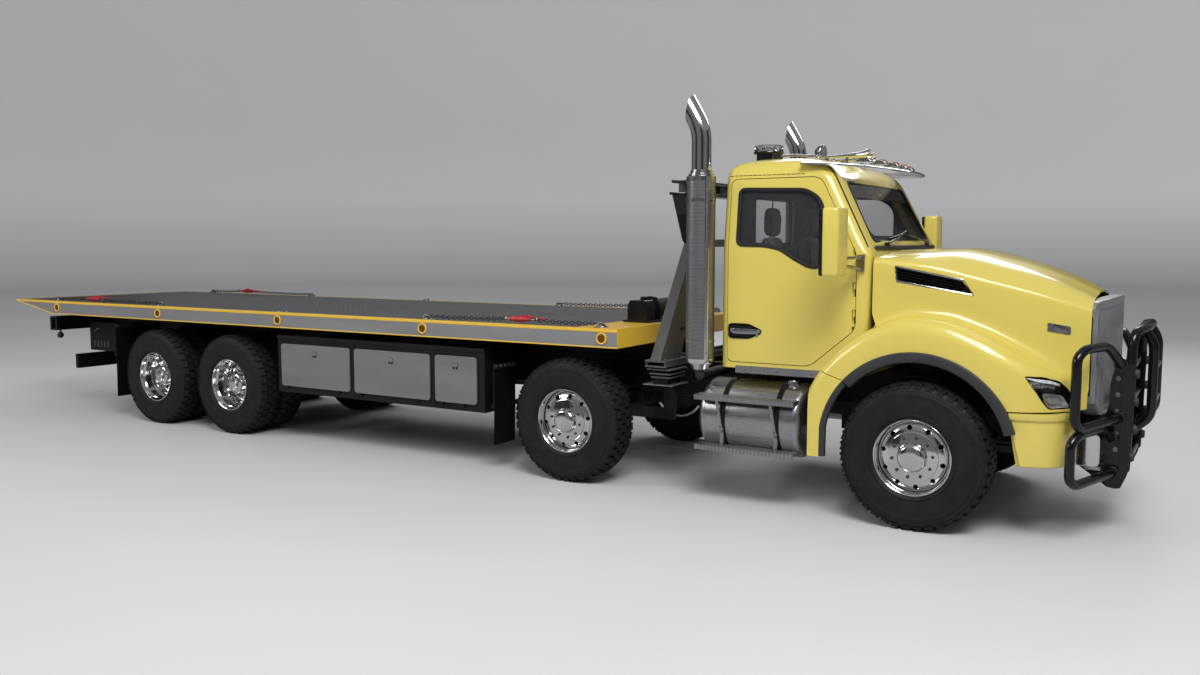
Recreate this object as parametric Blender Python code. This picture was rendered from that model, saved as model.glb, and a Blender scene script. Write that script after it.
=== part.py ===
import bpy
import bmesh
import math
from mathutils import Vector

for old in list(bpy.data.objects):
    bpy.data.objects.remove(old, do_unlink=True)

# Overall sizes in metres, X measured forward from the front axle, Y to the left, Z up from the ground

tyre_radius = 0.55
tyre_outer_y = 1.265
single_inner_y = 0.95
seat_gap = 0.0003
pusher_x = -3.03
drive_x = (-7.475, -8.77)
tail_x = -11.54
front_tip_x = 1.509
mid_x = 0.5 * (tail_x + front_tip_x)

rail_y = (0.39, 0.47)
rail_z = (0.80, 1.06)
rail_x = (-11.0, 1.0)

deck_x = (tail_x, -2.48)
deck_half = 1.275
deck_z = (1.22, 1.38)
subframe_z = (1.067, 1.213)
deck_taper_x = -10.75
front_plate_x, front_plate_rise = -2.90, 0.004

tilt_x, tilt_z = -11.05, 1.10
barrel_x, barrel_z = -7.0, 0.83
eye_x, eye_z = -8.35, 1.10
cylinder_y = 0.22

hood_pivot = (1.14, 0.80)
guard_pivot = (1.27, 0.36)
kingpin_y = 0.84
eye_z_low, eye_z_high = tyre_radius - 0.08, tyre_radius + 0.08
tilt_pin_r, trunnion_r, hood_pin_r, guard_pin_r, kingpin_r = 0.0355, 0.03, 0.012, 0.0255, 0.025
door_hinge_x = -0.515
box_x = (-6.72, -3.95)
box_z = (0.53, 1.12)
box_face_y = 1.20

# Materials

PAINTS = {
    "yellow_paint": ((0.80, 0.68, 0.22, 1), 0.0, 0.25),
    "chassis_black": ((0.02, 0.02, 0.022, 1), 0.1, 0.5),
    "tower_grey": ((0.13, 0.13, 0.14, 1), 0.1, 0.5),
    "deck_grey": ((0.22, 0.22, 0.23, 1), 0.6, 0.4),
    "door_grey": ((0.42, 0.43, 0.44, 1), 0.2, 0.45),
    "chrome": ((0.80, 0.80, 0.82, 1), 1.0, 0.12),
    "aluminium": ((0.62, 0.63, 0.65, 1), 1.0, 0.35),
    "rubber": ((0.02, 0.02, 0.02, 1), 0.0, 0.85),
    "cast_iron": ((0.09, 0.09, 0.095, 1), 0.4, 0.6),
    "grille_grey": ((0.20, 0.20, 0.21, 1), 0.7, 0.35),
    "fabric": ((0.09, 0.09, 0.10, 1), 0.0, 0.9),
    "plastic": ((0.03, 0.03, 0.03, 1), 0.0, 0.6),
    "glass": ((0.70, 0.75, 0.78, 1), 0.0, 0.05),
}


def material(slot):
    found = bpy.data.materials.get(slot)
    if found:
        return found
    color, metallic, rough = PAINTS[slot]
    made = bpy.data.materials.new(slot)
    made.use_nodes = True
    shader = made.node_tree.nodes["Principled BSDF"]
    shader.inputs["Base Color"].default_value = color
    shader.inputs["Metallic"].default_value = metallic
    shader.inputs["Roughness"].default_value = rough
    made.diffuse_color = color
    return made


# Shape helpers


def solid(name, points, faces):
    mesh = bpy.data.meshes.new(name)
    mesh.from_pydata([tuple(p) for p in points], [], faces)
    bm = bmesh.new()
    bm.from_mesh(mesh)
    bmesh.ops.remove_doubles(bm, verts=bm.verts, dist=1e-6)
    bmesh.ops.dissolve_degenerate(bm, dist=1e-7, edges=bm.edges)
    bmesh.ops.recalc_face_normals(bm, faces=bm.faces)
    bm.to_mesh(mesh)
    bm.free()
    obj = bpy.data.objects.new(name, mesh)
    bpy.context.scene.collection.objects.link(obj)
    return obj


def loft(name, rings):
    n = len(rings[0])
    points = [p for ring in rings for p in ring]
    faces = []
    for i in range(len(rings) - 1):
        for j in range(n):
            k = (j + 1) % n
            faces.append((i * n + j, i * n + k, (i + 1) * n + k, (i + 1) * n + j))
    faces.append(tuple(range(n - 1, -1, -1)))
    last = (len(rings) - 1) * n
    faces.append(tuple(last + j for j in range(n)))
    return solid(name, points, faces)


def prism(name, outline, across, a, b):
    def at(p, t):
        if across == "x":
            return (t, p[0], p[1])
        if across == "y":
            return (p[0], t, p[1])
        return (p[0], p[1], t)

    return loft(name, [[at(p, a) for p in outline], [at(p, b) for p in outline]])


def box(name, x, y, z):
    return prism(name, [(x[0], z[0]), (x[1], z[0]), (x[1], z[1]), (x[0], z[1])], "y", y[0], y[1])


def boxes(name, items):
    points, faces = [], []
    for x, y, z in items:
        k = len(points)
        for t in y:
            points += [(x[0], t, z[0]), (x[1], t, z[0]), (x[1], t, z[1]), (x[0], t, z[1])]
        faces += [(k, k + 1, k + 2, k + 3), (k + 7, k + 6, k + 5, k + 4), (k, k + 4, k + 5, k + 1)]
        faces += [(k + 1, k + 5, k + 6, k + 2), (k + 2, k + 6, k + 7, k + 3), (k + 3, k + 7, k + 4, k)]
    return solid(name, points, faces)


def tube(name, path, radius, n=10):
    path = [Vector(p) for p in path]
    rings = []
    first = (path[1] - path[0]).normalized()
    guide = Vector((0, 0, 1)) if abs(first.z) < 0.9 else Vector((1, 0, 0))
    side = first.cross(guide).normalized()
    for i, point in enumerate(path):
        before = (path[i] - path[i - 1]).normalized() if i else first
        after = (path[i + 1] - path[i]).normalized() if i + 1 < len(path) else before
        normal = (before + after).normalized()
        if i:
            side = (side - before * side.dot(before)).normalized()
        up = before.cross(side)
        ring = []
        for j in range(n):
            a = 2 * math.pi * (j + 0.5) / n
            away = side * (radius * math.cos(a)) + up * (radius * math.sin(a))
            away -= before * (away.dot(normal) / before.dot(normal))
            ring.append(point + away)
        rings.append(ring)
        side = (side - after * side.dot(after)).normalized()
    return loft(name, rings)


def rod(name, a, b, radius, n=16):
    return tube(name, [a, b], radius, n)


def lathe(name, profile, center, n, turn=0.0):
    rings = []
    for j in range(n):
        a = 2 * math.pi * j / n + turn
        c, s = math.cos(a), math.sin(a)
        rings.append([(center[0] + r * s, y, center[1] - r * c) for r, y in profile])
    m = len(profile)
    points = [p for ring in rings for p in ring]
    faces = []
    for j in range(n):
        k = (j + 1) % n
        for i in range(m):
            h = (i + 1) % m
            corners = (j * m + i, j * m + h, k * m + h, k * m + i)
            if profile[i][0] < 1e-9 and profile[h][0] < 1e-9:
                continue
            faces.append(corners)
    return solid(name, points, faces)


def closed(bm):
    return all(len(edge.link_faces) == 2 for edge in bm.edges)


def combine(base, tools, operation="UNION"):
    for tool in tools:
        modifier = base.modifiers.new("cut", "BOOLEAN")
        modifier.operation = operation
        modifier.solver = "EXACT"
        modifier.object = tool
    bpy.context.view_layer.update()
    graph = bpy.context.evaluated_depsgraph_get()
    mesh = bpy.data.meshes.new_from_object(base.evaluated_get(graph))
    base.modifiers.clear()
    base.data = mesh
    for tool in tools:
        bpy.data.objects.remove(tool, do_unlink=True)
    for merge in (True, False):
        bm = bmesh.new()
        bm.from_mesh(mesh)
        bmesh.ops.remove_doubles(bm, verts=bm.verts, dist=2e-6)
        if merge:
            bmesh.ops.dissolve_limit(bm, angle_limit=0.001, verts=bm.verts, edges=bm.edges)
        bmesh.ops.triangulate(bm, faces=bm.faces)
        if not closed(bm):
            bmesh.ops.holes_fill(bm, edges=[edge for edge in bm.edges if len(edge.link_faces) == 1], sides=8)
            bmesh.ops.triangulate(bm, faces=bm.faces)
            bmesh.ops.recalc_face_normals(bm, faces=bm.faces)
        good = closed(bm)
        if good or not merge:
            bm.to_mesh(mesh)
        bm.free()
        if good:
            break
    return base


def bore_for(radius, n):
    return (radius + seat_gap) / math.cos(math.pi / n)


def weld(base, *tools):
    return combine(base, tools, "UNION")


def cut(base, *tools):
    return combine(base, tools, "DIFFERENCE")


def common(base, *tools):
    return combine(base, tools, "INTERSECT")


def copy_of(obj, name):
    made = bpy.data.objects.new(name, obj.data.copy())
    bpy.context.scene.collection.objects.link(made)
    return made


def offset(line, distance):
    out = []
    for i, p in enumerate(line):
        here = Vector(p)
        a = (here - Vector(line[i - 1])).normalized() if i else None
        b = (Vector(line[i + 1]) - here).normalized() if i + 1 < len(line) else None
        a = a or b
        b = b or a
        normal = Vector((a.y + b.y, -(a.x + b.x)))
        normal.normalize()
        k = distance / max(0.3, normal.dot(Vector((a.y, -a.x))))
        out.append((here.x + normal.x * k, here.y + normal.y * k))
    return out


def table(rows, x):
    if x <= rows[0][0]:
        return rows[0][1]
    for (x0, v0), (x1, v1) in zip(rows, rows[1:]):
        if x <= x1:
            return v0 + (v1 - v0) * (x - x0) / (x1 - x0)
    return rows[-1][1]


ROOT = bpy.data.objects.new("truck", None)
bpy.context.scene.collection.objects.link(ROOT)
ROOT.location = (-mid_x, 0, 0)
HOME = {"truck": Vector((0, 0, 0))}


def body(name, origin, parent="truck"):
    obj = bpy.data.objects.new(name, None)
    bpy.context.scene.collection.objects.link(obj)
    obj.parent = bpy.data.objects[parent]
    HOME[name] = Vector(origin)
    obj.location = HOME[name] - HOME[parent]
    return name


def put(obj, slot, parent="truck"):
    mesh = obj.data
    for vertex in mesh.vertices:
        vertex.co -= HOME[parent]
    mesh.materials.clear()
    mesh.materials.append(material(slot))
    obj.parent = bpy.data.objects[parent]
    return obj


# Chassis frame: two rails, crossmembers, rear lugs, lamp outriggers and the underrun bar

parts = []
for s in (1, -1):
    parts.append(box("rail", rail_x, (s * rail_y[0], s * rail_y[1]), rail_z))
    bracket = [(0.80, 0.82), (0.98, 0.82), (0.98, 0.505), (1.31, 0.405), (1.31, 0.32), (1.22, 0.32),
        (0.80, 0.62)]
    parts.append(prism("bracket", bracket, "y", s * 0.397, s * 0.433))
    parts.append(box("horn", (0.95, hood_pivot[0] + 0.022), (s * 0.393, s * 0.437),
        (hood_pivot[1] - 0.023, hood_pivot[1] + 0.03)))
    parts.append(box("pad", (-2.86, -2.76), (s * 0.40, s * 0.46), (1.05, subframe_z[0] - seat_gap)))
    parts.append(box("lug", (-11.12, -10.90), (s * 0.49, s * 0.53), (0.85, 1.16)))
    parts.append(box("outrigger", (-10.95, -10.83), (s * 0.46, s * 1.19), (1.0, 1.055)))
    parts.append(box("lamp_beam", (-10.95, -10.83), (s * 0.545, s * 1.19), (1.02, 1.175)))
    parts.append(box("hanger", (-10.93, -10.87), (s * 0.40, s * 0.46), (0.60, 0.81)))
for x, z in ((0.95, (0.55, 0.85)), (-1.95, (0.82, 1.04)), (-2.25, (0.82, 1.04)), (-5.2, (0.82, 1.04)),
    (-9.8, (0.82, 1.04))):
    parts.append(box("cross", (x - 0.05, x + 0.05), (-0.43, 0.43), z))
parts.append(box("rear_cross", (-11.0, -10.94), (-0.51, 0.51), (0.82, 1.055)))
parts.append(box("underrun", (-10.93, -10.87), (-0.883, 0.883), (0.48, 0.664)))
frame = weld(parts[0], *parts[1:])
holes = [rod("hole", (tilt_x, -0.6, tilt_z), (tilt_x, 0.6, tilt_z), bore_for(tilt_pin_r, 16), 16)]
holes.append(rod("hole", (barrel_x, -0.415, barrel_z), (barrel_x, 0.415, barrel_z), bore_for(trunnion_r,
    16), 16))
holes.append(rod("hole", (hood_pivot[0], -0.5, hood_pivot[1]), (hood_pivot[0], 0.5, hood_pivot[1]),
    bore_for(hood_pin_r, 12), 12))
holes.append(rod("hole", (guard_pivot[0], -0.5, guard_pivot[1]), (guard_pivot[0], 0.5, guard_pivot[1]),
    bore_for(guard_pin_r, 16), 16))
frame = cut(frame, *holes)
frame.name = "chassis_frame"
put(frame, "chassis_black")

# Front axle with leaf springs and hangers

beam_low, beam_top = tyre_radius - 0.13, tyre_radius - 0.03
eye_y = kingpin_y + 0.035
beam = [(-eye_y, eye_z_low), (-0.75, eye_z_low), (-0.62, beam_low), (0.62, beam_low), (0.75, eye_z_low),
    (eye_y, eye_z_low)]
beam += [(eye_y, eye_z_high), (0.75, eye_z_high), (0.60, beam_top), (-0.60, beam_top),
    (-0.75, eye_z_high), (-eye_y, eye_z_high)]
axle = prism("front_axle", beam, "x", -0.04, 0.04)
parts = []
for s in (1, -1):
    parts.append(box("leaf", (-0.72, 0.72), (s * 0.395, s * 0.465), (beam_top - 0.01, beam_top + 0.04)))
    for x in (-0.70, 0.66):
        parts.append(box("shackle", (x, x + 0.05), (s * 0.40, s * 0.46), (beam_top + 0.01,
            rail_z[0] - seat_gap)))
axle = weld(axle, *parts)
cuts = [rod("bore", (0, s * kingpin_y, eye_z_low - 0.07), (0, s * kingpin_y, eye_z_high + 0.07),
    bore_for(kingpin_r, 12), 12) for s in (1, -1)]
axle = cut(axle, *cuts)
put(axle, "cast_iron")

# Steering knuckles, each with its kingpin and spindle

for side, s in (("L", 1), ("R", -1)):
    name = body("steer_" + side, (0, s * kingpin_y, tyre_radius))
    pin = rod("knuckle_" + side, (0, s * kingpin_y, eye_z_low - 0.03), (0, s * kingpin_y,
        eye_z_high + 0.03), kingpin_r, 12)
    ear_z = ((eye_z_low - 0.035, eye_z_low - seat_gap), (eye_z_high + seat_gap, eye_z_high + 0.035))
    ears = [box("ear", (-0.055, 0.055), (s * 0.80, s * 0.94), z) for z in ear_z]
    back = box("back", (-0.055, 0.055), (s * 0.90, s * 0.94), (eye_z_low - 0.03, eye_z_high + 0.03))
    spindle = rod("spindle", (0, s * 0.93, tyre_radius), (0, s * 1.155, tyre_radius), 0.045, 16)
    arm = box("arm", (-0.24, -0.04), (s * 0.80, s * 0.84), (eye_z_low - 0.033, eye_z_low - 0.008))
    put(weld(pin, *ears, back, spindle, arm), "cast_iron", name)

# Tyres and rims


rim_radius = 0.2865
bead_radius = (rim_radius + seat_gap) / math.cos(math.pi / 24)


def tyre_profile(outer, inner, radius):
    return [
        (bead_radius, outer - 0.02),
        (0.40, outer),
        (0.50, outer - 0.004),
        (radius, outer - 0.042),
        (radius, inner + 0.042),
        (0.50, inner + 0.004),
        (0.40, inner),
        (bead_radius, inner + 0.02),
    ]


def sided(profile, s):
    return [(r, s * y) for r, y in profile]


single_rim = [(0.2865, 0.97), (0.2865, 1.252), (0.262, 1.252), (0.256, 1.222), (0.17, 1.228), (0.11, 1.25)]
single_rim += [(0.085, 1.252), (0.075, 1.283), (0.0, 1.288), (0.0, 1.165), (0.0459, 1.165), (0.0459, 1.02)]
single_rim += [(0.13, 1.02), (0.13, 1.195), (0.262, 1.185), (0.262, 0.97)]


def single_wheel(tag, x, s, parent):
    name = body("spin_" + tag, (x, s * 1.1075, tyre_radius), parent)
    center = (x, tyre_radius)
    tyre = lathe("tyre_" + tag, sided(tyre_profile(tyre_outer_y, single_inner_y, tyre_radius), s), center, 24)
    put(tyre, "rubber", name)
    put(lathe("rim_" + tag, sided(single_rim, s), center, 20), "chrome", name)


single_wheel("front_L", 0.0, 1, "steer_L")
single_wheel("front_R", 0.0, -1, "steer_R")
single_wheel("pusher_L", pusher_x, 1, "truck")
single_wheel("pusher_R", pusher_x, -1, "truck")

dual = [(0.0, 1.215), (0.065, 1.21), (0.07, 1.175), (0.105, 1.17), (0.115, 0.975), (0.25, 0.975),
    (0.262, 1.252)]
dual += [(0.2865, 1.252)] + tyre_profile(1.265, 0.966, tyre_radius) + tyre_profile(0.931, 0.632, tyre_radius)
dual += [(0.262, 0.648), (0.262, 0.93), (0.13, 0.93), (0.12, 0.70), (0.051, 0.70), (0.051, 1.11), (0.0, 1.11)]
for row, x in (("drive1", drive_x[0]), ("drive2", drive_x[1])):
    for side, s in (("L", 1), ("R", -1)):
        name = body("spin_" + row + "_" + side, (x, s * 0.95, tyre_radius))
        put(lathe("dual_" + row + "_" + side, sided(dual, s), (x, tyre_radius), 22), "rubber", name)

# Pusher axle with trailing arms and hangers

parts = [rod("pusher_axle", (pusher_x, -0.97, tyre_radius), (pusher_x, 0.97, tyre_radius), 0.055, 12)]
for s in (1, -1):
    parts.append(rod("spindle", (pusher_x, s * 0.93, tyre_radius), (pusher_x, s * 1.155, tyre_radius),
        0.045, 16))
    parts.append(box("arm", (pusher_x - 0.08, -2.36), (s * 0.40, s * 0.46), (tyre_radius - 0.05,
        tyre_radius + 0.05)))
    parts.append(box("hanger", (-2.46, -2.36), (s * 0.40, s * 0.46), (tyre_radius - 0.05,
        rail_z[0] - seat_gap)))
put(weld(parts[0], *parts[1:]), "cast_iron")

# Tandem bogie: both drive axles, walking beams and the drive shaft

parts = []
for x in drive_x:
    parts.append(rod("tandem_bogie", (x, -0.69, tyre_radius), (x, 0.69, tyre_radius), 0.075, 12))
    parts.append(rod("spindle", (x, -1.10, tyre_radius), (x, 1.10, tyre_radius), 0.05, 16))
    parts.append(rod("diff", (x, -0.15, tyre_radius), (x, 0.15, tyre_radius), 0.17, 16))
for s in (1, -1):
    parts.append(box("walking_beam", (drive_x[1] - 0.06, drive_x[0] + 0.06), (s * 0.50, s * 0.58),
        (tyre_radius - 0.11, tyre_radius + 0.01)))
    parts.append(box("trunnion", (-8.20, -8.05), (s * 0.40, s * 0.57), (tyre_radius - 0.09,
        rail_z[0] - seat_gap)))
shaft_z = tyre_radius + 0.01
parts.append(rod("shaft", (drive_x[1] + 0.05, 0, shaft_z), (drive_x[0] - 0.05, 0, shaft_z), 0.045, 12))
parts.append(rod("shaft", (-1.45, 0, 0.76), (drive_x[0] + 0.05, 0, shaft_z + 0.02), 0.045, 12))
put(weld(parts[0], *parts[1:]), "cast_iron")

# Engine block with gearbox and radiator pack

engine = box("engine_block", (-0.28, 0.62), (-0.33, 0.33), (0.62, 1.62))
gearbox = prism("gearbox", [(-0.20, 0.64), (-0.20, 1.06), (-0.70, 0.98), (-1.40, 0.92), (-1.40, 0.66)],
    "y", -0.22, 0.22)
shroud = box("shroud", (0.55, 0.84), (-0.30, 0.30), (0.90, 1.45))
radiator = box("radiator", (0.82, 0.93), (-0.37, 0.37), (0.87, 1.60))
mounts = [box("mount", (0.10, 0.24), (s * 0.32, s * (rail_y[0] - seat_gap)), (0.84, 0.96)) for s in (1, -1)]
put(weld(engine, gearbox, shroud, radiator, *mounts), "cast_iron")

# Cab shell: rounded rings in plan, lofted upward

cab_rows = [
    (1.10, 1.05, -1.63, -0.42),
    (2.03, 1.05, -1.63, -0.40),
    (2.10, 1.045, -1.63, -0.43),
    (2.62, 0.985, -1.63, -0.70),
    (2.70, 0.955, -1.62, -0.77),
    (2.755, 0.90, -1.58, -0.86),
    (2.79, 0.78, -1.48, -0.98),
]


def cab_ring(z, half, back, front, inset):
    half -= inset
    back += inset
    front -= inset
    r_back, r_front, bow = max(0.01, 0.07 - inset), max(0.01, 0.10 - inset), 0.03
    right = [(back, 0.0)]
    for k in range(4):
        a = math.radians(30 * k)
        right.append((back + r_back - r_back * math.cos(a), half - r_back + r_back * math.sin(a)))
    for k in range(5):
        a = math.radians(22.5 * k)
        right.append((front - r_front + r_front * math.sin(a), half - r_front + r_front * math.cos(a)))
    right.append((front + bow * 0.75, half * 0.5))
    right.append((front + bow, 0.0))
    left = [(x, -y) for x, y in reversed(right[1:-1])]
    return [(x, y, z) for x, y in right + left]


def cab_solid(name, inset, low=None, high=None):
    rows = [list(row) for row in cab_rows]
    if low is not None:
        rows[0][0] = low
    if high is not None:
        rows = [row for row in rows if row[0] < high] + [[high] + rows[-2][1:]]
    return loft(name, [cab_ring(*row, inset) for row in rows])


wall = 0.05
shell = cut(cab_solid("cab_shell", 0.0), cab_solid("room", wall, 1.16, 2.735))
hinge_y = 1.041
hinge_x = door_hinge_x - 0.003
hinge_levels = (1.55, 1.76)
corner_levels = (1.447, 2.05)
knuckle_r, relief_r = 0.008, 0.0165
cab_half = [(row[0], row[1]) for row in cab_rows]

door_outline = [(-1.57, 1.145), (-0.86, 1.145), (-0.50, 1.45), (-0.50, 2.03), (-0.80, 2.60),
    (-0.86, 2.63), (-1.57, 2.63)]
window_outline = [(-1.49, 2.096), (-1.49, 2.547), (-0.935, 2.532), (-0.83, 2.47), (-0.786, 2.396),
    (-0.80, 1.919)]
window_outline += [(-0.884, 1.926), (-1.00, 1.985), (-1.124, 2.065), (-1.25, 2.09)]


def grown(outline, by):
    closed = outline + [outline[0], outline[1]]
    moved = offset([outline[-1]] + closed, by)[1:-2]
    area = sum(a[0] * b[1] - b[0] * a[1] for a, b in zip(outline, outline[1:] + outline[:1]))
    if area < 0:
        moved = offset([outline[-1]] + closed, -by)[1:-2]
    return moved


door_gap = 0.006


def door_area(s):
    rings = []
    for depth, pull in ((0.12, 0.0), (-0.018, 0.0), (-0.15, 0.243)):
        ring = []
        for x, z in grown(door_outline, -door_gap):
            shift = pull if x > -0.9 else 0.0
            ring.append((x - shift, s * (table(cab_half, z) + depth), z))
        rings.append(ring)
    return loft("area", rings)


def reliefs(s, levels, half_height=0.056):
    at = [(hinge_x, s * hinge_y, z) for z in levels]
    return [rod("relief", (x, y, z - half_height), (x, y, z + half_height), relief_r, 16) for x, y, z in at]


for side, s in (("L", 1), ("R", -1)):
    body("hinge_" + side, (hinge_x, s * hinge_y, 1.8))
    door = copy_of(shell, "cab_door_" + side)
    door = common(door, door_area(s))
    door = cut(door, prism("window", window_outline, "y", s * 0.7, s * 1.3), cab_solid("hollow", wall,
        1.12, 2.735))
    door = cut(door, *reliefs(s, hinge_levels), *reliefs(s, corner_levels, 0.03))
    handle = box("handle", (-1.53, -1.29), (s * 1.04, s * 1.062), (1.35, 1.46))
    knuckles = []
    for z in hinge_levels:
        knuckles.append(rod("knuckle", (hinge_x, s * hinge_y, z), (hinge_x, s * hinge_y, z + 0.05),
            knuckle_r, 10))
        leaf_y = (s * (hinge_y - 0.006), s * (hinge_y + 0.0055))
        knuckles.append(box("leaf", (hinge_x - 0.040, hinge_x - 0.004), leaf_y, (z + 0.001, z + 0.049)))
    door = weld(door, handle, *knuckles)
    put(door, "yellow_paint", "hinge_" + side)
for s in (1, -1):
    shell = cut(shell, prism("doorway", door_outline, "y", s * 0.7, s * 1.3), *reliefs(s, hinge_levels))
screen_outline = [(-0.85, 2.13), (0.85, 2.13), (0.79, 2.59), (-0.79, 2.59)]
shell = cut(shell, prism("screen", screen_outline, "x", -1.1, -0.1))
shell = cut(shell, prism("rear", [(-0.45, 2.10), (0.45, 2.10), (0.45, 2.50), (-0.45, 2.50)], "x", -1.9,
    -1.45))
parts = []
for s in (1, -1):
    for z in hinge_levels:
        low = z - 0.05 - seat_gap
        parts.append(rod("knuckle", (hinge_x, s * hinge_y, low), (hinge_x, s * hinge_y, z - seat_gap),
            knuckle_r, 10))
        leaf_y = (s * (hinge_y - 0.006), s * (hinge_y + 0.0055))
        parts.append(box("leaf", (hinge_x + 0.004, hinge_x + 0.035), leaf_y, (low + 0.001,
            z - seat_gap - 0.001)))
    for x in (-1.58, -0.62):
        parts.append(box("mount", (x - 0.04, x + 0.04), (s * 0.40, s * 0.46), (rail_z[1] + seat_gap, 1.12)))
put(weld(shell, *parts), "yellow_paint")

pane = cut(cab_solid("windshield", 0.018), cab_solid("inside", 0.026, 1.05, 2.85))
pane = common(pane, prism("area", grown(screen_outline, -seat_gap), "x", -1.1, -0.1))
put(pane, "glass")

# Seats and dashboard

parts = []
parts.append(box("cab_seats", (-1.45, -0.95), (-0.74, 0.74), (1.1603, 1.26)))
for s in (1, -1):
    parts.append(box("cushion", (-1.48, -0.95), (s * 0.22, s * 0.72), (1.25, 1.66)))
    parts.append(box("backrest", (-1.50, -1.34), (s * 0.22, s * 0.72), (1.60, 2.18)))
    parts.append(box("headrest", (-1.48, -1.36), (s * 0.33, s * 0.61), (2.10, 2.42)))
put(weld(parts[0], *parts[1:]), "fabric")
dash = prism("dashboard", [(-0.4753, 1.1603), (-0.4753, 2.06), (-0.60, 2.06), (-0.80, 1.96),
    (-0.80, 1.68), (-0.55, 1.60), (-0.55, 1.1603)], "y", -0.97, 0.97)
column = rod("column", (-0.72, 0.46, 1.82), (-0.90, 0.46, 1.93), 0.03, 10)
hub = rod("hub", (-0.91, 0.25, 1.93), (-0.91, 0.67, 1.93), 0.018, 8)
dash = weld(dash, column, hub)
put(dash, "plastic")

# Visor over the windshield

edge = [(-0.98, 1.02), (-0.72, 0.98), (-0.52, 0.80), (-0.38, 0.45), (-0.335, 0.0)]
full = edge + [(x, -y) for x, y in reversed(edge[:-1])]
low = [(x, y, 2.715 - 0.06 * (x + 0.98)) for x, y in full]
visor = loft("visor", [[(x, y, z) for x, y, z in low], [(x, y, z + 0.018) for x, y, z in low]])
visor = cut(visor, cab_solid("roof", -0.0006))
put(visor, "chrome")

# Roof beacon and horn

base = box("roof_beacon", (-1.52, -1.38), (-0.62, -0.34), (2.7905, 2.86))
lens = box("lens", (-1.58, -1.36), (-0.66, -0.30), (2.855, 2.92))
bar = rod("bar", (-1.42, -0.35, 2.84), (-1.20, 0.10, 2.84), 0.012, 8)
horn = box("horn", (-1.24, -1.14), (0.05, 0.15), (2.7905, 2.90))
put(weld(base, lens, bar, horn), "plastic")

# Exhaust stacks

for side, s in (("L", 1), ("R", -1)):
    x, y = -1.79, s * 1.10
    pipe = tube("stack_" + side, [(x, y, 1.02), (x, y, 3.03), (x - 0.14, y, 3.27)], 0.08, 14)
    shield = rod("shield", (x, y, 1.14), (x, y, 2.65), 0.1175, 16)
    arm = box("arm", (-1.87, -1.80), (s * (rail_y[1] + seat_gap), s * 1.10), (0.97, 1.05))
    pipe = weld(pipe, shield, arm)
    bore = tube("bore", [(x, y, 2.9), (x, y, 3.03), (x - 0.20, y, 3.373)], 0.07, 12)
    pipe = cut(pipe, bore)
    put(pipe, "chrome")

# Fuel tanks with straps and steps

for side, s in (("L", 1), ("R", -1)):
    y, z, r = s * 0.94, 0.70, 0.30
    tank = rod("tank_" + side, (-1.775, y, z), (-0.845, y, z), r, 20)
    parts = [rod("strap", (x - 0.03, y, z), (x + 0.03, y, z), r + 0.006, 20) for x in (-1.52, -1.06)]
    parts.append(box("upper_step", (-1.75, -0.90), (s * 1.14, s * 1.285), (0.865, 0.89)))
    parts.append(box("lower_step", (-1.75, -0.90), (s * 1.06, s * 1.275), (0.455, 0.48)))
    parts.append(box("mount", (-1.55, -1.05), (s * (rail_y[1] + seat_gap), s * 0.70), (0.84, 0.92)))
    parts.append(rod("cap", (-1.0, s * 1.02, 0.93), (-1.0, s * 1.02, 1.03), 0.045, 12))
    put(weld(tank, *parts), "aluminium")

# Mirrors on arms from the cowl

for side, s in (("L", 1), ("R", -1)):
    head = box("mirror_" + side, (-0.62, -0.48), (s * 1.30, s * 1.58), (1.87, 2.37))
    arms = [box("arm", (-0.495, -0.45), (s * 1.06, s * 1.35), z) for z in ((1.905, 1.93), (1.99, 2.015))]
    foot = box("foot", (-0.495, -0.445), (s * 1.02, s * 1.075), (1.90, 2.02))
    put(cut(weld(head, *arms, foot), cab_solid("seat", -0.0005)), "yellow_paint")

# Hood with fenders: cross-sections along X, open below and behind

crown_z = [(-0.355, 2.06), (0.10, 2.07), (0.50, 1.99), (0.85, 1.87), (1.10, 1.75)]
shoulder_z = [(-0.355, 1.985), (0.0, 1.95), (0.40, 1.85), (0.80, 1.74), (1.10, 1.64)]
shoulder_y = [(-0.355, 0.985), (0.0, 0.95), (0.40, 0.89), (0.80, 0.81), (1.10, 0.71)]
fender_z = [(-0.81, 1.02), (-0.76, 1.11), (-0.68, 1.21), (-0.55, 1.34), (-0.36, 1.47), (-0.08, 1.565),
    (0.15, 1.545)]
fender_z += [(0.40, 1.46), (0.60, 1.36), (0.80, 1.25), (0.95, 1.17), (1.05, 1.10), (1.10, 1.05)]
fender_y = [(-0.81, 1.215), (0.50, 1.222), (0.70, 1.19), (0.85, 1.12), (0.95, 1.03), (1.05, 0.89),
    (1.10, 0.80)]
arch_center, arch_radius = 0.60, 0.72
arch_rear_x, arch_front_x = -0.98333 * arch_radius, 0.88194 * arch_radius
fender_foot_z, fender_nose_z = 0.475, 0.94
skin = 0.025


def lower_edge(x):
    if x < arch_rear_x:
        return fender_foot_z
    if x > arch_front_x:
        return fender_nose_z
    return arch_center + math.sqrt(arch_radius**2 - x**2)


def fender_line(x):
    top, out, low = table(fender_z, x), table(fender_y, x), lower_edge(x)
    inner = 1.058 if x < -0.37 else table(shoulder_y, x) + 0.01
    start = top - 0.03 if x < -0.37 else top + 0.03
    line = [(inner, start), (inner + 0.35 * (out - inner), top), (out - 0.25 * (out - inner), top - 0.02)]
    line += [(out - 0.015, top - 0.09), (out, top - 0.16 if top - 0.16 > low + 0.02 else low + 0.02),
        (out, low)]
    return line


def band(line, thick):
    return line + list(reversed(offset(line, thick)))


split_line = [(-0.40, 1.032), (-0.90, 1.196)]


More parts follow.
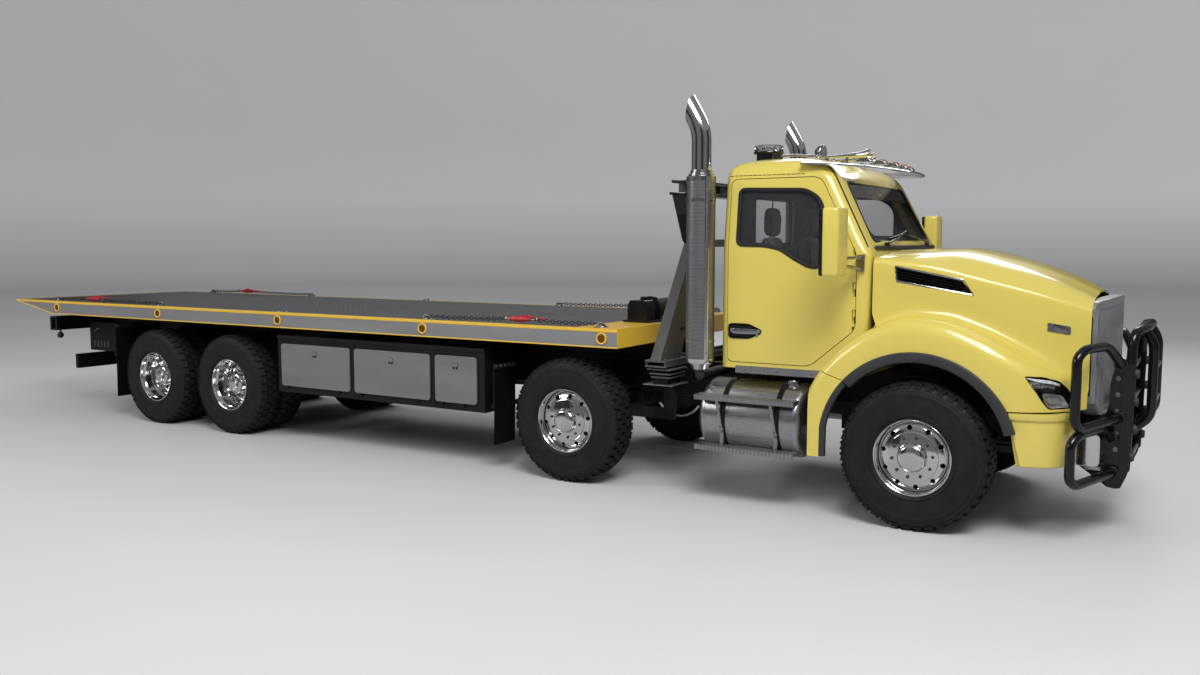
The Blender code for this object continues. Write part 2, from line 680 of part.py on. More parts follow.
def behind_split(lift):
    line = [(x, z + lift) for x, z in split_line]
    return prism("split", line + [(-0.90, 0.30), (-0.40, 0.30)], "y", -1.4, 1.4)


core = []
for x in (-0.35, -0.1, 0.10, 0.30, 0.50, 0.70, 0.90, 1.10):
    top, crease, wide = table(crown_z, x), table(shoulder_z, x), table(shoulder_y, x)
    low = max(table(fender_z, x) - 0.03, 0.95)
    half = [(0.0, top), (wide * 0.45, top - 0.008), (wide * 0.80, 0.6 * top + 0.4 * crease), (wide * 0.96,
        crease + 0.02)]
    half += [(wide, crease - 0.04), (wide + 0.02, low)]
    line = [(-y, z) for y, z in reversed(half[1:])] + half
    core.append([(x, y, z) for y, z in band(line, skin)])
hood = loft("hood", core)
stations = [-0.81, -0.76, -0.68, -0.62, -0.55, -0.46, -0.371, -0.369, -0.25, -0.08, 0.06, 0.20, 0.35,
    0.50, 0.60]
stations += [0.72, 0.80, 0.88, 0.95, 1.0, 1.05, 1.10]
for edge in (arch_rear_x, arch_front_x):
    stations += [edge - 0.0005, edge + 0.0005]
stations = sorted(stations)
for s in (1, -1):
    rings, fat = [], []
    for x in stations:
        line = fender_line(x)
        rings.append([(x, s * y, z) for y, z in band(line, skin)])
        if x > 0.64:
            fat.append([(x, s * y, z) for y, z in line + [(line[0][0], line[-1][1])]])
    fender = loft("fender", rings)
    quarter = common(copy_of(fender, "quarter_fender_" + ("L" if s > 0 else "R")), behind_split(-0.003))
    arm = box("arm", (-0.795, -0.765), (s * (rail_y[1] + seat_gap), s * 1.205), (0.93, 0.99))
    put(weld(quarter, arm), "yellow_paint")
    hood = weld(hood, cut(fender, behind_split(0.003)))
    lamp_area = [(0.745, 1.20), (0.90, 1.17), (1.03, 1.10), (1.06, 0.99), (0.93, 0.965), (0.86, 1.05)]
    lamp = loft("headlamp_" + ("L" if s > 0 else "R"), fat)
    lamp = common(lamp, prism("area", grown(lamp_area, -seat_gap), "y", s * 0.82, s * 1.3))
    hood = cut(hood, prism("area", lamp_area, "y", s * 0.80, s * 1.3))
    if s > 0:
        body("hood_tilt", (hood_pivot[0], 0, hood_pivot[1]))
    put(lamp, "glass", "hood_tilt")
put(hood, "yellow_paint", "hood_tilt")

# Grille on the hood's nose

plan = [(1.10 + seat_gap, -0.66), (1.13, -0.66), (1.20, -0.35), (1.24, 0.0), (1.20, 0.35), (1.13, 0.66),
    (1.10 + seat_gap, 0.66)]
grille = prism("grille", plan, "z", 0.86, 1.72)
openings = []
for s in (1, -1):
    for k in range(4):
        y0 = 0.05 + 0.135 * k
        openings.append(box("gap", (1.0, 1.4), (s * y0, s * (y0 + 0.11)), (0.94, 1.60)))
grille = cut(grille, *openings)
lugs = []
for s in (1, -1):
    lugs.append(box("lug", (hood_pivot[0] - 0.02, hood_pivot[0] + 0.02), (s * 0.4373, s * 0.46),
        (hood_pivot[1] - 0.018, 0.88)))
    lugs.append(rod("pin", (hood_pivot[0], s * 0.40, hood_pivot[1]), (hood_pivot[0], s * 0.45,
        hood_pivot[1]), hood_pin_r, 12))
grille = weld(grille, *lugs)
put(grille, "grille_grey", "hood_tilt")

# Bumper

front = [(0.705, 1.20), (0.88, 1.17), (0.99, 1.08), (1.05, 0.90), (1.12, 0.50), (1.14, 0.0)]
line = front + [(x, -y) for x, y in reversed(front[:-1])]
inside = [(x - 0.05, y * 0.965) for x, y in line]
inside[0] = (0.705, 1.15)
inside[-1] = (0.705, -1.15)
ring = line + list(reversed(inside))
bumper = prism("bumper", ring, "z", 0.55, 0.93)
bumper = cut(bumper, box("gap", (0.6, 1.3), (-0.90, 0.90), (hood_pivot[1] - 0.035, 1.0)))
mounts = [box("mount", (1.0 + seat_gap, 1.08), (s * 0.25, s * 0.38), (0.60, 0.76)) for s in (1, -1)]
put(weld(bumper, *mounts), "yellow_paint")

# Guard: plates, hoops and cross tubes

body("guard_fold", (guard_pivot[0], 0, guard_pivot[1]))
parts = []
for s in (1, -1):
    plate = [(1.24, 0.33), (1.31, 0.33), (1.36, 0.45), (1.37, 1.28), (1.26, 1.28), (1.22, 1.10),
        (1.22, 0.95), (1.18, 0.80), (1.18, 0.40)]
    parts.append(prism("guard", plate, "y", s * 0.50, s * 0.54))
    upper = [(1.29, 0.53, 1.24), (1.21, 0.68, 1.385), (1.10, 1.02, 1.385), (1.06, 1.10, 1.33),
        (1.06, 1.10, 0.88), (1.09, 1.03, 0.83), (1.29, 0.53, 0.85)]
    lower = [(1.24, 0.53, 0.70), (1.20, 0.66, 0.79), (1.08, 1.03, 0.79), (1.04, 1.10, 0.73),
        (1.04, 1.10, 0.48), (1.07, 1.03, 0.43), (1.26, 0.53, 0.45)]
    parts.append(tube("hoop", [(x, s * y, z) for x, y, z in upper], 0.034, 10))
    parts.append(tube("hoop", [(x, s * y, z) for x, y, z in lower], 0.034, 10))
    parts.append(tube("post", [(1.35, s * 0.52, 1.25), (1.355, s * 0.50, 1.47), (1.43, s * 0.26, 1.50),
        (1.43, 0.0, 1.50)], 0.034, 10))
    post = [(1.41, s * 0.25, 1.49), (1.475, s * 0.25, 1.38), (1.475, s * 0.25, 0.84), (1.36, s * 0.25, 0.74)]
    parts.append(tube("post", post, 0.034, 10))
for x, z in ((1.33, 1.20), (1.33, 0.95), (1.34, 0.74), (1.33, 0.50)):
    parts.append(rod("cross", (x, -0.52, z), (x, 0.52, z), 0.03, 10))
parts.append(rod("pivot", (guard_pivot[0], -0.53, guard_pivot[1]), (guard_pivot[0], 0.53, guard_pivot[1]),
    guard_pin_r, 12))
for z in (1.20, 0.95):
    parts.append(rod("cross", (1.475, -0.25, z), (1.475, 0.25, z), 0.03, 10))
put(weld(parts[0], *parts[1:]), "chassis_black", "guard_fold")

# Light tower behind the cab

parts = [box("light_tower", (-2.30, -2.10), (-1.12, 1.12), (rail_z[1] + seat_gap, 1.12))]
for s in (1, -1):
    leg = [(s * 1.118, 1.10), (s * 0.496, 2.11), (s * 0.70, 2.54), (s * 0.60, 2.54), (s * 0.40, 2.11),
        (s * 0.71, 1.10)]
    parts.append(prism("leg", leg, "x", -2.25, -2.15))
    parts.append(box("post", (-2.22, -2.18), (s * 0.60, s * 0.66), (2.54, 2.65)))
parts.append(box("waist", (-2.25, -2.15), (-0.46, 0.46), (2.06, 2.16)))
parts.append(box("top", (-2.28, -2.12), (-0.72, 0.72), (2.53, 2.555)))
parts.append(box("cap", (-2.27, -2.13), (-0.70, 0.70), (2.645, 2.662)))
put(weld(parts[0], *parts[1:]), "tower_grey")

# Toolboxes, each with three drop-down doors

doors_x = [(-6.66, -5.66), (-5.60, -4.60), (-4.54, -4.03)]
doors_z = (0.59, 1.05)
for side, s in (("L", 1), ("R", -1)):
    chest = box("toolbox_" + side, box_x, (s * 0.75, s * box_face_y), box_z)
    bays = [box("bay", (a + 0.03, b - 0.03), (s * 0.78, s * 1.3), (doors_z[0] + 0.03,
        doors_z[1] - 0.03)) for a, b in doors_x]
    chest = cut(chest, *bays)
    mounts = [box("mount", (x, x + 0.1), (s * (rail_y[1] + seat_gap), s * 0.76),
        (0.85, 0.95)) for x in (-6.2, -4.5)]
    shelf = box("shelf", (box_x[0], box_x[1] - 0.2), (s * 0.76, s * 1.215), (1.10, 1.135))
    for a, b in doors_x:
        for x in (a + 0.10, b - 0.15):
            knuckle = rod("knuckle", (x - 0.05, s * 1.2225, doors_z[0]), (x - seat_gap, s * 1.2225,
                doors_z[0]), 0.008, 8)
            mounts += [knuckle, box("leaf", (x - 0.05, x - seat_gap), (s * 1.19, s * 1.2225), (0.573, 0.586))]
    put(weld(chest, *mounts, shelf), "chassis_black")
    for k, (a, b) in enumerate(doors_x):
        name = body("box_hinge_%s%d" % (side, k + 1), (0.5 * (a + b), s * 1.2225, doors_z[0]))
        door = box("box_door_%s%d" % (side, k + 1), (a, b), (s * 1.2055, s * 1.2205), (doors_z[0] + 0.009,
            doors_z[1]))
        latch = box("latch", (0.5 * (a + b) - 0.04, 0.5 * (a + b) + 0.04), (s * 1.215, s * 1.228),
            (0.92, 0.99))
        knuckles = [rod("knuckle", (x, s * 1.2225, doors_z[0]), (x + 0.05, s * 1.2225, doors_z[0]), 0.008,
            8) for x in (a + 0.10, b - 0.15)]
        knuckles += [box("leaf", (x, x + 0.05), (s * 1.2065, s * 1.2195),
            (doors_z[0], doors_z[0] + 0.02)) for x in (a + 0.10, b - 0.15)]
        put(weld(door, latch, *knuckles), "door_grey", name)

# Mudflaps

parts = [box("mudflaps_rear", (-9.53, -9.49), (-1.25, 1.25), (0.75, rail_z[0] - seat_gap))]
for s in (1, -1):
    parts.append(box("flap", (-9.50, -9.488), (s * 0.64, s * 1.25), (0.26, 1.15)))
put(weld(parts[0], *parts[1:]), "rubber")
parts = [box("mudflaps_front", (-3.84, -3.80), (-1.25, 1.25), (0.59, 0.63))]
for s in (1, -1):
    parts.append(box("flap", (-3.812, -3.80), (s * 0.93, s * 1.25), (0.25, 1.01)))
    parts.append(box("hanger", (-3.84, -3.80), (s * 0.40, s * 0.46), (0.60, rail_z[0] - seat_gap)))
put(weld(parts[0], *parts[1:]), "rubber")

# Tilting subframe

body("bed_tilt", (tilt_x, 0, tilt_z))
parts = []
for s in (1, -1):
    parts.append(box("subframe", (-11.06, -2.65), (s * 0.38, s * 0.48), subframe_z))
    for x in (-10.6, -8.6, -6.6, -4.6, -2.8):
        parts.append(box("pad", (x - 0.1, x + 0.1), (s * 0.40, s * 0.46), (1.20, deck_z[0] - seat_gap)))
    parts.append(box("fork", (-8.45, -8.25), (s * 0.265, s * 0.285), (1.04, 1.19)))
for x in (-2.72, -4.6, -6.5, -8.60, -8.10, -10.3):
    parts.append(box("cross", (x - 0.04, x + 0.04), (-0.40, 0.40), (1.12, 1.20)))
parts.append(rod("pin", (tilt_x, -0.545, tilt_z), (tilt_x, 0.545, tilt_z), tilt_pin_r, 16))
parts.append(box("bridge", (-8.60, -8.10), (-0.30, -0.25), (1.16, 1.20)))
parts.append(box("bridge", (-8.60, -8.10), (0.25, 0.30), (1.16, 1.20)))
put(weld(parts[0], *parts[1:]), "chassis_black", "bed_tilt")

# Sliding deck

body("deck_slide", (deck_x[1], 0, deck_z[0]), "bed_tilt")
plate_z = deck_z[1] + front_plate_rise
side_view = [(deck_x[1], deck_z[0]), (deck_x[1], plate_z), (front_plate_x, plate_z), (front_plate_x,
    deck_z[1])]
side_view += [(deck_x[0], deck_z[1]), (deck_x[0], deck_z[1] - 0.015), (deck_taper_x, deck_z[0])]
deck = prism("deck", side_view, "y", -deck_half, deck_half)
bays = []
bay_count = 7
first, last = deck_taper_x + 0.05, deck_x[1] - 0.08
for k in range(bay_count):
    a = first + (last - first) * k / bay_count + 0.035
    b = first + (last - first) * (k + 1) / bay_count - 0.035
    for y in ((-1.205, -0.50), (-0.36, 0.36), (0.50, 1.205)):
        bays.append(((a, b), y, (deck_z[0] - 0.05, deck_z[1] - 0.025)))
deck = cut(deck, boxes("bays", bays))
put(deck, "deck_grey", "deck_slide")

# Winch at the front of the deck

top = plate_z + seat_gap
parts = [box("winch", (-2.84, -2.56), (-0.55, 0.55), (top, top + 0.03))]
for s in (1, -1):
    parts.append(box("end", (-2.82, -2.58), (s * 0.30, s * 0.34), (top, top + 0.22)))
parts.append(rod("drum", (-2.70, -0.32, top + 0.12), (-2.70, 0.32, top + 0.12), 0.075, 14))
parts.append(box("motor", (-2.79, -2.61), (-0.54, -0.33), (top + 0.01, top + 0.20)))
put(weld(parts[0], *parts[1:]), "chassis_black", "deck_slide")

# Tilt cylinders: barrels hinged on the frame, rods sliding in them

reach = math.hypot(eye_x - barrel_x, eye_z - barrel_z)
along = Vector(((eye_x - barrel_x) / reach, 0, (eye_z - barrel_z) / reach))
start = Vector((barrel_x, 0, barrel_z))
body("barrel_hinge", start)
body("rod_slide", start + along * reach, "barrel_hinge")
parts = [rod("tilt_barrels", (barrel_x, -0.405, barrel_z), (barrel_x, 0.405, barrel_z), trunnion_r, 12)]
bores = []
rods = []
for s in (1, -1):
    side = Vector((0, s * cylinder_y, 0))
    parts.append(rod("barrel", start + side, start + side + along * 0.95, 0.055, 14))
    bores.append(rod("bore", start + side + along * 0.10, start + side + along * 1.0, 0.0305, 14))
    rods.append(rod("tilt_rods", start + side + along * 0.40, start + side + along * reach, 0.0295, 14))
    end = start + along * reach
    rods.append(rod("eye", (end.x, s * (cylinder_y - 0.035), end.z), (end.x, s * (cylinder_y + 0.035),
        end.z), 0.045, 12))
end = start + along * reach
rods.append(rod("shaft", (end.x, -cylinder_y, end.z), (end.x, cylinder_y, end.z), 0.02, 10))
put(cut(weld(parts[0], *parts[1:]), *bores), "chassis_black", "barrel_hinge")
put(weld(rods[0], *rods[1:]), "chrome", "rod_slide")
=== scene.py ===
import bpy
import bmesh
import math
import random
from mathutils import Matrix, Vector


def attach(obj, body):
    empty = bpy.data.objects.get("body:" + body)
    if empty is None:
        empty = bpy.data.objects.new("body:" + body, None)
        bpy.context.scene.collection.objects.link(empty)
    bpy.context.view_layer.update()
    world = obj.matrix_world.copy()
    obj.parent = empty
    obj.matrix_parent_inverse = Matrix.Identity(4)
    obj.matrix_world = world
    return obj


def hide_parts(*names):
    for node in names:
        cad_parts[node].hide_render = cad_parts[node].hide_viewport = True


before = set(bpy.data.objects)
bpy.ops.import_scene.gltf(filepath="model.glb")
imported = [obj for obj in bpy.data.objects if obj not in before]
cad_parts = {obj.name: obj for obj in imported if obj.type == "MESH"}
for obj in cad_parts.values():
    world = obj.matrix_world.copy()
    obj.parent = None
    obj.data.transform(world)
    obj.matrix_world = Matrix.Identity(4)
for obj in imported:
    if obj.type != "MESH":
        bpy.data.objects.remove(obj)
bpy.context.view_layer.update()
draw = random.Random(7)

# X is measured from the front axle in this script; AXLE_X is where that axle is in the frame
AXLE_X = 5.0155
PUSHER_X = -3.03
DRIVE_X = (-7.475, -8.77)
TYRE_R = 0.55

# Camera at the photograph's place

CAMERA_PLACE = (1.9308 + AXLE_X, -8.777, 2.1211)
CAMERA_PITCH, CAMERA_HEADING = 84.715, 31.405
SENSOR_WIDTH, FOCAL_LENGTH = 36.0, 30.985

camera_data = bpy.data.cameras.new("camera")
camera_data.sensor_width = SENSOR_WIDTH
camera_data.lens = FOCAL_LENGTH
camera_data.clip_end = 400.0
camera = bpy.data.objects.new("camera", camera_data)
bpy.context.scene.collection.objects.link(camera)
camera.location = CAMERA_PLACE
camera.rotation_euler = (math.radians(CAMERA_PITCH), 0.0, math.radians(CAMERA_HEADING))
bpy.context.scene.camera = camera
bpy.context.scene.view_settings.view_transform = "Standard"

# Node helpers


class Look:
    """A material and the few node calls that all materials here share."""

    def __init__(self, name, color, metallic=0.0, rough=0.5, coat=0.0, coat_rough=0.03):
        self.mat = bpy.data.materials.new(name)
        self.mat.use_nodes = True
        self.tree = self.mat.node_tree
        self.shader = self.tree.nodes["Principled BSDF"]
        self.color = color
        self.rough = rough
        self.shader.inputs["Base Color"].default_value = (*color, 1)
        self.shader.inputs["Metallic"].default_value = metallic
        self.shader.inputs["Roughness"].default_value = rough
        self.shader.inputs["Coat Weight"].default_value = coat
        self.shader.inputs["Coat Roughness"].default_value = coat_rough
        self.mat.diffuse_color = (*color, 1)
        self.height = None

    def node(self, kind, **values):
        made = self.tree.nodes.new(kind)
        for key, value in values.items():
            setattr(made, key, value)
        return made

    def link(self, source, target):
        self.tree.links.new(source, target)

    def coords(self, scale=(1, 1, 1), rotation=(0, 0, 0)):
        source = self.node("ShaderNodeTexCoord")
        mapping = self.node("ShaderNodeMapping")
        mapping.inputs["Scale"].default_value = scale
        mapping.inputs["Rotation"].default_value = rotation
        self.link(source.outputs["Object"], mapping.inputs["Vector"])
        return mapping.outputs["Vector"]

    def noise(self, scale, detail=3.0, stretch=(1, 1, 1), rough=0.5):
        made = self.node("ShaderNodeTexNoise")
        made.inputs["Scale"].default_value = scale
        made.inputs["Detail"].default_value = detail
        made.inputs["Roughness"].default_value = rough
        self.link(self.coords(stretch), made.inputs["Vector"])
        return made.outputs["Fac"]

    def math(self, operation, a, b=None, clamp=False):
        made = self.node("ShaderNodeMath", operation=operation, use_clamp=clamp)
        for index, value in enumerate((a, b)):
            if isinstance(value, (int, float)):
                made.inputs[index].default_value = value
            elif value is not None:
                self.link(value, made.inputs[index])
        return made.outputs[0]

    def span(self, value, low, high, out_low, out_high):
        made = self.node("ShaderNodeMapRange")
        self.link(value, made.inputs["Value"])
        made.inputs["From Min"].default_value = low
        made.inputs["From Max"].default_value = high
        made.inputs["To Min"].default_value = out_low
        made.inputs["To Max"].default_value = out_high
        return made.outputs["Result"]

    def mix_color(self, factor, a, b):
        made = self.node("ShaderNodeMix", data_type="RGBA")
        self.link(factor, made.inputs["Factor"])
        for index, value in ((6, a), (7, b)):
            if isinstance(value, tuple):
                made.inputs[index].default_value = (*value, 1)
            else:
                self.link(value, made.inputs[index])
        return made.outputs[2]

    def vary_color(self, factor, low, high):
        """The base colour from low times to high times the written colour, as factor goes from 0.3 to 0.7."""
        spread = self.span(factor, 0.3, 0.7, 0.0, 1.0)
        dark = tuple(c * low for c in self.color)
        light = tuple(min(1.0, c * high) for c in self.color)
        mixed = self.mix_color(spread, dark, light)
        self.link(mixed, self.shader.inputs["Base Color"])
        return mixed

    def holes(self, u, v, hole, blur, shown, hole_shade, depth, strength):
        """Rows of round holes on a square grid, each row shifted by half a step, pressed in, with their dark
        colour painted shade seen through them.
        """
        shift = self.math("MULTIPLY", self.math("MODULO", self.math("FLOOR", v), 2.0), 0.5)
        fu = self.math("SUBTRACT", self.math("FRACT", self.math("ADD", u, shift)), 0.5)
        fv = self.math("SUBTRACT", self.math("FRACT", v), 0.5)
        far = self.math(
            "SQRT", self.math("ADD", self.math("MULTIPLY", fu, fu), self.math("MULTIPLY", fv, fv)),
        )
        opened = self.math("SUBTRACT", 1.0, self.span(far, hole - blur, hole + blur, 0.0, 1.0), clamp=True)
        # The holes' colour is painted shade: what lies behind a hole is drawn as a dark colour
        self.link(self.mix_color(opened, shown, hole_shade), self.shader.inputs["Base Color"])
        self.bump(self.math("SUBTRACT", 1.0, opened), depth, strength)

    def vary_rough(self, factor, low, high):
        self.link(self.span(factor, 0.3, 0.7, low, high), self.shader.inputs["Roughness"])

    def bump(self, height, distance, strength=1.0):
        made = self.node("ShaderNodeBump")
        made.inputs["Strength"].default_value = strength
        made.inputs["Distance"].default_value = distance
        self.link(height, made.inputs["Height"])
        if self.height is not None:
            self.link(self.height, made.inputs["Normal"])
        self.height = made.outputs["Normal"]
        self.link(self.height, self.shader.inputs["Normal"])
        return self


LOOKS = {}


def look(name, color, metallic=0.0, rough=0.5, coat=0.0, coat_rough=0.03):
    made = Look(name, color, metallic, rough, coat, coat_rough)
    LOOKS[name] = made
    return made


# Materials: painted, plated, rubber, cloth and glass


def surface(name, color, metallic, rough, tint, shine, relief, coat=0.0, coat_rough=0.03, specular=None):
    """A look whose colour, roughness and relief each follow a noise of their own.

    A noise is its scale, its detail and, where the grain is drawn out, its stretch. After it, tint and
    shine give the range it covers, and relief gives the bump's distance and strength.
    """
    made = look(name, color, metallic, rough, coat, coat_rough)
    if specular is not None:
        made.shader.inputs["Specular IOR Level"].default_value = specular
    made.vary_color(made.noise(*tint[0]), *tint[1:])
    made.vary_rough(made.noise(*shine[0]), *shine[1:])
    made.bump(made.noise(*relief[0]), *relief[1:])
    return made


# Each row: colour, metallic, roughness, tint, shine, relief, then coat, coat roughness and specular
SURFACES = {
    "cab_yellow": (
        (0.69, 0.56, 0.108), 0.0, 0.34,
        ((0.7, 2.0), 0.965, 1.03), ((5.0, 4.0), 0.30, 0.40), ((260.0, 1.0), 0.00025, 0.25), 0.7, 0.06,
    ),
    "rail_grey": (
        (0.235, 0.235, 0.24), 0.15, 0.42,
        (
            (1.6, 5.0, (0.4, 1, 3)), 0.88, 1.10,
        ), ((24.0, 4.0), 0.36, 0.52), ((160.0, 2.0), 0.0004, 0.3), 0.15, 0.2,
    ),
    "frame_black": (
        (0.005, 0.005, 0.0055), 0.0, 0.42,
        ((3.0, 5.0), 0.7, 1.5), ((18.0, 4.0), 0.34, 0.55), ((140.0, 2.0), 0.0006, 0.4), 0.0, 0.2, 0.25,
    ),
    "gloss_black": (
        (0.004, 0.004, 0.0045), 0.0, 0.22,
        ((4.0, 3.0), 0.8, 1.5), ((12.0, 4.0), 0.16, 0.30), ((420.0, 1.0), 0.0002, 0.25), 0.35, 0.06, 0.35,
    ),
    "box_black": (
        (0.006, 0.006, 0.0065), 0.0, 0.5,
        ((2.2, 4.0), 0.8, 1.4), ((30.0, 3.0), 0.42, 0.6), ((300.0, 2.0), 0.0005, 0.5), 0.0, 0.03, 0.3,
    ),
    "flare_plastic": (
        (0.030, 0.030, 0.032), 0.0, 0.55,
        ((6.0, 3.0), 0.85, 1.2), ((40.0, 2.0), 0.48, 0.62), ((520.0, 2.0), 0.0005, 0.5),
    ),
    "tower_paint": (
        (0.085, 0.085, 0.087), 0.1, 0.42,
        (
            (2.0, 5.0, (1, 1, 0.4)), 0.86, 1.12,
        ), ((22.0, 3.0), 0.36, 0.5), ((180.0, 2.0), 0.0005, 0.4), 0.2, 0.2,
    ),
    "box_door_metal": (
        (0.225, 0.225, 0.23), 0.35, 0.42,
        ((3.0, 5.0, (0.3, 1, 2.0)), 0.90, 1.10), ((60.0, 4.0, (0.15, 1, 1)), 0.34, 0.50),
        ((220.0, 3.0, (0.1, 1, 1)), 0.0003, 0.5),
    ),
    "chrome": (
        (0.78, 0.78, 0.79), 1.0, 0.08,
        ((3.0, 3.0), 0.95, 1.03), ((14.0, 4.0), 0.05, 0.13), ((30.0, 2.0), 0.0002, 0.12),
    ),
    "satin_chrome": (
        (0.42, 0.42, 0.43), 1.0, 0.24,
        ((5.0, 3.0), 0.9, 1.08), ((26.0, 4.0), 0.18, 0.32), ((90.0, 2.0), 0.0003, 0.15),
    ),
    "grille_plate": (
        (0.42, 0.42, 0.425), 0.75, 0.34,
        ((3.0, 2.0), 0.95, 1.05), ((8.0, 2.0), 0.30, 0.38), ((260.0, 1.0), 0.0001, 0.1), 0.2, 0.15,
    ),
    "lamp_silver": (
        (0.78, 0.78, 0.79), 0.25, 0.28,
        ((12.0, 2.0), 0.94, 1.05), ((30.0, 2.0), 0.22, 0.34), ((80.0, 1.0), 0.0004, 0.2),
    ),
    "lamp_grey": (
        (0.34, 0.34, 0.35), 0.1, 0.18,
        ((10.0, 2.0), 0.92, 1.08), ((30.0, 2.0), 0.14, 0.24), ((140.0, 1.0), 0.0002, 0.15), 0.5, 0.05,
    ),
    "brushed_aluminium": (
        (0.50, 0.50, 0.51), 1.0, 0.30,
        ((2.0, 4.0), 0.9, 1.06), ((90.0, 3.0, (0.04, 1, 1)), 0.24, 0.38), (
            (300.0, 2.0, (0.03, 1, 1)), 0.0002, 0.4,
        ),
    ),
    "cast_iron": (
        (0.035, 0.035, 0.037), 0.4, 0.6,
        ((7.0, 6.0), 0.6, 1.5), ((30.0, 4.0), 0.45, 0.7), ((90.0, 5.0), 0.0015, 0.5),
    ),
    "bare_steel": (
        (0.33, 0.33, 0.34), 1.0, 0.34,
        ((9.0, 5.0), 0.7, 1.1), ((30.0, 4.0), 0.28, 0.45), ((120.0, 4.0), 0.0006, 0.4),
    ),
    "chain_steel": (
        (0.10, 0.10, 0.105), 0.9, 0.42,
        ((40.0, 5.0), 0.6, 1.5), ((60.0, 4.0), 0.34, 0.55), ((300.0, 3.0), 0.0004, 0.4),
    ),
    "tyre_rubber": (
        (0.0095, 0.0095, 0.0098), 0.0, 0.62,
        ((9.0, 5.0), 0.75, 1.5), ((45.0, 4.0), 0.5, 0.72), ((160.0, 4.0), 0.0008, 0.4), 0.0, 0.03, 0.3,
    ),
    "flap_rubber": (
        (0.003, 0.003, 0.0032), 0.0, 0.6,
        ((4.0, 4.0), 0.8, 1.7), ((20.0, 4.0), 0.45, 0.7), (
            (3.0, 2.0, (1, 1, 0.3)), 0.012, 0.4,
        ), 0.0, 0.03, 0.15,
    ),
    "gasket_rubber": (
        (0.008, 0.008, 0.008), 0.0, 0.5,
        ((20.0, 3.0), 0.8, 1.3), ((60.0, 3.0), 0.4, 0.6), ((400.0, 2.0), 0.0002, 0.3),
    ),
    "binder_red": (
        (0.46, 0.010, 0.022), 0.0, 0.35,
        ((30.0, 4.0), 0.75, 1.15), ((60.0, 4.0), 0.28, 0.5), ((260.0, 3.0), 0.0003, 0.3), 0.3, 0.1,
    ),
}
for name, values in SURFACES.items():
    surface(name, *values)
LOOKS["brushed_aluminium"].shader.inputs["Anisotropic"].default_value = 0.5

rail_paint = look("deck_yellow", (0.80, 0.49, 0.038), 0.0, 0.36, 0.4, 0.1)
scuff = rail_paint.noise(38.0, 6.0, (1, 1, 1), 0.7)
chip = rail_paint.span(scuff, 0.66, 0.70, 0.0, 1.0)
base = rail_paint.mix_color(rail_paint.noise(2.5, 3.0), (0.78, 0.465, 0.030), (0.85, 0.53, 0.048))
rail_paint.link(rail_paint.mix_color(chip, base, (0.35, 0.27, 0.10)), rail_paint.shader.inputs["Base Color"])
rail_paint.vary_rough(scuff, 0.30, 0.5)
rail_paint.bump(scuff, 0.0006, 0.25)

interior = look("interior_trim", (0.030, 0.030, 0.032), 0.0, 0.6)
interior.vary_color(interior.noise(9.0, 3.0), 0.8, 1.3)
interior.vary_rough(interior.noise(60.0, 2.0), 0.52, 0.68)
grain = interior.node("ShaderNodeTexVoronoi")
grain.inputs["Scale"].default_value = 380.0
interior.link(interior.coords(), grain.inputs["Vector"])
interior.bump(grain.outputs["Distance"], 0.0005, 0.5)

seat_cloth = look("seat_cloth", (0.34, 0.34, 0.35), 0.0, 0.85)
seat_cloth.shader.inputs["Sheen Weight"].default_value = 0.3
threads = []
for direction in ("Z", "Y"):
    wave = seat_cloth.node("ShaderNodeTexWave", wave_type="BANDS", bands_direction=direction)
    wave.inputs["Scale"].default_value = 160.0
    seat_cloth.link(seat_cloth.coords(), wave.inputs["Vector"])
    threads.append(wave.outputs["Fac"])
weave = seat_cloth.math("MULTIPLY", *threads)
seat_cloth.vary_color(weave, 0.8, 1.25)
seat_cloth.bump(weave, 0.0006, 0.5)

seat_leather = look("seat_leather", (0.075, 0.075, 0.078), 0.0, 0.45)
hide = seat_leather.node("ShaderNodeTexVoronoi", feature="DISTANCE_TO_EDGE")
hide.inputs["Scale"].default_value = 260.0
seat_leather.link(seat_leather.coords(), hide.inputs["Vector"])
seat_leather.vary_color(seat_leather.noise(8.0, 4.0), 0.8, 1.3)
seat_leather.vary_rough(seat_leather.noise(30.0, 3.0), 0.38, 0.52)
seat_leather.bump(hide.outputs["Distance"], 0.0004, 0.6)


def clear_look(name, color, rough, transmission=1.0, ior=1.45, alpha=1.0):
    made = look(name, color, 0.0, rough)
    made.shader.inputs["Transmission Weight"].default_value = transmission
    made.shader.inputs["IOR"].default_value = ior
    made.shader.inputs["Alpha"].default_value = alpha
    made.vary_rough(made.noise(3.0, 3.0), rough, rough + 0.02)
    return made


glass = clear_look("window_glass", (0.10, 0.105, 0.11), 0.0, 0.0, 1.45, 0.16)
glass.shader.inputs["Specular IOR Level"].default_value = 0.9
lens_clear = clear_look("lens_clear", (0.97, 0.975, 0.98), 0.0, 1.0, 1.12)
lens_clear.bump(lens_clear.noise(20.0, 1.0), 0.0002, 0.1)
clear_look("lens_amber", (0.55, 0.16, 0.015), 0.12, 0.45, 1.3)
clear_look("lens_dark_amber", (0.15, 0.055, 0.012), 0.15, 0.2, 1.3)
clear_look("lens_red", (0.45, 0.012, 0.012), 0.12, 0.3, 1.3)
mirror_glass = look("mirror_glass", (0.7, 0.71, 0.72), 1.0, 0.03)
mirror_glass.vary_rough(mirror_glass.noise(2.0, 3.0), 0.02, 0.06)


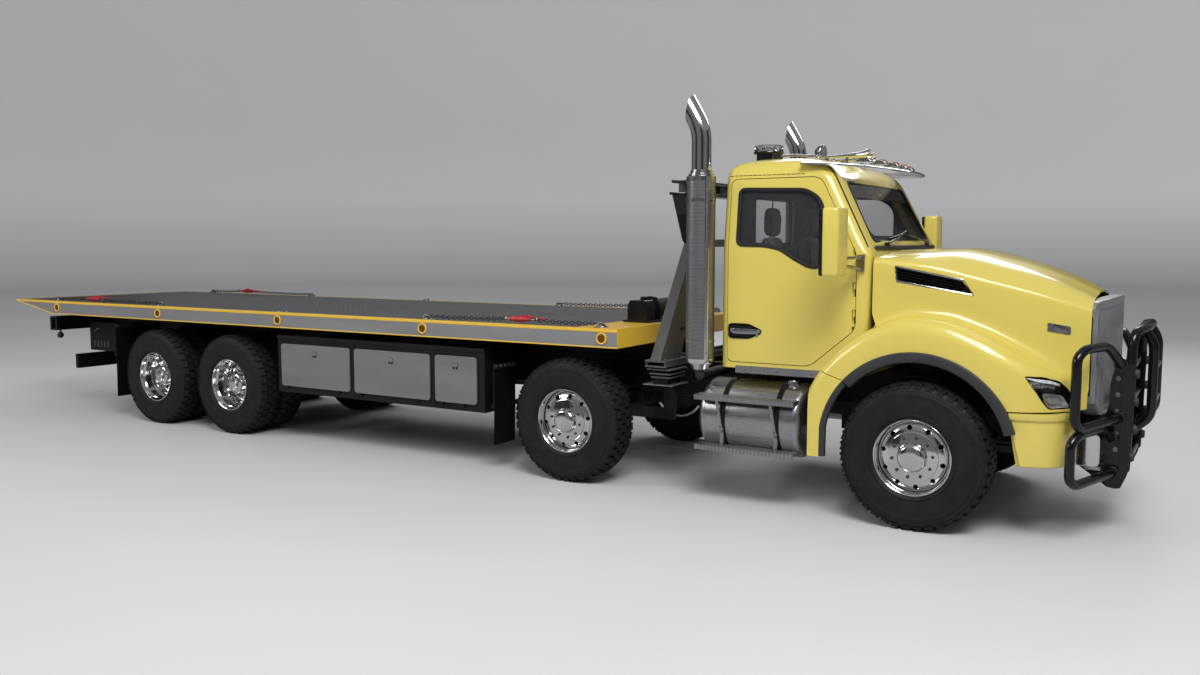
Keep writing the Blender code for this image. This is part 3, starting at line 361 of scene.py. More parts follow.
def plate_look(name, color, metallic, rough, pitch):
    """Chequer plate: short raised bars on a square grid, turned one way and then the other."""
    made = look(name, color, metallic, rough)
    position = made.coords((1.0 / pitch, 1.0 / pitch, 1.0 / pitch), (0, 0, math.radians(45)))
    split = made.node("ShaderNodeSeparateXYZ")
    made.link(position, split.inputs[0])
    u, v = split.outputs["X"], split.outputs["Y"]
    cell = made.math("ADD", made.math("FLOOR", u), made.math("FLOOR", v))
    odd = made.math("ABSOLUTE", made.math("MODULO", cell, 2.0))
    fu = made.math("SUBTRACT", made.math("FRACT", u), 0.5)
    fv = made.math("SUBTRACT", made.math("FRACT", v), 0.5)

    def bar(long, short):
        a = made.math("DIVIDE", long, 0.46)
        b = made.math("DIVIDE", short, 0.15)
        square = made.math("ADD", made.math("MULTIPLY", a, a), made.math("MULTIPLY", b, b))
        return made.math("SUBTRACT", 1.0, square, clamp=True)

    one, two = bar(fu, fv), bar(fv, fu)
    height = made.math(
        "ADD", made.math("MULTIPLY", one, odd), made.math("MULTIPLY", two, made.math("SUBTRACT", 1.0, odd)),
    )
    raised = made.math("POWER", height, 0.5)
    worn = made.noise(1.3, 6.0)
    flat = made.mix_color(
        made.span(worn, 0.3, 0.7, 0.0, 1.0), tuple(c * 0.8 for c in color), tuple(c * 1.15 for c in color),
    )
    made.link(
        made.mix_color(raised, flat, tuple(min(1.0, c * 1.7) for c in color)),
        made.shader.inputs["Base Color"],
    )
    made.vary_rough(worn, rough - 0.05, rough + 0.10)
    made.bump(raised, 0.004, 0.8)


plate_look("deck_plate", (0.17, 0.17, 0.175), 0.75, 0.34, 0.055)
plate_look("step_plate", (0.33, 0.33, 0.335), 0.9, 0.36, 0.022)


SHIELD_R = 0.1175


def screen_look(name, color, pitch, hole, around_x, around_y):
    """Perforated sheet wrapped round an upright pipe."""
    made = look(name, color, 0.9, 0.3)
    split = made.node("ShaderNodeSeparateXYZ")
    made.link(made.coords(), split.inputs[0])
    dx = made.math("SUBTRACT", split.outputs["X"], around_x)
    dy = made.math("SUBTRACT", split.outputs["Y"], around_y)
    angle = made.math("MULTIPLY", made.math("ARCTAN2", dy, dx), SHIELD_R / pitch)
    row = made.math("DIVIDE", split.outputs["Z"], pitch)
    # The holes are painted dark, 0.22 of the sheet's colour, as painted shade inside the shield
    made.holes(angle, row, hole, 0.05, color, tuple(0.22 * c for c in color), 0.0012, 0.35)
    made.vary_rough(made.noise(8.0, 2.0), 0.30, 0.36)


def mesh_look():
    """The grille's fine black mesh."""
    made = look("grille_mesh", (0.05, 0.05, 0.052), 0.6, 0.4)
    split = made.node("ShaderNodeSeparateXYZ")
    made.link(made.coords((70.0, 70.0, 70.0)), split.inputs[0])
    # The holes are painted near black, as painted shade behind the mesh
    made.holes(
        split.outputs["Y"], split.outputs["Z"], 0.35, 0.05,
        (0.10, 0.10, 0.105), (0.004, 0.004, 0.004), 0.003, 0.8,
    )
    made.vary_rough(made.noise(20.0, 2.0), 0.3, 0.5)


mesh_look()

# Shape helpers: each returns points and faces, with X measured from the front axle


def g_loft(rings, caps=True, closed=True):
    n = len(rings[0])
    points = [tuple(p) for ring in rings for p in ring]
    faces = []
    for i in range(len(rings) - 1):
        for j in range(n if closed else n - 1):
            k = (j + 1) % n
            faces.append((i * n + j, i * n + k, (i + 1) * n + k, (i + 1) * n + j))
    if caps:
        faces.append(tuple(range(n - 1, -1, -1)))
        faces.append(tuple((len(rings) - 1) * n + j for j in range(n)))
    return points, faces


def g_prism(outline, across, a, b):
    def at(p, t):
        if across == "x":
            return (t, p[0], p[1])
        if across == "y":
            return (p[0], t, p[1])
        return (p[0], p[1], t)

    return g_loft([[at(p, a) for p in outline], [at(p, b) for p in outline]])


def g_box(x, y, z):
    return g_prism([(x[0], z[0]), (x[1], z[0]), (x[1], z[1]), (x[0], z[1])], "y", y[0], y[1])


def g_tube(path, radius, n=12, caps=True):
    path = [Vector(p) for p in path]
    radii = radius if isinstance(radius, (list, tuple)) else [radius] * len(path)
    first = (path[1] - path[0]).normalized()
    guide = Vector((0, 0, 1)) if abs(first.z) < 0.9 else Vector((1, 0, 0))
    side = first.cross(guide).normalized()
    rings = []
    for i, point in enumerate(path):
        before = (path[i] - path[i - 1]).normalized() if i else first
        after = (path[i + 1] - path[i]).normalized() if i + 1 < len(path) else before
        normal = (before + after).normalized()
        if i:
            side = (side - before * side.dot(before)).normalized()
        up = before.cross(side)
        ring = []
        for j in range(n):
            a = 2 * math.pi * (j + 0.5) / n
            away = side * (radii[i] * math.cos(a)) + up * (radii[i] * math.sin(a))
            away -= before * (away.dot(normal) / before.dot(normal))
            ring.append(point + away)
        rings.append(ring)
        side = (side - after * side.dot(after)).normalized()
    return g_loft(rings, caps)


def g_rod(a, b, radius, n=16):
    return g_tube([a, b], radius, n)


def g_turn(profile, origin, axis, n=32, turn=0.0):
    """Turns (radius, distance along the axis) pairs about an axis; an end at radius 0 closes itself."""
    axis = Vector(axis).normalized()
    guide = Vector((0, 0, 1)) if abs(axis.z) < 0.9 else Vector((1, 0, 0))
    u = axis.cross(guide).normalized()
    v = axis.cross(u)
    origin = Vector(origin)
    points, faces, index = [], [], []
    for r, t in profile:
        if r < 1e-7:
            index.append([len(points)] * n)
            points.append(tuple(origin + axis * t))
            continue
        row = []
        for j in range(n):
            a = 2 * math.pi * j / n + turn
            row.append(len(points))
            points.append(tuple(origin + axis * t + u * (r * math.cos(a)) + v * (r * math.sin(a))))
        index.append(row)
    for one, two in zip(index, index[1:]):
        for j in range(n):
            k = (j + 1) % n
            corners = []
            for c in (one[j], one[k], two[k], two[j]):
                if c not in corners:
                    corners.append(c)
            if len(corners) > 2:
                faces.append(tuple(corners))
    return points, faces


def rounded(path, radius, steps=5):
    """The path with each inner corner rounded."""
    path = [Vector(p) for p in path]
    out = [path[0]]
    for before, here, after in zip(path, path[1:], path[2:]):
        a, b = before - here, after - here
        reach = min(radius, 0.45 * a.length, 0.45 * b.length)
        p, q = here + a.normalized() * reach, here + b.normalized() * reach
        for k in range(steps + 1):
            t = k / steps
            out.append(p * (1 - t) ** 2 + here * (2 * t * (1 - t)) + q * t * t)
    out.append(path[-1])
    return out


def rounded_loop(loop, radius, steps=4):
    """A closed outline in 2-D with its corners rounded."""
    loop = [Vector((p[0], p[1])) for p in loop]
    out = []
    for i, here in enumerate(loop):
        a, b = loop[i - 1] - here, loop[(i + 1) % len(loop)] - here
        reach = min(radius, 0.45 * a.length, 0.45 * b.length)
        p, q = here + a.normalized() * reach, here + b.normalized() * reach
        for k in range(steps + 1):
            t = k / steps
            c = p * (1 - t) ** 2 + here * (2 * t * (1 - t)) + q * t * t
            out.append((c.x, c.y))
    return out


def rounded_box(x, z, radius, steps=4):
    """A rectangle between two x and two z with its corners rounded."""
    return rounded_loop([(x[0], z[0]), (x[1], z[0]), (x[1], z[1]), (x[0], z[1])], radius, steps)


def curve_at(rows, x):
    """Smooth value at x from (x, value) rows, by cubic pieces that don't overshoot."""
    if x <= rows[0][0]:
        return rows[0][1]
    if x >= rows[-1][0]:
        return rows[-1][1]

    def slope(i):
        if i <= 0 or i >= len(rows) - 1:
            j = 0 if i <= 0 else len(rows) - 2
            return (rows[j + 1][1] - rows[j][1]) / (rows[j + 1][0] - rows[j][0])
        left = (rows[i][1] - rows[i - 1][1]) / (rows[i][0] - rows[i - 1][0])
        right = (rows[i + 1][1] - rows[i][1]) / (rows[i + 1][0] - rows[i][0])
        if left * right <= 0:
            return 0.0
        return 2 * left * right / (left + right)

    for i in range(len(rows) - 1):
        x0, v0 = rows[i]
        x1, v1 = rows[i + 1]
        if x <= x1:
            h = x1 - x0
            t = (x - x0) / h
            a, b = slope(i) * h, slope(i + 1) * h
            return (
                v0 * (2 * t**3 - 3 * t**2 + 1)
                + a * (t**3 - 2 * t**2 + t)
                + v1 * (-2 * t**3 + 3 * t**2)
                + b * (t**3 - t**2)
            )
    return rows[-1][1]


class Build:
    """Collects shells into one piece with one or several looks."""

    def __init__(self):
        self.points, self.faces, self.slots, self.names = [], [], [], []

    def add(self, shape, name):
        points, faces = shape
        if name not in self.names:
            self.names.append(name)
        k = len(self.points)
        self.points += [tuple(p) for p in points]
        self.faces += [tuple(i + k for i in f) for f in faces]
        self.slots += [self.names.index(name)] * len(faces)
        return self

    def make(self, name, rides, smooth=35, bevel=0.0, segments=2):
        """The piece as an object: welded, faces outward, edges rounded, riding a body if one is named."""
        mesh = bpy.data.meshes.new(name)
        mesh.from_pydata([(x + AXLE_X, y, z) for x, y, z in self.points], [], self.faces)
        for slot_name in self.names:
            mesh.materials.append(LOOKS[slot_name].mat)
        mesh.polygons.foreach_set("material_index", self.slots)
        bm = bmesh.new()
        bm.from_mesh(mesh)
        bmesh.ops.remove_doubles(bm, verts=bm.verts, dist=1e-5)
        bmesh.ops.recalc_face_normals(bm, faces=bm.faces)
        bm.to_mesh(mesh)
        bm.free()
        obj = bpy.data.objects.new(name, mesh)
        bpy.context.scene.collection.objects.link(obj)
        if bevel:
            round_edges(obj, bevel, segments, 38)
        mesh.polygons.foreach_set("use_smooth", [True] * len(mesh.polygons))
        mesh.set_sharp_from_angle(angle=math.radians(smooth))
        if rides:
            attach(obj, rides)
        return obj


def round_edges(obj, width, segments, angle):
    made = obj.modifiers.new("edge", "BEVEL")
    made.width = width
    made.segments = segments
    made.limit_method = "ANGLE"
    made.angle_limit = math.radians(angle)
    made.harden_normals = True


def one(name, shape, finish, rides, **options):
    return Build().add(shape, finish).make(name, rides, **options)


def both_sides():
    return (("L", 1), ("R", -1))


# Stage: a pale round floor that rises to a wall, out of every camera's reach

FLOOR_R, WALL_BEND, WALL_TOP = 46.0, 9.0, 26.0


def make_stage():
    floor_look = look("floor", (0.66, 0.66, 0.665), 0.0, 0.5)
    pale = floor_look.vary_color(floor_look.noise(0.25, 3.0), 0.985, 1.01)
    floor_look.shader.inputs["Specular IOR Level"].default_value = 0.25
    # The far wall is paler where the camera sees it. In mirror reflections only, the floor and wall are
    # painted darker, and the wall gets dark bands as painted reflections of studio flags
    path = floor_look.node("ShaderNodeLightPath")
    split = floor_look.node("ShaderNodeSeparateXYZ")
    floor_look.link(floor_look.coords(), split.inputs[0])
    high = floor_look.span(split.outputs["Z"], 0.0, 4.5, 0.0, 1.0)
    across = floor_look.span(split.outputs["X"], -60.0, 20.0, 0.10, 0.20)
    through = floor_look.math("MAXIMUM", path.outputs["Is Camera Ray"], path.outputs["Is Transmission Ray"])
    seen = floor_look.math("MULTIPLY", through, high)
    floor_look.shader.inputs["Emission Color"].default_value = (1.0, 1.0, 1.0, 1)
    floor_look.link(floor_look.math("MULTIPLY", seen, across), floor_look.shader.inputs["Emission Strength"])
    angle = floor_look.math("ARCTAN2", split.outputs["Y"], split.outputs["X"])
    wave = floor_look.math("SINE", floor_look.math("MULTIPLY", angle, 5.0))
    painted_flag_bands = floor_look.math(
        "MULTIPLY", floor_look.span(wave, 0.1, 0.5, 0.0, 1.0),
        floor_look.span(split.outputs["Z"], 0.5, 2.0, 0.0, 0.9),
    )
    # Painted reflection: glossy rays see the floor and wall darkened towards black, more so in the flag bands
    dark = floor_look.math(
        "MULTIPLY", path.outputs["Is Glossy Ray"], floor_look.math("MAXIMUM", painted_flag_bands, 0.42), clamp=True,
    )
    floor_look.link(
        floor_look.mix_color(dark, pale, (0.01, 0.01, 0.01)), floor_look.shader.inputs["Base Color"],
    )
    profile = [(0.0, 0.0), (20.0, 0.0), (FLOOR_R, 0.0)]
    for k in range(1, 11):
        a = math.radians(9 * k)
        profile.append((FLOOR_R + WALL_BEND * math.sin(a), WALL_BEND - WALL_BEND * math.cos(a)))
    profile.append((FLOOR_R + WALL_BEND, WALL_TOP))
    obj = one("floor", g_turn(profile, (0, 0, 0), (0, 0, 1), 96), "floor", None, smooth=60)


make_stage()

world = bpy.data.worlds.new("studio")
world.use_nodes = True
sky = world.node_tree.nodes["Background"]
sky.inputs["Color"].default_value = (0.95, 0.97, 1.0, 1)
sky_path = world.node_tree.nodes.new("ShaderNodeLightPath")
sky_power = world.node_tree.nodes.new("ShaderNodeMapRange")
sky_power.inputs["To Min"].default_value = 0.50
sky_power.inputs["To Max"].default_value = 0.22
world.node_tree.links.new(sky_path.outputs["Is Glossy Ray"], sky_power.inputs["Value"])
world.node_tree.links.new(sky_power.outputs["Result"], sky.inputs["Strength"])
bpy.context.scene.world = world


def area(name, place, target, size, power):
    data = bpy.data.lights.new(name, "AREA")
    data.shape = "RECTANGLE"
    data.size, data.size_y = size
    data.energy = power
    lamp = bpy.data.objects.new(name, data)
    bpy.context.scene.collection.objects.link(lamp)
    lamp.location = place
    lamp.rotation_euler = (Vector(target) - Vector(place)).to_track_quat("-Z", "Y").to_euler()


area("key", (9.0, -9.0, 12.0), (1.0, 0.0, 0.5), (7.0, 5.0), 1580.0)
area("side", (-9.0, -11.0, 8.0), (-1.0, 0.0, 0.8), (6.0, 4.0), 500.0)
area("back", (2.0, 12.0, 9.0), (0.0, 0.0, 1.0), (9.0, 4.0), 500.0)

# Wheels: each is made once round the origin with its outside towards +Y, then placed eight times

BEAD_R = 0.2866
PITCHES = 40
HUB_NUTS, CAP_BOLTS = 10, 8


def tyre_shape(width):
    half = 0.5 * width
    side = [
        (BEAD_R, half - 0.022), (0.296, half - 0.011), (0.306, half - 0.006), (0.309, half - 0.001),
        (0.316, half - 0.001), (0.320, half - 0.006), (0.345, half - 0.004), (0.380, half - 0.0005),
        (0.420, half - 0.0005), (0.455, half - 0.004), (0.4600, half - 0.002), (0.4680, half - 0.003),
        (0.4720, half - 0.007), (0.498, half - 0.012), (0.516, half - 0.020), (0.528, half - 0.032),
        (0.5325, half - 0.055),
    ]
    profile = side + [(0.534, 0.0)] + [(r, -t) for r, t in reversed(side)] + [side[0]]
    build = Build().add(g_turn(profile, (0, 0, 0), (0, 1, 0), 72), "tyre_rubber")

    def block(angle, outline, tops, low):
        points = []
        for (along, across), top in zip(outline, tops):
            a = angle + along / TYRE_R
            points.append((top * math.sin(a), across, top * math.cos(a)))
        for along, across in outline:
            a = angle + 1.06 * along / TYRE_R
            points.append((low * math.sin(a), across * 1.02, low * math.cos(a)))
        n = len(outline)
        faces = [tuple(range(n))]
        faces += [(j, (j + 1) % n, n + (j + 1) % n, n + j) for j in range(n)]
        build.add((points, faces), "tyre_rubber")

    edge = half - 0.014
    row_c = 0.23 * width
    for k in range(PITCHES):
        angle = 2 * math.pi * k / PITCHES
        half_step = math.pi / PITCHES
        for s in (1, -1):
            mid = [
                (-0.034, 0.008), (-0.004, 0.003), (0.033, 0.009), (0.036, row_c - 0.007),
                (0.004, row_c - 0.001), (-0.032, row_c - 0.009),
            ]
            outline = [(a * s, c * s) for a, c in mid]
            block(angle + (half_step if s > 0 else 0.0), outline, [TYRE_R] * 6, 0.529)
            shoulder = [
                (-0.031, row_c + 0.004), (0.003, row_c + 0.011), (0.034, row_c + 0.005),
                (0.031, half - 0.036), (0.026, edge), (-0.024, edge), (-0.029, half - 0.036),
            ]
            outline = [(a * s, c * s) for a, c in shoulder]
            tops = [TYRE_R, TYRE_R, TYRE_R, TYRE_R - 0.001, TYRE_R - 0.022, TYRE_R - 0.022, TYRE_R - 0.001]
            block(angle + (0.0 if s > 0 else half_step), outline, tops, 0.512)
    return build


def around_hub(count, radius, shift=0.0):
    """Even places round the wheel's axis."""
    angles = [2 * math.pi * (k + shift) / count for k in range(count)]
    return [(radius * math.sin(a), 0, radius * math.cos(a)) for a in angles]


def nuts(build, radius, t, finish, size, height):
    for k, at in enumerate(around_hub(HUB_NUTS, radius)):
        stud = [(size * 1.25, t - 0.004), (size * 1.25, t + 0.003), (size, t + 0.005), (size, t + height)]
        build.add(g_turn(
            stud + [(size * 0.62, t + height + 0.003), (0, t + height + 0.003)], at, (0, 1, 0), 6, 0.3 * k,
        ), finish)
        build.add(g_turn(
            [(size * 0.5, t + height), (size * 0.5, t + height + 0.009), (0, t + height + 0.010)], at,
            (0, 1, 0), 10,
        ), finish)


def rim_holes(obj, radius, size, low, high):
    """Cuts a ring of round hand holes through a wheel disc, one between each pair of nuts."""
    tool = Build()
    for at in around_hub(HUB_NUTS, radius, 0.5):
        tool.add(g_turn([(0, low), (size, low), (size, high), (0, high)], at, (0, 1, 0), 16), "chrome")
    carve(obj, tool.make("cutter", None))


def carve(obj, *tools, operation="DIFFERENCE", smooth=35):
    """Cuts a piece with each tool in turn, or keeps what lies inside the tool, and removes the tools."""
    for tool in tools:
        made = obj.modifiers.new("cut", "BOOLEAN")
        made.operation = operation
        made.solver = "EXACT"
        made.object = tool
    bpy.context.view_layer.update()
    mesh = bpy.data.meshes.new_from_object(obj.evaluated_get(bpy.context.evaluated_depsgraph_get()))
    obj.modifiers.clear()
    obj.data = mesh
    for tool in tools:
        bpy.data.objects.remove(tool, do_unlink=True)
    mesh.polygons.foreach_set("use_smooth", [True] * len(mesh.polygons))
    mesh.set_sharp_from_angle(angle=math.radians(smooth))
    return obj


def single_rim():
    face = [
        (0.2585, 0.060), (0.2620, 0.100), (0.2690, 0.128), (0.2735, 0.1405), (0.2790, 0.1445),
        (0.2845, 0.1430), (0.2862, 0.1370), (0.2862, -0.1375), (0.2640, -0.1375), (0.2560, -0.060),
        (0.2500, 0.045), (0.1300, 0.078), (0.0, 0.078), (0.0, 0.1815), (0.050, 0.1800), (0.080, 0.1755),
        (0.097, 0.1665), (0.105, 0.153), (0.107, 0.138), (0.111, 0.1300), (0.118, 0.1280),
        (0.181, 0.1270), (0.1870, 0.1240), (0.1895, 0.1160), (0.1980, 0.1130), (0.2260, 0.1070),
        (0.2400, 0.0950), (0.2480, 0.0780), (0.2540, 0.0620), (0.2585, 0.060),
    ]
    obj = Build().add(g_turn(face, (0, 0, 0), (0, 1, 0), 64), "chrome").make("rim_single", None, smooth=30)
    rim_holes(obj, 0.2205, 0.0185, 0.03, 0.14)
    extra = Build()
    nuts(extra, 0.1495, 0.127, "cast_iron", 0.0105, 0.010)
    extra.add(g_turn(
        [(0.0, 0.02), (0.245, 0.03), (0.245, -0.06), (0.20, -0.10), (0.0, -0.11)], (0, 0, 0), (0, 1, 0), 32,
    ), "cast_iron")
    valve = [(0.238, 0.070), (0.243, 0.115), (0.243, 0.125)]
    extra.add(g_tube([(r * 0.8, t, r * 0.6) for r, t in valve], 0.004, 8), "bare_steel")
    return obj, extra.make("rim_single_parts", None)


def dual_rim():
    face = [
        (0.2862, -0.135), (0.2862, 0.1290), (0.2845, 0.1340), (0.2790, 0.1355), (0.2740, 0.1330),
        (0.2690, 0.1200), (0.2640, 0.0950), (0.2520, 0.0800), (0.2490, 0.0200), (0.2470, 0.0020),
        (0.2410, -0.0080), (0.2390, -0.0900), (0.2300, -0.1060), (0.2120, -0.1130), (0.1600, -0.1160),
        (0.1350, -0.1120), (0.1130, -0.1050), (0.1110, 0.0300), (0.1070, 0.0480), (0.0960, 0.0560),
        (0.0660, 0.0590), (0.0640, 0.0780), (0.0590, 0.0860), (0.0480, 0.0885), (0.0, 0.0900),
        (0.0, -0.1330), (0.2862, -0.135),
    ]
    obj = Build().add(g_turn(face, (0, 0, 0), (0, 1, 0), 64), "chrome").make("rim_dual", None, smooth=30)
    rim_holes(obj, 0.2020, 0.0200, -0.16, -0.08)
    extra = Build()
    nuts(extra, 0.1620, -0.1155, "satin_chrome", 0.0150, 0.018)
    for at in around_hub(CAP_BOLTS, 0.084):
        extra.add(g_turn([(0.007, 0.054), (0.007, 0.064), (0.0, 0.0655)], at, (0, 1, 0), 6), "satin_chrome")
    extra.add(g_turn([
        (0.2862, -0.20), (0.2862, -0.485), (0.262, -0.485), (0.256, -0.40), (0.250, -0.20), (0.2862, -0.20),
    ], (0, 0, 0), (0, 1, 0), 40), "satin_chrome")
    extra.add(g_turn(
        [(0.0, -0.25), (0.205, -0.25), (0.215, -0.27), (0.215, -0.46), (0.205, -0.47), (0.0, -0.475)],
        (0, 0, 0), (0, 1, 0), 32,
    ), "cast_iron")
    return obj, extra.make("rim_dual_parts", None)


def put_copy(source, name, x, y, s, turn, rides, *nodes):
    """A copy of a wheel piece, turned in its mesh, so that its box stays square to the axes."""
    mesh = source.data.copy()
    mesh.transform(Matrix.Rotation(turn, 4, "Y"))
    obj = bpy.data.objects.new(name, mesh)
    bpy.context.scene.collection.objects.link(obj)
    obj.location = (x + AXLE_X, y, TYRE_R)
    obj.rotation_euler = (0, 0, 0 if s > 0 else math.pi)
    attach(obj, rides)
    if nodes:
        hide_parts(*nodes)


def centred(obj):
    """Moves a mesh made about the front axle so that it turns about the origin."""
    for vertex in obj.data.vertices:
        vertex.co.x -= AXLE_X
    return obj


SINGLE_W, DUAL_W = 0.315, 0.299
tyre_single = centred(tyre_shape(SINGLE_W).make("tyre_single", None, smooth=32))
tyre_dual = centred(tyre_shape(DUAL_W).make("tyre_dual", None, smooth=32))
rim_one = [centred(o) for o in single_rim()]
rim_two = [centred(o) for o in dual_rim()]

SINGLE_Y, OUTER_Y, INNER_Y = 1.1075, 1.1155, 0.7815


def any_turn():
    return draw.uniform(0, 2 * math.pi)


def put_single(place, x, side, s):
    rides, turn = "wheel_%s_%s" % (place, side), any_turn()
    end = "%s_%s" % (place, side)
    put_copy(tyre_single, "tread_" + end, x, s * SINGLE_Y, s, any_turn(), rides, "tyre_" + end)
    put_copy(rim_one[0], "wheel_disc_" + end, x, s * SINGLE_Y, s, turn, rides, "rim_" + end)
    put_copy(rim_one[1], "wheel_nuts_" + end, x, s * SINGLE_Y, s, turn, rides)


def put_dual(row, x, side, s):
    rides, turn = "wheel_%s_%s" % (row, side), any_turn()
    end = "%s_%s" % (row, side)
    put_copy(tyre_dual, "tread_outer_" + end, x, s * OUTER_Y, s, any_turn(), rides, "dual_" + end)
    put_copy(tyre_dual, "tread_inner_" + end, x, s * INNER_Y, s, any_turn(), rides)
    put_copy(rim_two[0], "wheel_disc_" + end, x, s * OUTER_Y, s, turn, rides)
    put_copy(rim_two[1], "wheel_nuts_" + end, x, s * OUTER_Y, s, turn, rides)


for side, s in both_sides():
    put_single("front", 0.0, side, s)
    put_single("pusher", PUSHER_X, side, s)
    put_dual("drive1", DRIVE_X[0], side, s)
    put_dual("drive2", DRIVE_X[1], side, s)

for source in [tyre_single, tyre_dual] + rim_one + rim_two:
    bpy.data.objects.remove(source, do_unlink=True)

# Deck: yellow edges over the grey rails, chequer plate, lamps, chains and the winch

DECK_BACK, DECK_FRONT, DECK_HALF = -11.54, -2.48, 1.275
DECK_LOW, DECK_TOP, EDGE_TOP = 1.22, 1.38, 1.3835
TAPER_X, PLATE_X = -10.75, -2.90
LAMP_X = (-2.633, -4.633, -6.633, -8.634, -10.634)

edges = Build()
for s in (1, -1):
    out = s * (DECK_HALF + 0.003)
    top = [
        (DECK_BACK, 1.366), (DECK_BACK, EDGE_TOP), (DECK_FRONT, EDGE_TOP), (DECK_FRONT, 1.354),
        (TAPER_X, 1.354), (-11.15, 1.357),
    ]
    edges.add(g_prism(top, "y", s * 1.225, out), "deck_yellow")
    low = [
        (TAPER_X, DECK_LOW - 0.002), (DECK_FRONT, DECK_LOW - 0.002), (DECK_FRONT, DECK_LOW + 0.011),
        (TAPER_X, DECK_LOW + 0.011),
    ]
    low += [(DECK_BACK + 0.02, 1.3745), (DECK_BACK, 1.3625)]
    edges.add(g_prism(low, "y", s * 1.262, out), "deck_yellow")
edges.add(g_box((DECK_BACK - 0.002, DECK_BACK + 0.055), (-1.226, 1.226), (1.366, EDGE_TOP)), "deck_yellow")
edges.make("deck_edges", "deck", bevel=0.004)

front = Build()
nose = [
    (PLATE_X, EDGE_TOP), (PLATE_X, 1.3865), (DECK_FRONT + 0.004, 1.3865),
    (DECK_FRONT + 0.004, DECK_LOW), (DECK_FRONT + 0.0005, DECK_LOW), (DECK_FRONT + 0.0005, EDGE_TOP),
]
for a, b in ((-DECK_HALF - 0.003, -0.45), (0.45, DECK_HALF + 0.003)):
    front.add(g_prism(nose, "y", a, b), "deck_yellow")
front.add(g_box((PLATE_X, DECK_FRONT + 0.004), (-0.4499, 0.4499), (1.3842, 1.3862)), "deck_plate")
front.make("deck_front_plate", "deck", bevel=0.002)

one(
    "deck_tread_plate",
    g_box((DECK_BACK + 0.056, PLATE_X - 0.001), (-1.2245, 1.2245), (DECK_TOP + 0.0003, DECK_TOP + 0.003)),
    "deck_plate", "deck",
)

lamps = Build()
glows = Build()
for s in (1, -1):
    for x in LAMP_X:
        at = (x, s * (DECK_HALF + 0.001), 1.301)
        ring = [(0.038, 0.0), (0.038, 0.010), (0.041, 0.0125), (0.049, 0.0125), (0.052, 0.009), (0.052, 0.0)]
        lamps.add(g_turn(ring, at, (0, s, 0), 40), "deck_yellow")
        lamps.add(g_turn([(0.0, 0.001), (0.038, 0.001)], at, (0, s, 0), 40), "satin_chrome")
        lens = [(0.0375, 0.002), (0.0365, 0.008), (0.030, 0.0115), (0.016, 0.0135), (0.0, 0.014)]
        glows.add(g_turn(lens, at, (0, s, 0), 32), "lens_dark_amber")
lamps.make("deck_lamp_rings", "deck", smooth=40)
glows.make("deck_lamp_lenses", "deck", smooth=50)

# Tie points: a pressed dish with a ring in each

TIE_X = (-10.76, -8.73, -6.70, -4.69, -2.70)
TIE_Y, TIE_RING_R = 1.165, 0.038

ties = Build()
for s in (1, -1):
    for x in TIE_X:
        z = DECK_TOP + (0.0035 if x < PLATE_X else 0.0068)
        dish = [(0.070, 0.0), (0.067, 0.004), (0.058, 0.004), (0.050, 0.001), (0.0, 0.0005)]
        ties.add(g_turn(dish, (x, s * TIE_Y, z), (0, 0, 1), 28), "bare_steel")
        ring = []
        for k in range(21):
            a = 2 * math.pi * k / 20
            across = s * TIE_Y + TIE_RING_R * math.sin(a)
            ring.append((x + TIE_RING_R * math.cos(a), across, z + 0.012 + 0.010 * math.sin(a)))
        ties.add(g_tube(ring, 0.0065, 8, caps=False), "bare_steel")
        ties.add(g_box((x - 0.018, x + 0.018), (s * 1.121, s * 1.137), (z, z + 0.020)), "bare_steel")
ties.make("deck_tie_points", "deck", smooth=40)


def chain_link(center, along, up, long, wide, wire, turned, n=6, steps=5):
    side = along.cross(up).normalized()
    across = up if turned else side
    half, r = 0.5 * (long - wide), 0.5 * wide
    path = []
    for k in range(steps + 1):
        a = -math.pi / 2 + math.pi * k / steps
        path.append(center + along * (half + r * math.cos(a)) + across * (r * math.sin(a)))
    for k in range(steps + 1):
        a = math.pi / 2 + math.pi * k / steps
        path.append(center + along * (-half + r * math.cos(a)) + across * (r * math.sin(a)))
    path.append(path[0])
    return g_tube(path, wire, n, caps=False)


def chain(build, start, end, finish, long=0.042, wide=0.028, wire=0.0045, sag=0.0):
    start, end = Vector(start), Vector(end)
    span = end - start
    count = max(2, int(span.length / (long * 0.78)))
    along = span.normalized()
    up = Vector((0, 0, 1))
    for k in range(count + 1):
        t = k / count
        drop = -4 * sag * t * (1 - t)
        build.add(chain_link(start + span * t + up * drop, along, up, long, wide, wire, k % 2 == 1), finish)


def hook(build, at, toward, finish):
    at = Vector(at)
    d = Vector(toward).normalized()
    up = Vector((0, 0, 1))
    line = (
        (0.055, 0.004), (0.02, 0.010), (-0.018, 0.014), (-0.038, 0.002), (-0.030, -0.012), (-0.008, -0.016),
    )
    path = rounded([at + d * along + up * lift for along, lift in line], 0.02, 3)
    build.add(g_tube(path, [0.008] * 2 + [0.010] * (len(path) - 4) + [0.007, 0.004], 8), finish)


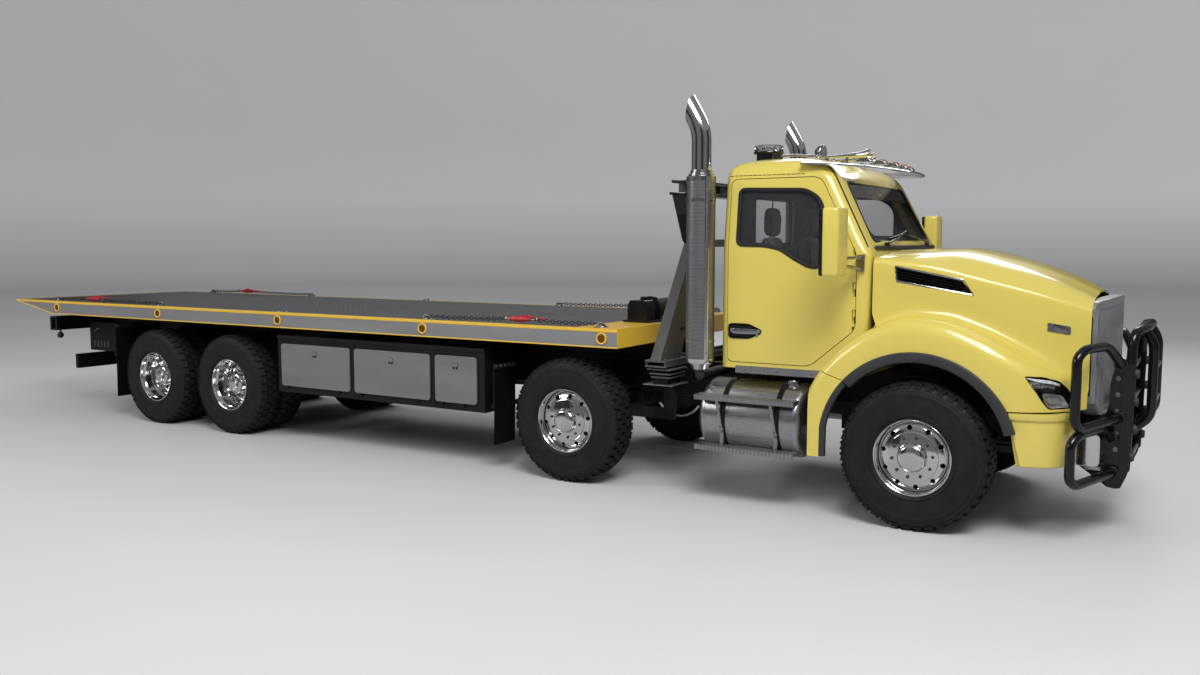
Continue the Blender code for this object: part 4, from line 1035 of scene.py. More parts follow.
chains = Build()
binders = Build()
for s in (1, -1):
    for rear, fore, mid in ((TIE_X[0], TIE_X[1], -10.02), (TIE_X[3], TIE_X[4], -3.57)):
        z = DECK_TOP + 0.040
        y = s * TIE_Y
        z_fore = z if fore < PLATE_X else z + 0.004
        hook(chains, (rear, y, z - 0.012), (1, 0, 0), "bare_steel")
        hook(chains, (fore, y, z_fore - 0.012), (-1, 0, 0), "bare_steel")
        lo, hi = mid - 0.19, mid + 0.19
        chain(chains, (rear + 0.06, y, z - 0.008), (lo, y, z), "chain_steel", sag=0.006)
        chain(chains, (hi, y, z), (fore - 0.06, y, z_fore - 0.008), "chain_steel", sag=0.006)
        body_path = [
            (0.013, -0.115), (0.021, -0.108), (0.021, -0.06), (0.026, -0.055), (0.026, 0.055),
            (0.021, 0.06), (0.021, 0.108), (0.013, 0.115),
        ]
        binders.add(g_turn(body_path, (mid, y, z + 0.004), (1, 0, 0), 14), "binder_red")
        binders.add(g_rod((mid - 0.17, y, z + 0.003), (mid + 0.17, y, z + 0.003), 0.010, 10), "bare_steel")
        handle = [
            (mid - 0.02, y - s * 0.018, z + 0.02), (mid + 0.02, y - s * 0.030, z + 0.036),
            (mid + 0.15, y - s * 0.034, z + 0.016), (mid + 0.26, y - s * 0.034, z + 0.006),
        ]
        binders.add(g_tube(rounded(handle, 0.03, 3), 0.010, 10), "binder_red")
        for e in (-1, 1):
            eye = []
            for k in range(15):
                a = 2 * math.pi * k / 14
                eye.append((mid + e * 0.17 + 0.018 * math.cos(a), y, z + 0.003 + 0.016 * math.sin(a)))
            binders.add(g_tube(eye, 0.006, 8, caps=False), "bare_steel")
chains.make("deck_chains", "deck", smooth=50)
binders.make("chain_binders", "deck", smooth=40)

# Winch: base, side plates, drum with wire rope, gearbox and motor housing

WINCH_X, WINCH_BASE_Z = -2.70, 1.3868
ROPE_TURNS, ROPE_R = 26, 0.076

z0 = WINCH_BASE_Z
drum_z = z0 + 0.118
winch = Build()
winch.add(g_box((-2.84, -2.56), (-0.56, 0.56), (z0 - 0.0005, z0 + 0.018)), "frame_black")
for s in (1, -1):
    plate = [
        (-2.83, z0), (-2.57, z0), (-2.57, z0 + 0.10), (-2.62, z0 + 0.225), (-2.78, z0 + 0.225),
        (-2.83, z0 + 0.10),
    ]
    winch.add(g_prism(plate, "y", s * 0.305, s * 0.327), "frame_black")
    winch.add(g_turn(
        [(0.0, 0.0), (0.075, 0.0), (0.08, 0.004), (0.08, 0.030), (0.07, 0.036), (0.0, 0.036)],
        (WINCH_X, s * 0.327, drum_z), (0, s, 0), 28,
    ), "gloss_black")
    winch.add(g_turn(
        [(0.068, 0.0), (0.112, 0.0), (0.114, 0.005), (0.112, 0.010), (0.068, 0.010)],
        (WINCH_X, s * 0.285, drum_z), (0, s, 0), 28,
    ), "frame_black")
box_shape = [
    (-2.80, z0 + 0.004), (-2.60, z0 + 0.004), (-2.60, z0 + 0.15), (-2.625, z0 + 0.20), (-2.775, z0 + 0.20),
    (-2.80, z0 + 0.15),
]
winch.add(g_prism(box_shape, "y", -0.545, -0.365), "gloss_black")
winch.add(g_rod((WINCH_X, 0.363, drum_z), (WINCH_X, 0.535, drum_z), 0.055, 20), "gloss_black")
for k in range(6):
    winch.add(g_turn(
        [(0.055, 0.0), (0.063, 0.001), (0.063, 0.007), (0.055, 0.008)],
        (WINCH_X, 0.385 + 0.022 * k, drum_z), (0, 1, 0), 20,
    ), "gloss_black")
winch.make("winch_body", "deck", bevel=0.003, smooth=38)
rope = Build()
path = []
for k in range(ROPE_TURNS * 14 + 1):
    a = 2 * math.pi * k / 14
    along = -0.272 + 0.544 * k / (ROPE_TURNS * 14)
    path.append((WINCH_X + ROPE_R * math.sin(a), along, drum_z + ROPE_R * math.cos(a)))
rope.add(g_tube(path, 0.0095, 6), "chain_steel")
rope.add(g_rod((WINCH_X, -0.285, drum_z), (WINCH_X, 0.285, drum_z), 0.068, 20), "frame_black")
rope.make("winch_drum", "deck", smooth=50)
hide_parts("winch")

# Hood: one smooth skin whose cross-sections come from heights and widths along X

# Along X: the crown's height, then the height and half width of the shoulder crease and of the fender
CROWN_Z = [(-0.355, 2.06), (0.10, 2.07), (0.50, 1.99), (0.85, 1.87), (1.10, 1.75)]
SHOULDER_Z = [(-0.355, 1.985), (0.0, 1.95), (0.40, 1.85), (0.80, 1.74), (1.10, 1.64)]
SHOULDER_Y = [(-0.355, 1.005), (0.0, 0.958), (0.40, 0.89), (0.80, 0.81), (1.10, 0.71)]
FENDER_Z = [
    (-0.81, 1.02), (-0.76, 1.11), (-0.68, 1.21), (-0.55, 1.34), (-0.36, 1.47), (-0.08, 1.565),
    (0.15, 1.545),
]
FENDER_Z += [(0.40, 1.46), (0.60, 1.36), (0.80, 1.25), (0.95, 1.17), (1.05, 1.10), (1.10, 1.05)]
FENDER_Y = [
    (-0.81, 1.215), (0.50, 1.222), (0.70, 1.19), (0.85, 1.12), (0.95, 1.03), (1.05, 0.89), (1.10, 0.80),
]
HOOD_BACK, HOOD_FRONT, FENDER_BACK = -0.355, 1.10, -0.81
FENDER_LOW = 0.475
ARCH_Z, ARCH_R = 0.60, 0.72
ARCH_BACK, ARCH_FRONT, NOSE_LOW = -0.708, 0.635, 0.94
SKIN = 0.018
SPLIT = ((-0.40, 1.032), (-0.90, 1.196))
WHOLE_WIDTH = (-1.5, 1.5)


def spline(points, steps):
    """A smooth line through points of any dimension, paced by the distance between them."""
    points = [Vector(p) for p in points]
    padded = [points[0] * 2 - points[1]] + points + [points[-1] * 2 - points[-2]]
    out = []
    for p0, p1, p2, p3 in zip(padded, padded[1:], padded[2:], padded[3:]):
        t1 = max((p1 - p0).length, 1e-6) ** 0.5
        t2 = t1 + max((p2 - p1).length, 1e-6) ** 0.5
        t3 = t2 + max((p3 - p2).length, 1e-6) ** 0.5
        for k in range(steps):
            t = t1 + (t2 - t1) * k / steps
            a1 = p0 * ((t1 - t) / t1) + p1 * (t / t1)
            a2 = p1 * ((t2 - t) / (t2 - t1)) + p2 * ((t - t1) / (t2 - t1))
            a3 = p2 * ((t3 - t) / (t3 - t2)) + p3 * ((t - t2) / (t3 - t2))
            b1 = a1 * ((t2 - t) / t2) + a2 * (t / t2)
            b2 = a2 * ((t3 - t) / (t3 - t1)) + a3 * ((t - t1) / (t3 - t1))
            out.append(b1 * ((t2 - t) / (t2 - t1)) + b2 * ((t - t1) / (t2 - t1)))
    out.append(points[-1])
    return out


def g_skin(grid, depth_a, depth_b):
    """A closed sheet between two depths below a grid of points whose normals are rows x columns."""
    rows, cols = len(grid), len(grid[0])

    def layer(depth):
        out = []
        for i in range(rows):
            for j in range(cols):
                du = grid[min(i + 1, rows - 1)][j] - grid[max(i - 1, 0)][j]
                dv = grid[i][min(j + 1, cols - 1)] - grid[i][max(j - 1, 0)]
                normal = du.cross(dv).normalized()
                out.append(grid[i][j] - normal * depth)
        return out

    points = layer(depth_a) + layer(depth_b)
    n = rows * cols
    faces = []
    for i in range(rows - 1):
        for j in range(cols - 1):
            a, b, c, d = i * cols + j, (i + 1) * cols + j, (i + 1) * cols + j + 1, i * cols + j + 1
            faces += [(a, b, c, d), (d + n, c + n, b + n, a + n)]
    edge = [i * cols for i in range(rows)] + [(rows - 1) * cols + j for j in range(1, cols)]
    edge += [i * cols + cols - 1 for i in range(rows - 2, -1, -1)] + list(range(cols - 2, 0, -1))
    for a, b in zip(edge, edge[1:] + edge[:1]):
        faces.append((a, a + n, b + n, b))
    return [tuple(p) for p in points], faces


def fender_part(x):
    """The outer half of a fender section, from near its top down to its lower edge."""
    top, out = curve_at(FENDER_Z, x), curve_at(FENDER_Y, x)
    k = min(1.0, max(0.25, (out - curve_at(SHOULDER_Y, x)) / 0.23))
    return [
        (out - 0.100 * k, top), (out - 0.045 * k, top - 0.020), (out - 0.012 * k, top - 0.075),
        (out, top - 0.150), (out + 0.001, top - 0.26),
        (out, min(FENDER_LOW, top - 0.40)),
    ]


def hood_half(x):
    top, crease, wide = curve_at(CROWN_Z, x), curve_at(SHOULDER_Z, x), curve_at(SHOULDER_Y, x)
    fender_top, out = curve_at(FENDER_Z, x), curve_at(FENDER_Y, x)
    bulge = 0.010 * max(0.0, min(1.0, (x - 0.2) / 0.7))
    half = [
        (0.0, top), (wide * 0.30, top - 0.003), (wide * 0.46, top - 0.008 - bulge),
        (wide * 0.76, 0.66 * top + 0.34 * crease - bulge * 0.3), (wide * 0.945, crease + 0.022),
        (wide * 0.985, crease + 0.002), (wide * 1.000, crease - 0.030),
    ]
    drop = crease - 0.03 - (fender_top + 0.03)
    half.append((wide + 0.006, crease - 0.03 - 0.45 * drop))
    half.append((wide + 0.012, fender_top + 0.03 + 0.14 * drop))
    half.append((wide + 0.12 * (out - wide), fender_top + 0.028))
    half.append((wide + 0.34 * (out - wide), fender_top + 0.006))
    return half + fender_part(x)


def hood_section(x, steps=4):
    half = spline([Vector((y, z)) for y, z in hood_half(x)], steps)
    line = [Vector((x, -p.x, p.y)) for p in reversed(half[1:])]
    return line + [Vector((x, p.x, p.y)) for p in half]


def steps_between(a, b, count):
    return [a + (b - a) * k / count for k in range(count + 1)]


def lean_back(row):
    """Brings the hood's rear edge closer to the cab at its sides, where the cab's front doesn't bow."""
    for p in row:
        side_share = min(1.0, (abs(p.y) / 0.9) ** 2)
        above_fender = max(0.0, min(1.0, (p.z - 1.50) / 0.08))
        near_edge = max(0.0, min(1.0, (-0.20 - p.x) / 0.155))
        p.x -= 0.032 * side_share * above_fender * near_edge
    return row


hood_grid = [lean_back(hood_section(x)) for x in steps_between(HOOD_BACK, HOOD_FRONT, 64)]


def rear_grid(s):
    grid = []
    for x in steps_between(FENDER_BACK, HOOD_BACK + 0.001, 30):
        top = curve_at(FENDER_Z, x)
        line = [(1.0585, top - 0.020), (1.075, top - 0.004)] + fender_part(x)
        row = [Vector((x, s * p.x, p.y)) for p in spline([Vector(q) for q in line], 4)]
        grid.append(row if s > 0 else list(reversed(row)))
    return grid


def cutter(shape):
    """A shape to carve with."""
    return one("cutter", shape, "cab_yellow", None)


def arc(center, radius, a, b, count):
    """Points on an arc in the X-Z plane, with angles in degrees from +X towards +Z."""
    out = []
    for k in range(count + 1):
        t = math.radians(a + (b - a) * k / count)
        out.append((center[0] + radius * math.cos(t), center[1] + radius * math.sin(t)))
    return out


rear_angle = math.degrees(math.acos(ARCH_BACK / ARCH_R))
front_angle = math.degrees(math.acos(ARCH_FRONT / ARCH_R))
arch_outline = [(ARCH_BACK, 0.30)] + arc(
    (0, ARCH_Z), ARCH_R, rear_angle, front_angle, 56,
) + [(1.30, NOSE_LOW), (1.30, 0.30)]


def arch_cutter():
    return cutter(g_prism(arch_outline, "y", *WHOLE_WIDTH))


def split_area(lift):
    line = [(x, z + lift) for x, z in SPLIT]
    return g_prism(line + [(-0.95, 0.20), (-0.35, 0.20)], "y", *WHOLE_WIDTH)


LAMP_OUTLINE = [
    (0.735, 1.192), (0.85, 1.186), (0.945, 1.152), (1.003, 1.085), (1.026, 1.0), (1.018, 0.958),
    (0.888, 0.958), (0.856, 1.0), (0.812, 1.078),
]
VENT_OUTLINE = [(-0.231, 1.947), (0.255, 1.850), (0.336, 1.727), (-0.216, 1.820)]
VENT_DEPTHS = ((0.045, 0.050), (0.019, 0.045))

hood = Build().add(g_skin(hood_grid, 0.0, SKIN), "cab_yellow").make("hood_panel", None)
lamp_prisms = [cutter(g_prism(rounded_loop(LAMP_OUTLINE, 0.02, 3), "y", s * 0.70, s * 1.4)) for s in (1, -1)]
vent_prisms = [cutter(g_prism(rounded_loop(VENT_OUTLINE, 0.014, 4), "y", s * 0.80, s * 1.1)) for s in (1, -1)]
carve(hood, arch_cutter(), *lamp_prisms, *vent_prisms, smooth=40)
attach(hood, "hood")
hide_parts("hood")

for side, s in both_sides():
    rear = Build().add(g_skin(rear_grid(s), 0.0, SKIN), "cab_yellow").make("fender_rear_" + side, None)
    carve(rear, arch_cutter(), cutter(split_area(0.003)), smooth=40)
    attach(rear, "hood")
    low = Build().add(g_skin(rear_grid(s), 0.0, SKIN), "cab_yellow").make("quarter_panel_" + side, None)
    carve(low, arch_cutter(), smooth=40)
    carve(low, cutter(split_area(-0.003)), operation="INTERSECT", smooth=40)
    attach(low, "chassis")
    one(
        "quarter_arm_" + side, g_box((-0.795, -0.765), (s * 0.471, s * 1.20), (0.93, 0.99)), "frame_black",
        "chassis", bevel=0.004,
    )
    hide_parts("quarter_fender_" + side)


def swept(path, section):
    """A closed section of (outward from the arch, y) pairs carried along points with outward directions."""
    rings = []
    for (x, z), (nx, nz) in path:
        rings.append([(x + nx * r, y, z + nz * r) for r, y in section])
    return g_loft(rings)


def arch_path(a, b, count):
    out = []
    for k in range(count + 1):
        t = math.radians(a + (b - a) * k / count)
        out.append(((ARCH_R * math.cos(t), ARCH_Z + ARCH_R * math.sin(t)), (math.cos(t), math.sin(t))))
    return out


SPLIT_ANGLE = 138.6
FLARE_END = 15.0
for side, s in both_sides():
    thick = [
        (0.003, 1.170), (0.003, 1.222), (0.001, 1.232), (-0.006, 1.238), (-0.030, 1.240), (-0.058, 1.237),
        (-0.070, 1.231), (-0.0765, 1.218), (-0.0765, 1.165), (-0.068, 1.160), (-0.066, 1.212),
        (-0.054, 1.226), (-0.010, 1.227), (-0.007, 1.170),
    ]
    path = arch_path(SPLIT_ANGLE - 0.4, FLARE_END, 60)
    one("arch_flare_" + side, swept(path, [(r, s * y) for r, y in thick]), "flare_plastic", "hood", smooth=35)
    thin = [
        (0.004, 1.185), (0.004, 1.218), (-0.004, 1.222), (-0.036, 1.219), (-0.042, 1.212), (-0.042, 1.185),
        (-0.036, 1.180),
    ]
    turn_at = 171.0
    down = arch_path(SPLIT_ANGLE + 0.6, turn_at, 16)
    x_end = ARCH_R * math.cos(math.radians(turn_at))
    down += [
        ((x_end - 0.001, 0.64), (-1, 0)), ((x_end - 0.002, 0.56), (-1, 0)),
        ((x_end - 0.002, 0.482), (-1, 0)),
    ]
    one("arch_lip_" + side, swept(down, [(r, s * y) for r, y in thin]), "flare_plastic", "chassis", smooth=35)
    liner = []
    for angle in steps_between(136.0, 24.0, 40):
        t = math.radians(angle)
        wave = 0.004 * math.sin(angle * 0.9)
        ring = []
        for y, r in ((0.62, 0.716 + wave), (1.20, 0.716 + wave), (1.20, 0.711 + wave), (0.62, 0.711 + wave)):
            ring.append((r * math.cos(t), s * y, ARCH_Z + r * math.sin(t)))
        liner.append(ring)
    one("wheel_house_" + side, g_loft(liner), "frame_black", "hood", smooth=50)

# Side vents: grey frame, dark slats


def hood_y(x, z):
    """Width of the hood's side at a height, by its section there."""
    line = hood_half(x)
    for (y0, z0), (y1, z1) in zip(line[4:], line[5:]):
        if z1 <= z <= z0:
            return y0 + (y1 - y0) * (z0 - z) / max(z0 - z1, 1e-6)
    return line[6][0]


for side, s in both_sides():
    frame_build = Build()
    outer = rounded_loop(VENT_OUTLINE, 0.014, 4)
    cx = sum(p[0] for p in outer) / len(outer)
    cz = sum(p[1] for p in outer) / len(outer)
    inner = [(x * 0.955 + 0.045 * cx, z - 0.013 if z > cz else z + 0.013) for x, z in VENT_OUTLINE]
    rings = [[], [], [], [], []]
    for (x, z), (xi, zi) in zip(outer, rounded_loop(inner, 0.010, 4)):
        y = hood_y(x, z)
        rings[0].append((x, s * (y - 0.020), z))
        rings[1].append((x, s * (y + 0.003), z))
        rings[2].append((0.3 * xi + 0.7 * x, s * (y + 0.006), 0.3 * zi + 0.7 * z))
        rings[3].append((xi, s * (y + 0.003), zi))
        rings[4].append((xi, s * (y - 0.020), zi))
    frame_build.add(g_loft(rings, caps=False), "satin_chrome")
    frame_build.make("vent_frame_" + side, "hood", smooth=50)
    slats = Build()
    for k in range(5):
        drop = 0.016 + 0.0205 * k
        line = [(-0.215, 1.944 - drop), (0.262, 1.846 - drop)]
        rings = []
        for x, z in line:
            y = hood_y(x, z)
            blade = ((0.030, 0.010), (0.010, -0.004), (0.010, -0.008), (0.030, 0.006))
            rings.append([(x, s * (y - inward), z + lift) for inward, lift in blade])
        slats.add(g_loft(rings), "gloss_black")
    floor, pocket = [
        [[(x, s * (hood_y(x, z) - d), z) for x, z in VENT_OUTLINE] for d in pair]
        for pair in VENT_DEPTHS
    ]
    slats.add(g_loft(floor), "gasket_rubber")
    slats.add(g_loft(pocket, caps=False), "gasket_rubber")
    slats.make("vent_slats_" + side, "hood")
    plate = []
    corners = rounded_loop([(0.824, 1.546), (0.973, 1.520), (0.973, 1.460), (0.824, 1.486)], 0.008, 3)
    mx, mz = 0.8985, 1.503
    for lift, shrink in ((-0.002, 1.0), (0.006, 1.0), (0.008, 0.97)):
        plate.append([
            (mx + (x - mx) * shrink, s * (hood_y(x, z) + lift), mz + (z - mz) * shrink)
            for x, z in corners
        ])
    one("side_plate_" + side, g_loft(plate), "satin_chrome", "hood")

# Head lamps: a clear cover in the hood's skin, over a black housing with a bright reflector


def skin_y(x):
    return curve_at(FENDER_Y, x)


cover_grid = [hood_section(x, 3) for x in steps_between(0.66, HOOD_FRONT, 22)]
for side, s in both_sides():
    lens = one("lamp_cover_" + side, g_skin(cover_grid, 0.001, 0.0035), "lens_clear", None)
    inner = rounded_loop([(x + (0.9 - x) * 0.012, z + (1.075 - z) * 0.015) for x, z in LAMP_OUTLINE], 0.02, 3)
    carve(lens, cutter(g_prism(inner, "y", s * 0.70, s * 1.4)), operation="INTERSECT", smooth=50)
    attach(lens, "hood")
    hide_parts("headlamp_" + side)

    housing = Build()
    rim = [Vector((x, s * (skin_y(x) - 0.004), z)) for x, z in rounded_loop(LAMP_OUTLINE, 0.02, 3)]
    mid = Vector((0.90, s * 0.98, 1.07))
    back = [p + (mid - p) * 0.12 + Vector((-0.05, -s * 0.07, 0)) for p in rim]
    housing.add(g_loft([rim, back], caps=False), "gloss_black")
    housing.add((back, [tuple(range(len(back)))]), "gloss_black")
    housing.make("lamp_housing_" + side, "hood", smooth=40)

    # Main reflector in the lower half: a bright bowl with a clear projector in it
    bright = Build()
    corner = [(0.858, 1.066), (0.962, 1.050), (1.000, 0.972), (0.898, 0.968), (0.872, 1.008)]
    front_ring = [Vector((x, s * (skin_y(x) - 0.010), z)) for x, z in rounded_loop(corner, 0.012, 3)]
    centre = sum(front_ring, Vector()) / len(front_ring)
    away = Vector((-0.55, -s * 0.80, 0)).normalized()
    rings = [front_ring]
    for pull, depth in ((0.90, 0.018), (0.72, 0.034), (0.45, 0.045), (0.15, 0.050)):
        rings.append([centre + (p - centre) * pull + away * depth for p in front_ring])
    bright.add(g_loft(rings, caps=False), "lamp_silver")
    bright.add(([tuple(p) for p in rings[-1]], [tuple(range(len(front_ring)))]), "lamp_silver")
    lip = [[p + away * 0.002 for p in front_ring]]
    for pull, depth in ((1.06, -0.002), (1.09, 0.012)):
        lip.append([centre + (p - centre) * pull + away * depth for p in front_ring])
    bright.add(g_loft(lip, caps=False), "lamp_silver")
    projector = []
    for pull, depth in ((0.66, 0.032), (0.64, 0.012), (0.56, 0.004), (0.36, -0.001), (0.12, -0.002)):
        projector.append([centre + (p - centre) * pull + away * depth for p in front_ring])
    bright.add(g_loft(projector), "lamp_grey")
    bright.make("lamp_reflector_" + side, "hood", smooth=50)

    # Upper strip: a row of small cut reflectors
    strip = Build()
    for k in range(11):
        x0 = 0.772 + 0.0165 * k
        z_top = 1.176 - 0.0022 * k
        for row in range(2):
            z0 = z_top - 0.022 - 0.030 * row - 0.004 * abs(k - 6)
            if z0 < 1.095:
                continue
            x1 = x0 + 0.0145
            y0, y1 = skin_y(x0) - 0.014, skin_y(x1) - 0.014
            quad = [(x0, s * y0, z0), (x1, s * y1, z0), (x1, s * y1, z0 + 0.024), (x0, s * y0, z0 + 0.024)]
            tip = (x0 + 0.006, s * (y0 - 0.010), z0 + 0.010)
            strip.add((quad + [tip], [(0, 1, 4), (1, 2, 4), (2, 3, 4), (3, 0, 4)]), "satin_chrome")
    glow = [
        (0.752, 1.181, 0.006), (0.80, 1.174, 0.016), (0.86, 1.167, 0.022), (0.905, 1.157, 0.020),
        (0.945, 1.133, 0.008),
    ]
    rings = []
    for x, z, tall in glow:
        y = skin_y(x) - 0.008
        rings.append([
            (x, s * y, z), (x, s * (y + 0.002), z - 0.5 * tall), (x, s * y, z - tall),
            (x, s * (y - 0.006), z - tall), (x, s * (y - 0.006), z),
        ])
    strip.add(g_loft(rings), "lamp_silver")
    strip.make("lamp_strip_" + side, "hood", smooth=10)

# Bumper: painted corners with a ledge, and a bright box between them with a tread top

# Height, how far the section stands out there, and where it ends at the back
BUMPER_PLAN = [(0.80, 1.190), (0.900, 1.155), (0.985, 1.075), (1.030, 0.960), (1.050, 0.860), (1.058, 0.800)]
BUMPER_Z = [
    (0.930, 0.000, 0.648), (0.9295, 0.003, 0.648), (0.892, 0.004, 0.656), (0.884, 0.000, 0.658),
    (0.874, -0.012, 0.660), (0.800, -0.013, 0.678), (0.600, -0.014, 0.728), (0.560, -0.018, 0.740),
    (0.550, -0.030, 0.744),
]

for side, s in both_sides():
    rings = []
    for z, grow, rear in BUMPER_Z:
        outer = spline([(rear, 1.208)] + BUMPER_PLAN, 5)
        ring = []
        for i, p in enumerate(outer):
            along = outer[min(i + 1, len(outer) - 1)] - outer[max(i - 1, 0)]
            ring.append(p + Vector((-along.y, along.x)).normalized() * grow)
        inner = [p + Vector((-0.045, -0.030)) for p in reversed(ring)]
        inner[-1] = Vector((rear + 0.004, ring[0].y - 0.035))
        rings.append([(p.x, s * p.y, z) for p in ring + inner])
    one("bumper_corner_" + side, g_loft(rings), "cab_yellow", "chassis", smooth=32)
    # Splash panel behind the bumper corner
    panel = [(0.70, 0.90), (0.705, 0.90), (0.765, 0.565), (0.760, 0.565)]
    one(
        "splash_panel_" + side, g_prism(panel, "y", s * 0.56, s * 1.165), "frame_black", "chassis",
        bevel=0.002,
    )

box_build = Build()
section = [
    (0.93, 0.535), (1.150, 0.525), (1.185, 0.535), (1.195, 0.560), (1.195, 0.735), (1.185, 0.755),
    (1.165, 0.7625), (0.93, 0.7625),
]
box_build.add(g_prism(section, "y", -0.785, 0.785), "chrome")
box_build.make("bumper_centre", "chassis", bevel=0.004)
one("bumper_tread", g_box((0.94, 1.175), (-0.79, 0.79), (0.763, 0.7665)), "step_plate", "chassis")
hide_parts("bumper")
under = Build()
for s in (1, -1):
    under.add(g_box((0.90, 1.10), (s * 0.25, s * 0.38), (0.58, 0.74)), "frame_black")
    under.add(g_prism(
        [(1.10, 0.53), (1.20, 0.53), (1.205, 0.505), (1.10, 0.505)], "y", s * 0.45, s * 0.785,
    ), "satin_chrome")
under.make("bumper_brackets", "chassis", bevel=0.003)

# Grille: a pointed frame with a fine mesh and upright bars

GRILLE_PLAN = [(1.103, 0.665), (1.120, 0.662), (1.165, 0.52), (1.205, 0.32), (1.232, 0.12), (1.240, 0.0)]


def grille_x(y):
    return curve_at(sorted((abs(q), p) for p, q in GRILLE_PLAN[1:]), abs(y))


def grille_top(y):
    return 1.718 - 0.030 * (abs(y) / 0.66) ** 2 - (0.05 * max(0.0, (abs(y) - 0.60) / 0.065) ** 2)


def grille_low(y):
    return 0.862 + 0.10 * max(0.0, (abs(y) - 0.50) / 0.16) ** 2


grille_ys = steps_between(-0.664, 0.664, 56)
grille = Build()


def grille_band(at_z, height, front, depth, finish, y_list):
    rings = []
    for y in y_list:
        x, z = grille_x(y), at_z(y)
        rings.append([
            (x + front - depth, y, z), (x + front - 0.004, y, z), (x + front, y, z + 0.3 * height),
            (x + front, y, z + 0.7 * height), (x + front - 0.006, y, z + height),
            (x + front - depth, y, z + height),
        ])
    grille.add(g_loft(rings), finish)


grille_band(lambda y: grille_top(y) - 0.055, 0.055, 0.0, 0.10, "grille_plate", grille_ys)
grille_band(grille_low, 0.050, 0.0, 0.10, "grille_plate", grille_ys)
for s in (1, -1):
    x = grille_x(0.625)
    post = [
        (1.103, s * 0.664), (x + 0.004, s * 0.662), (grille_x(0.60), s * 0.605),
        (grille_x(0.60) - 0.03, s * 0.605), (1.103, s * 0.625),
    ]
    grille.add(g_prism(post, "z", grille_low(0.655) + 0.01, grille_top(0.655) - 0.01), "grille_plate")
spine = [(1.17, -0.030), (1.236, -0.030), (1.245, -0.018), (1.245, 0.018), (1.236, 0.030), (1.17, 0.030)]
grille.add(g_prism(spine, "z", grille_low(0) + 0.004, grille_top(0) - 0.002), "grille_plate")
for s in (1, -1):
    for k in range(17):
        y = s * (0.062 + 0.0325 * k)
        x = grille_x(y)
        low, high = grille_low(y) + 0.045, grille_top(y) - 0.05
        grille.add(g_prism([
            (x - 0.040, y - 0.0045), (x - 0.008, y - 0.0045), (x - 0.004, y), (x - 0.008, y + 0.0045),
            (x - 0.040, y + 0.0045),
        ], "z", low, high), "grille_plate")
for z in (1.10, 1.34, 1.55):
    grille_band(lambda y, z=z: z, 0.012, -0.022, 0.02, "gloss_black", [y for y in grille_ys if abs(y) < 0.61])
grille.make("grille_frame", "hood", smooth=35)
mesh_rings = []
for y in grille_ys:
    if abs(y) < 0.62:
        x, low, high = grille_x(y), grille_low(y) + 0.03, grille_top(y) - 0.03
        mesh_rings.append([
            (x - 0.050, y, low), (x - 0.046, y, low), (x - 0.046, y, high), (x - 0.050, y, high),
        ])
one("grille_screen", g_loft(mesh_rings), "grille_mesh", "hood", smooth=50)
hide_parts("grille")
lug_build = Build()
for s in (1, -1):
    lug_build.add(g_box((1.12, 1.16), (s * 0.4373, s * 0.46), (0.782, 0.90)), "frame_black")
    lug_build.add(g_rod((1.14, s * 0.40, 0.80), (1.14, s * 0.45, 0.80), 0.014, 16), "bare_steel")
lug_build.make("hood_hinge_lugs", "hood", bevel=0.002)

# Guard: plates with lightening edges, rounded tubes, bolts and rubber buffers

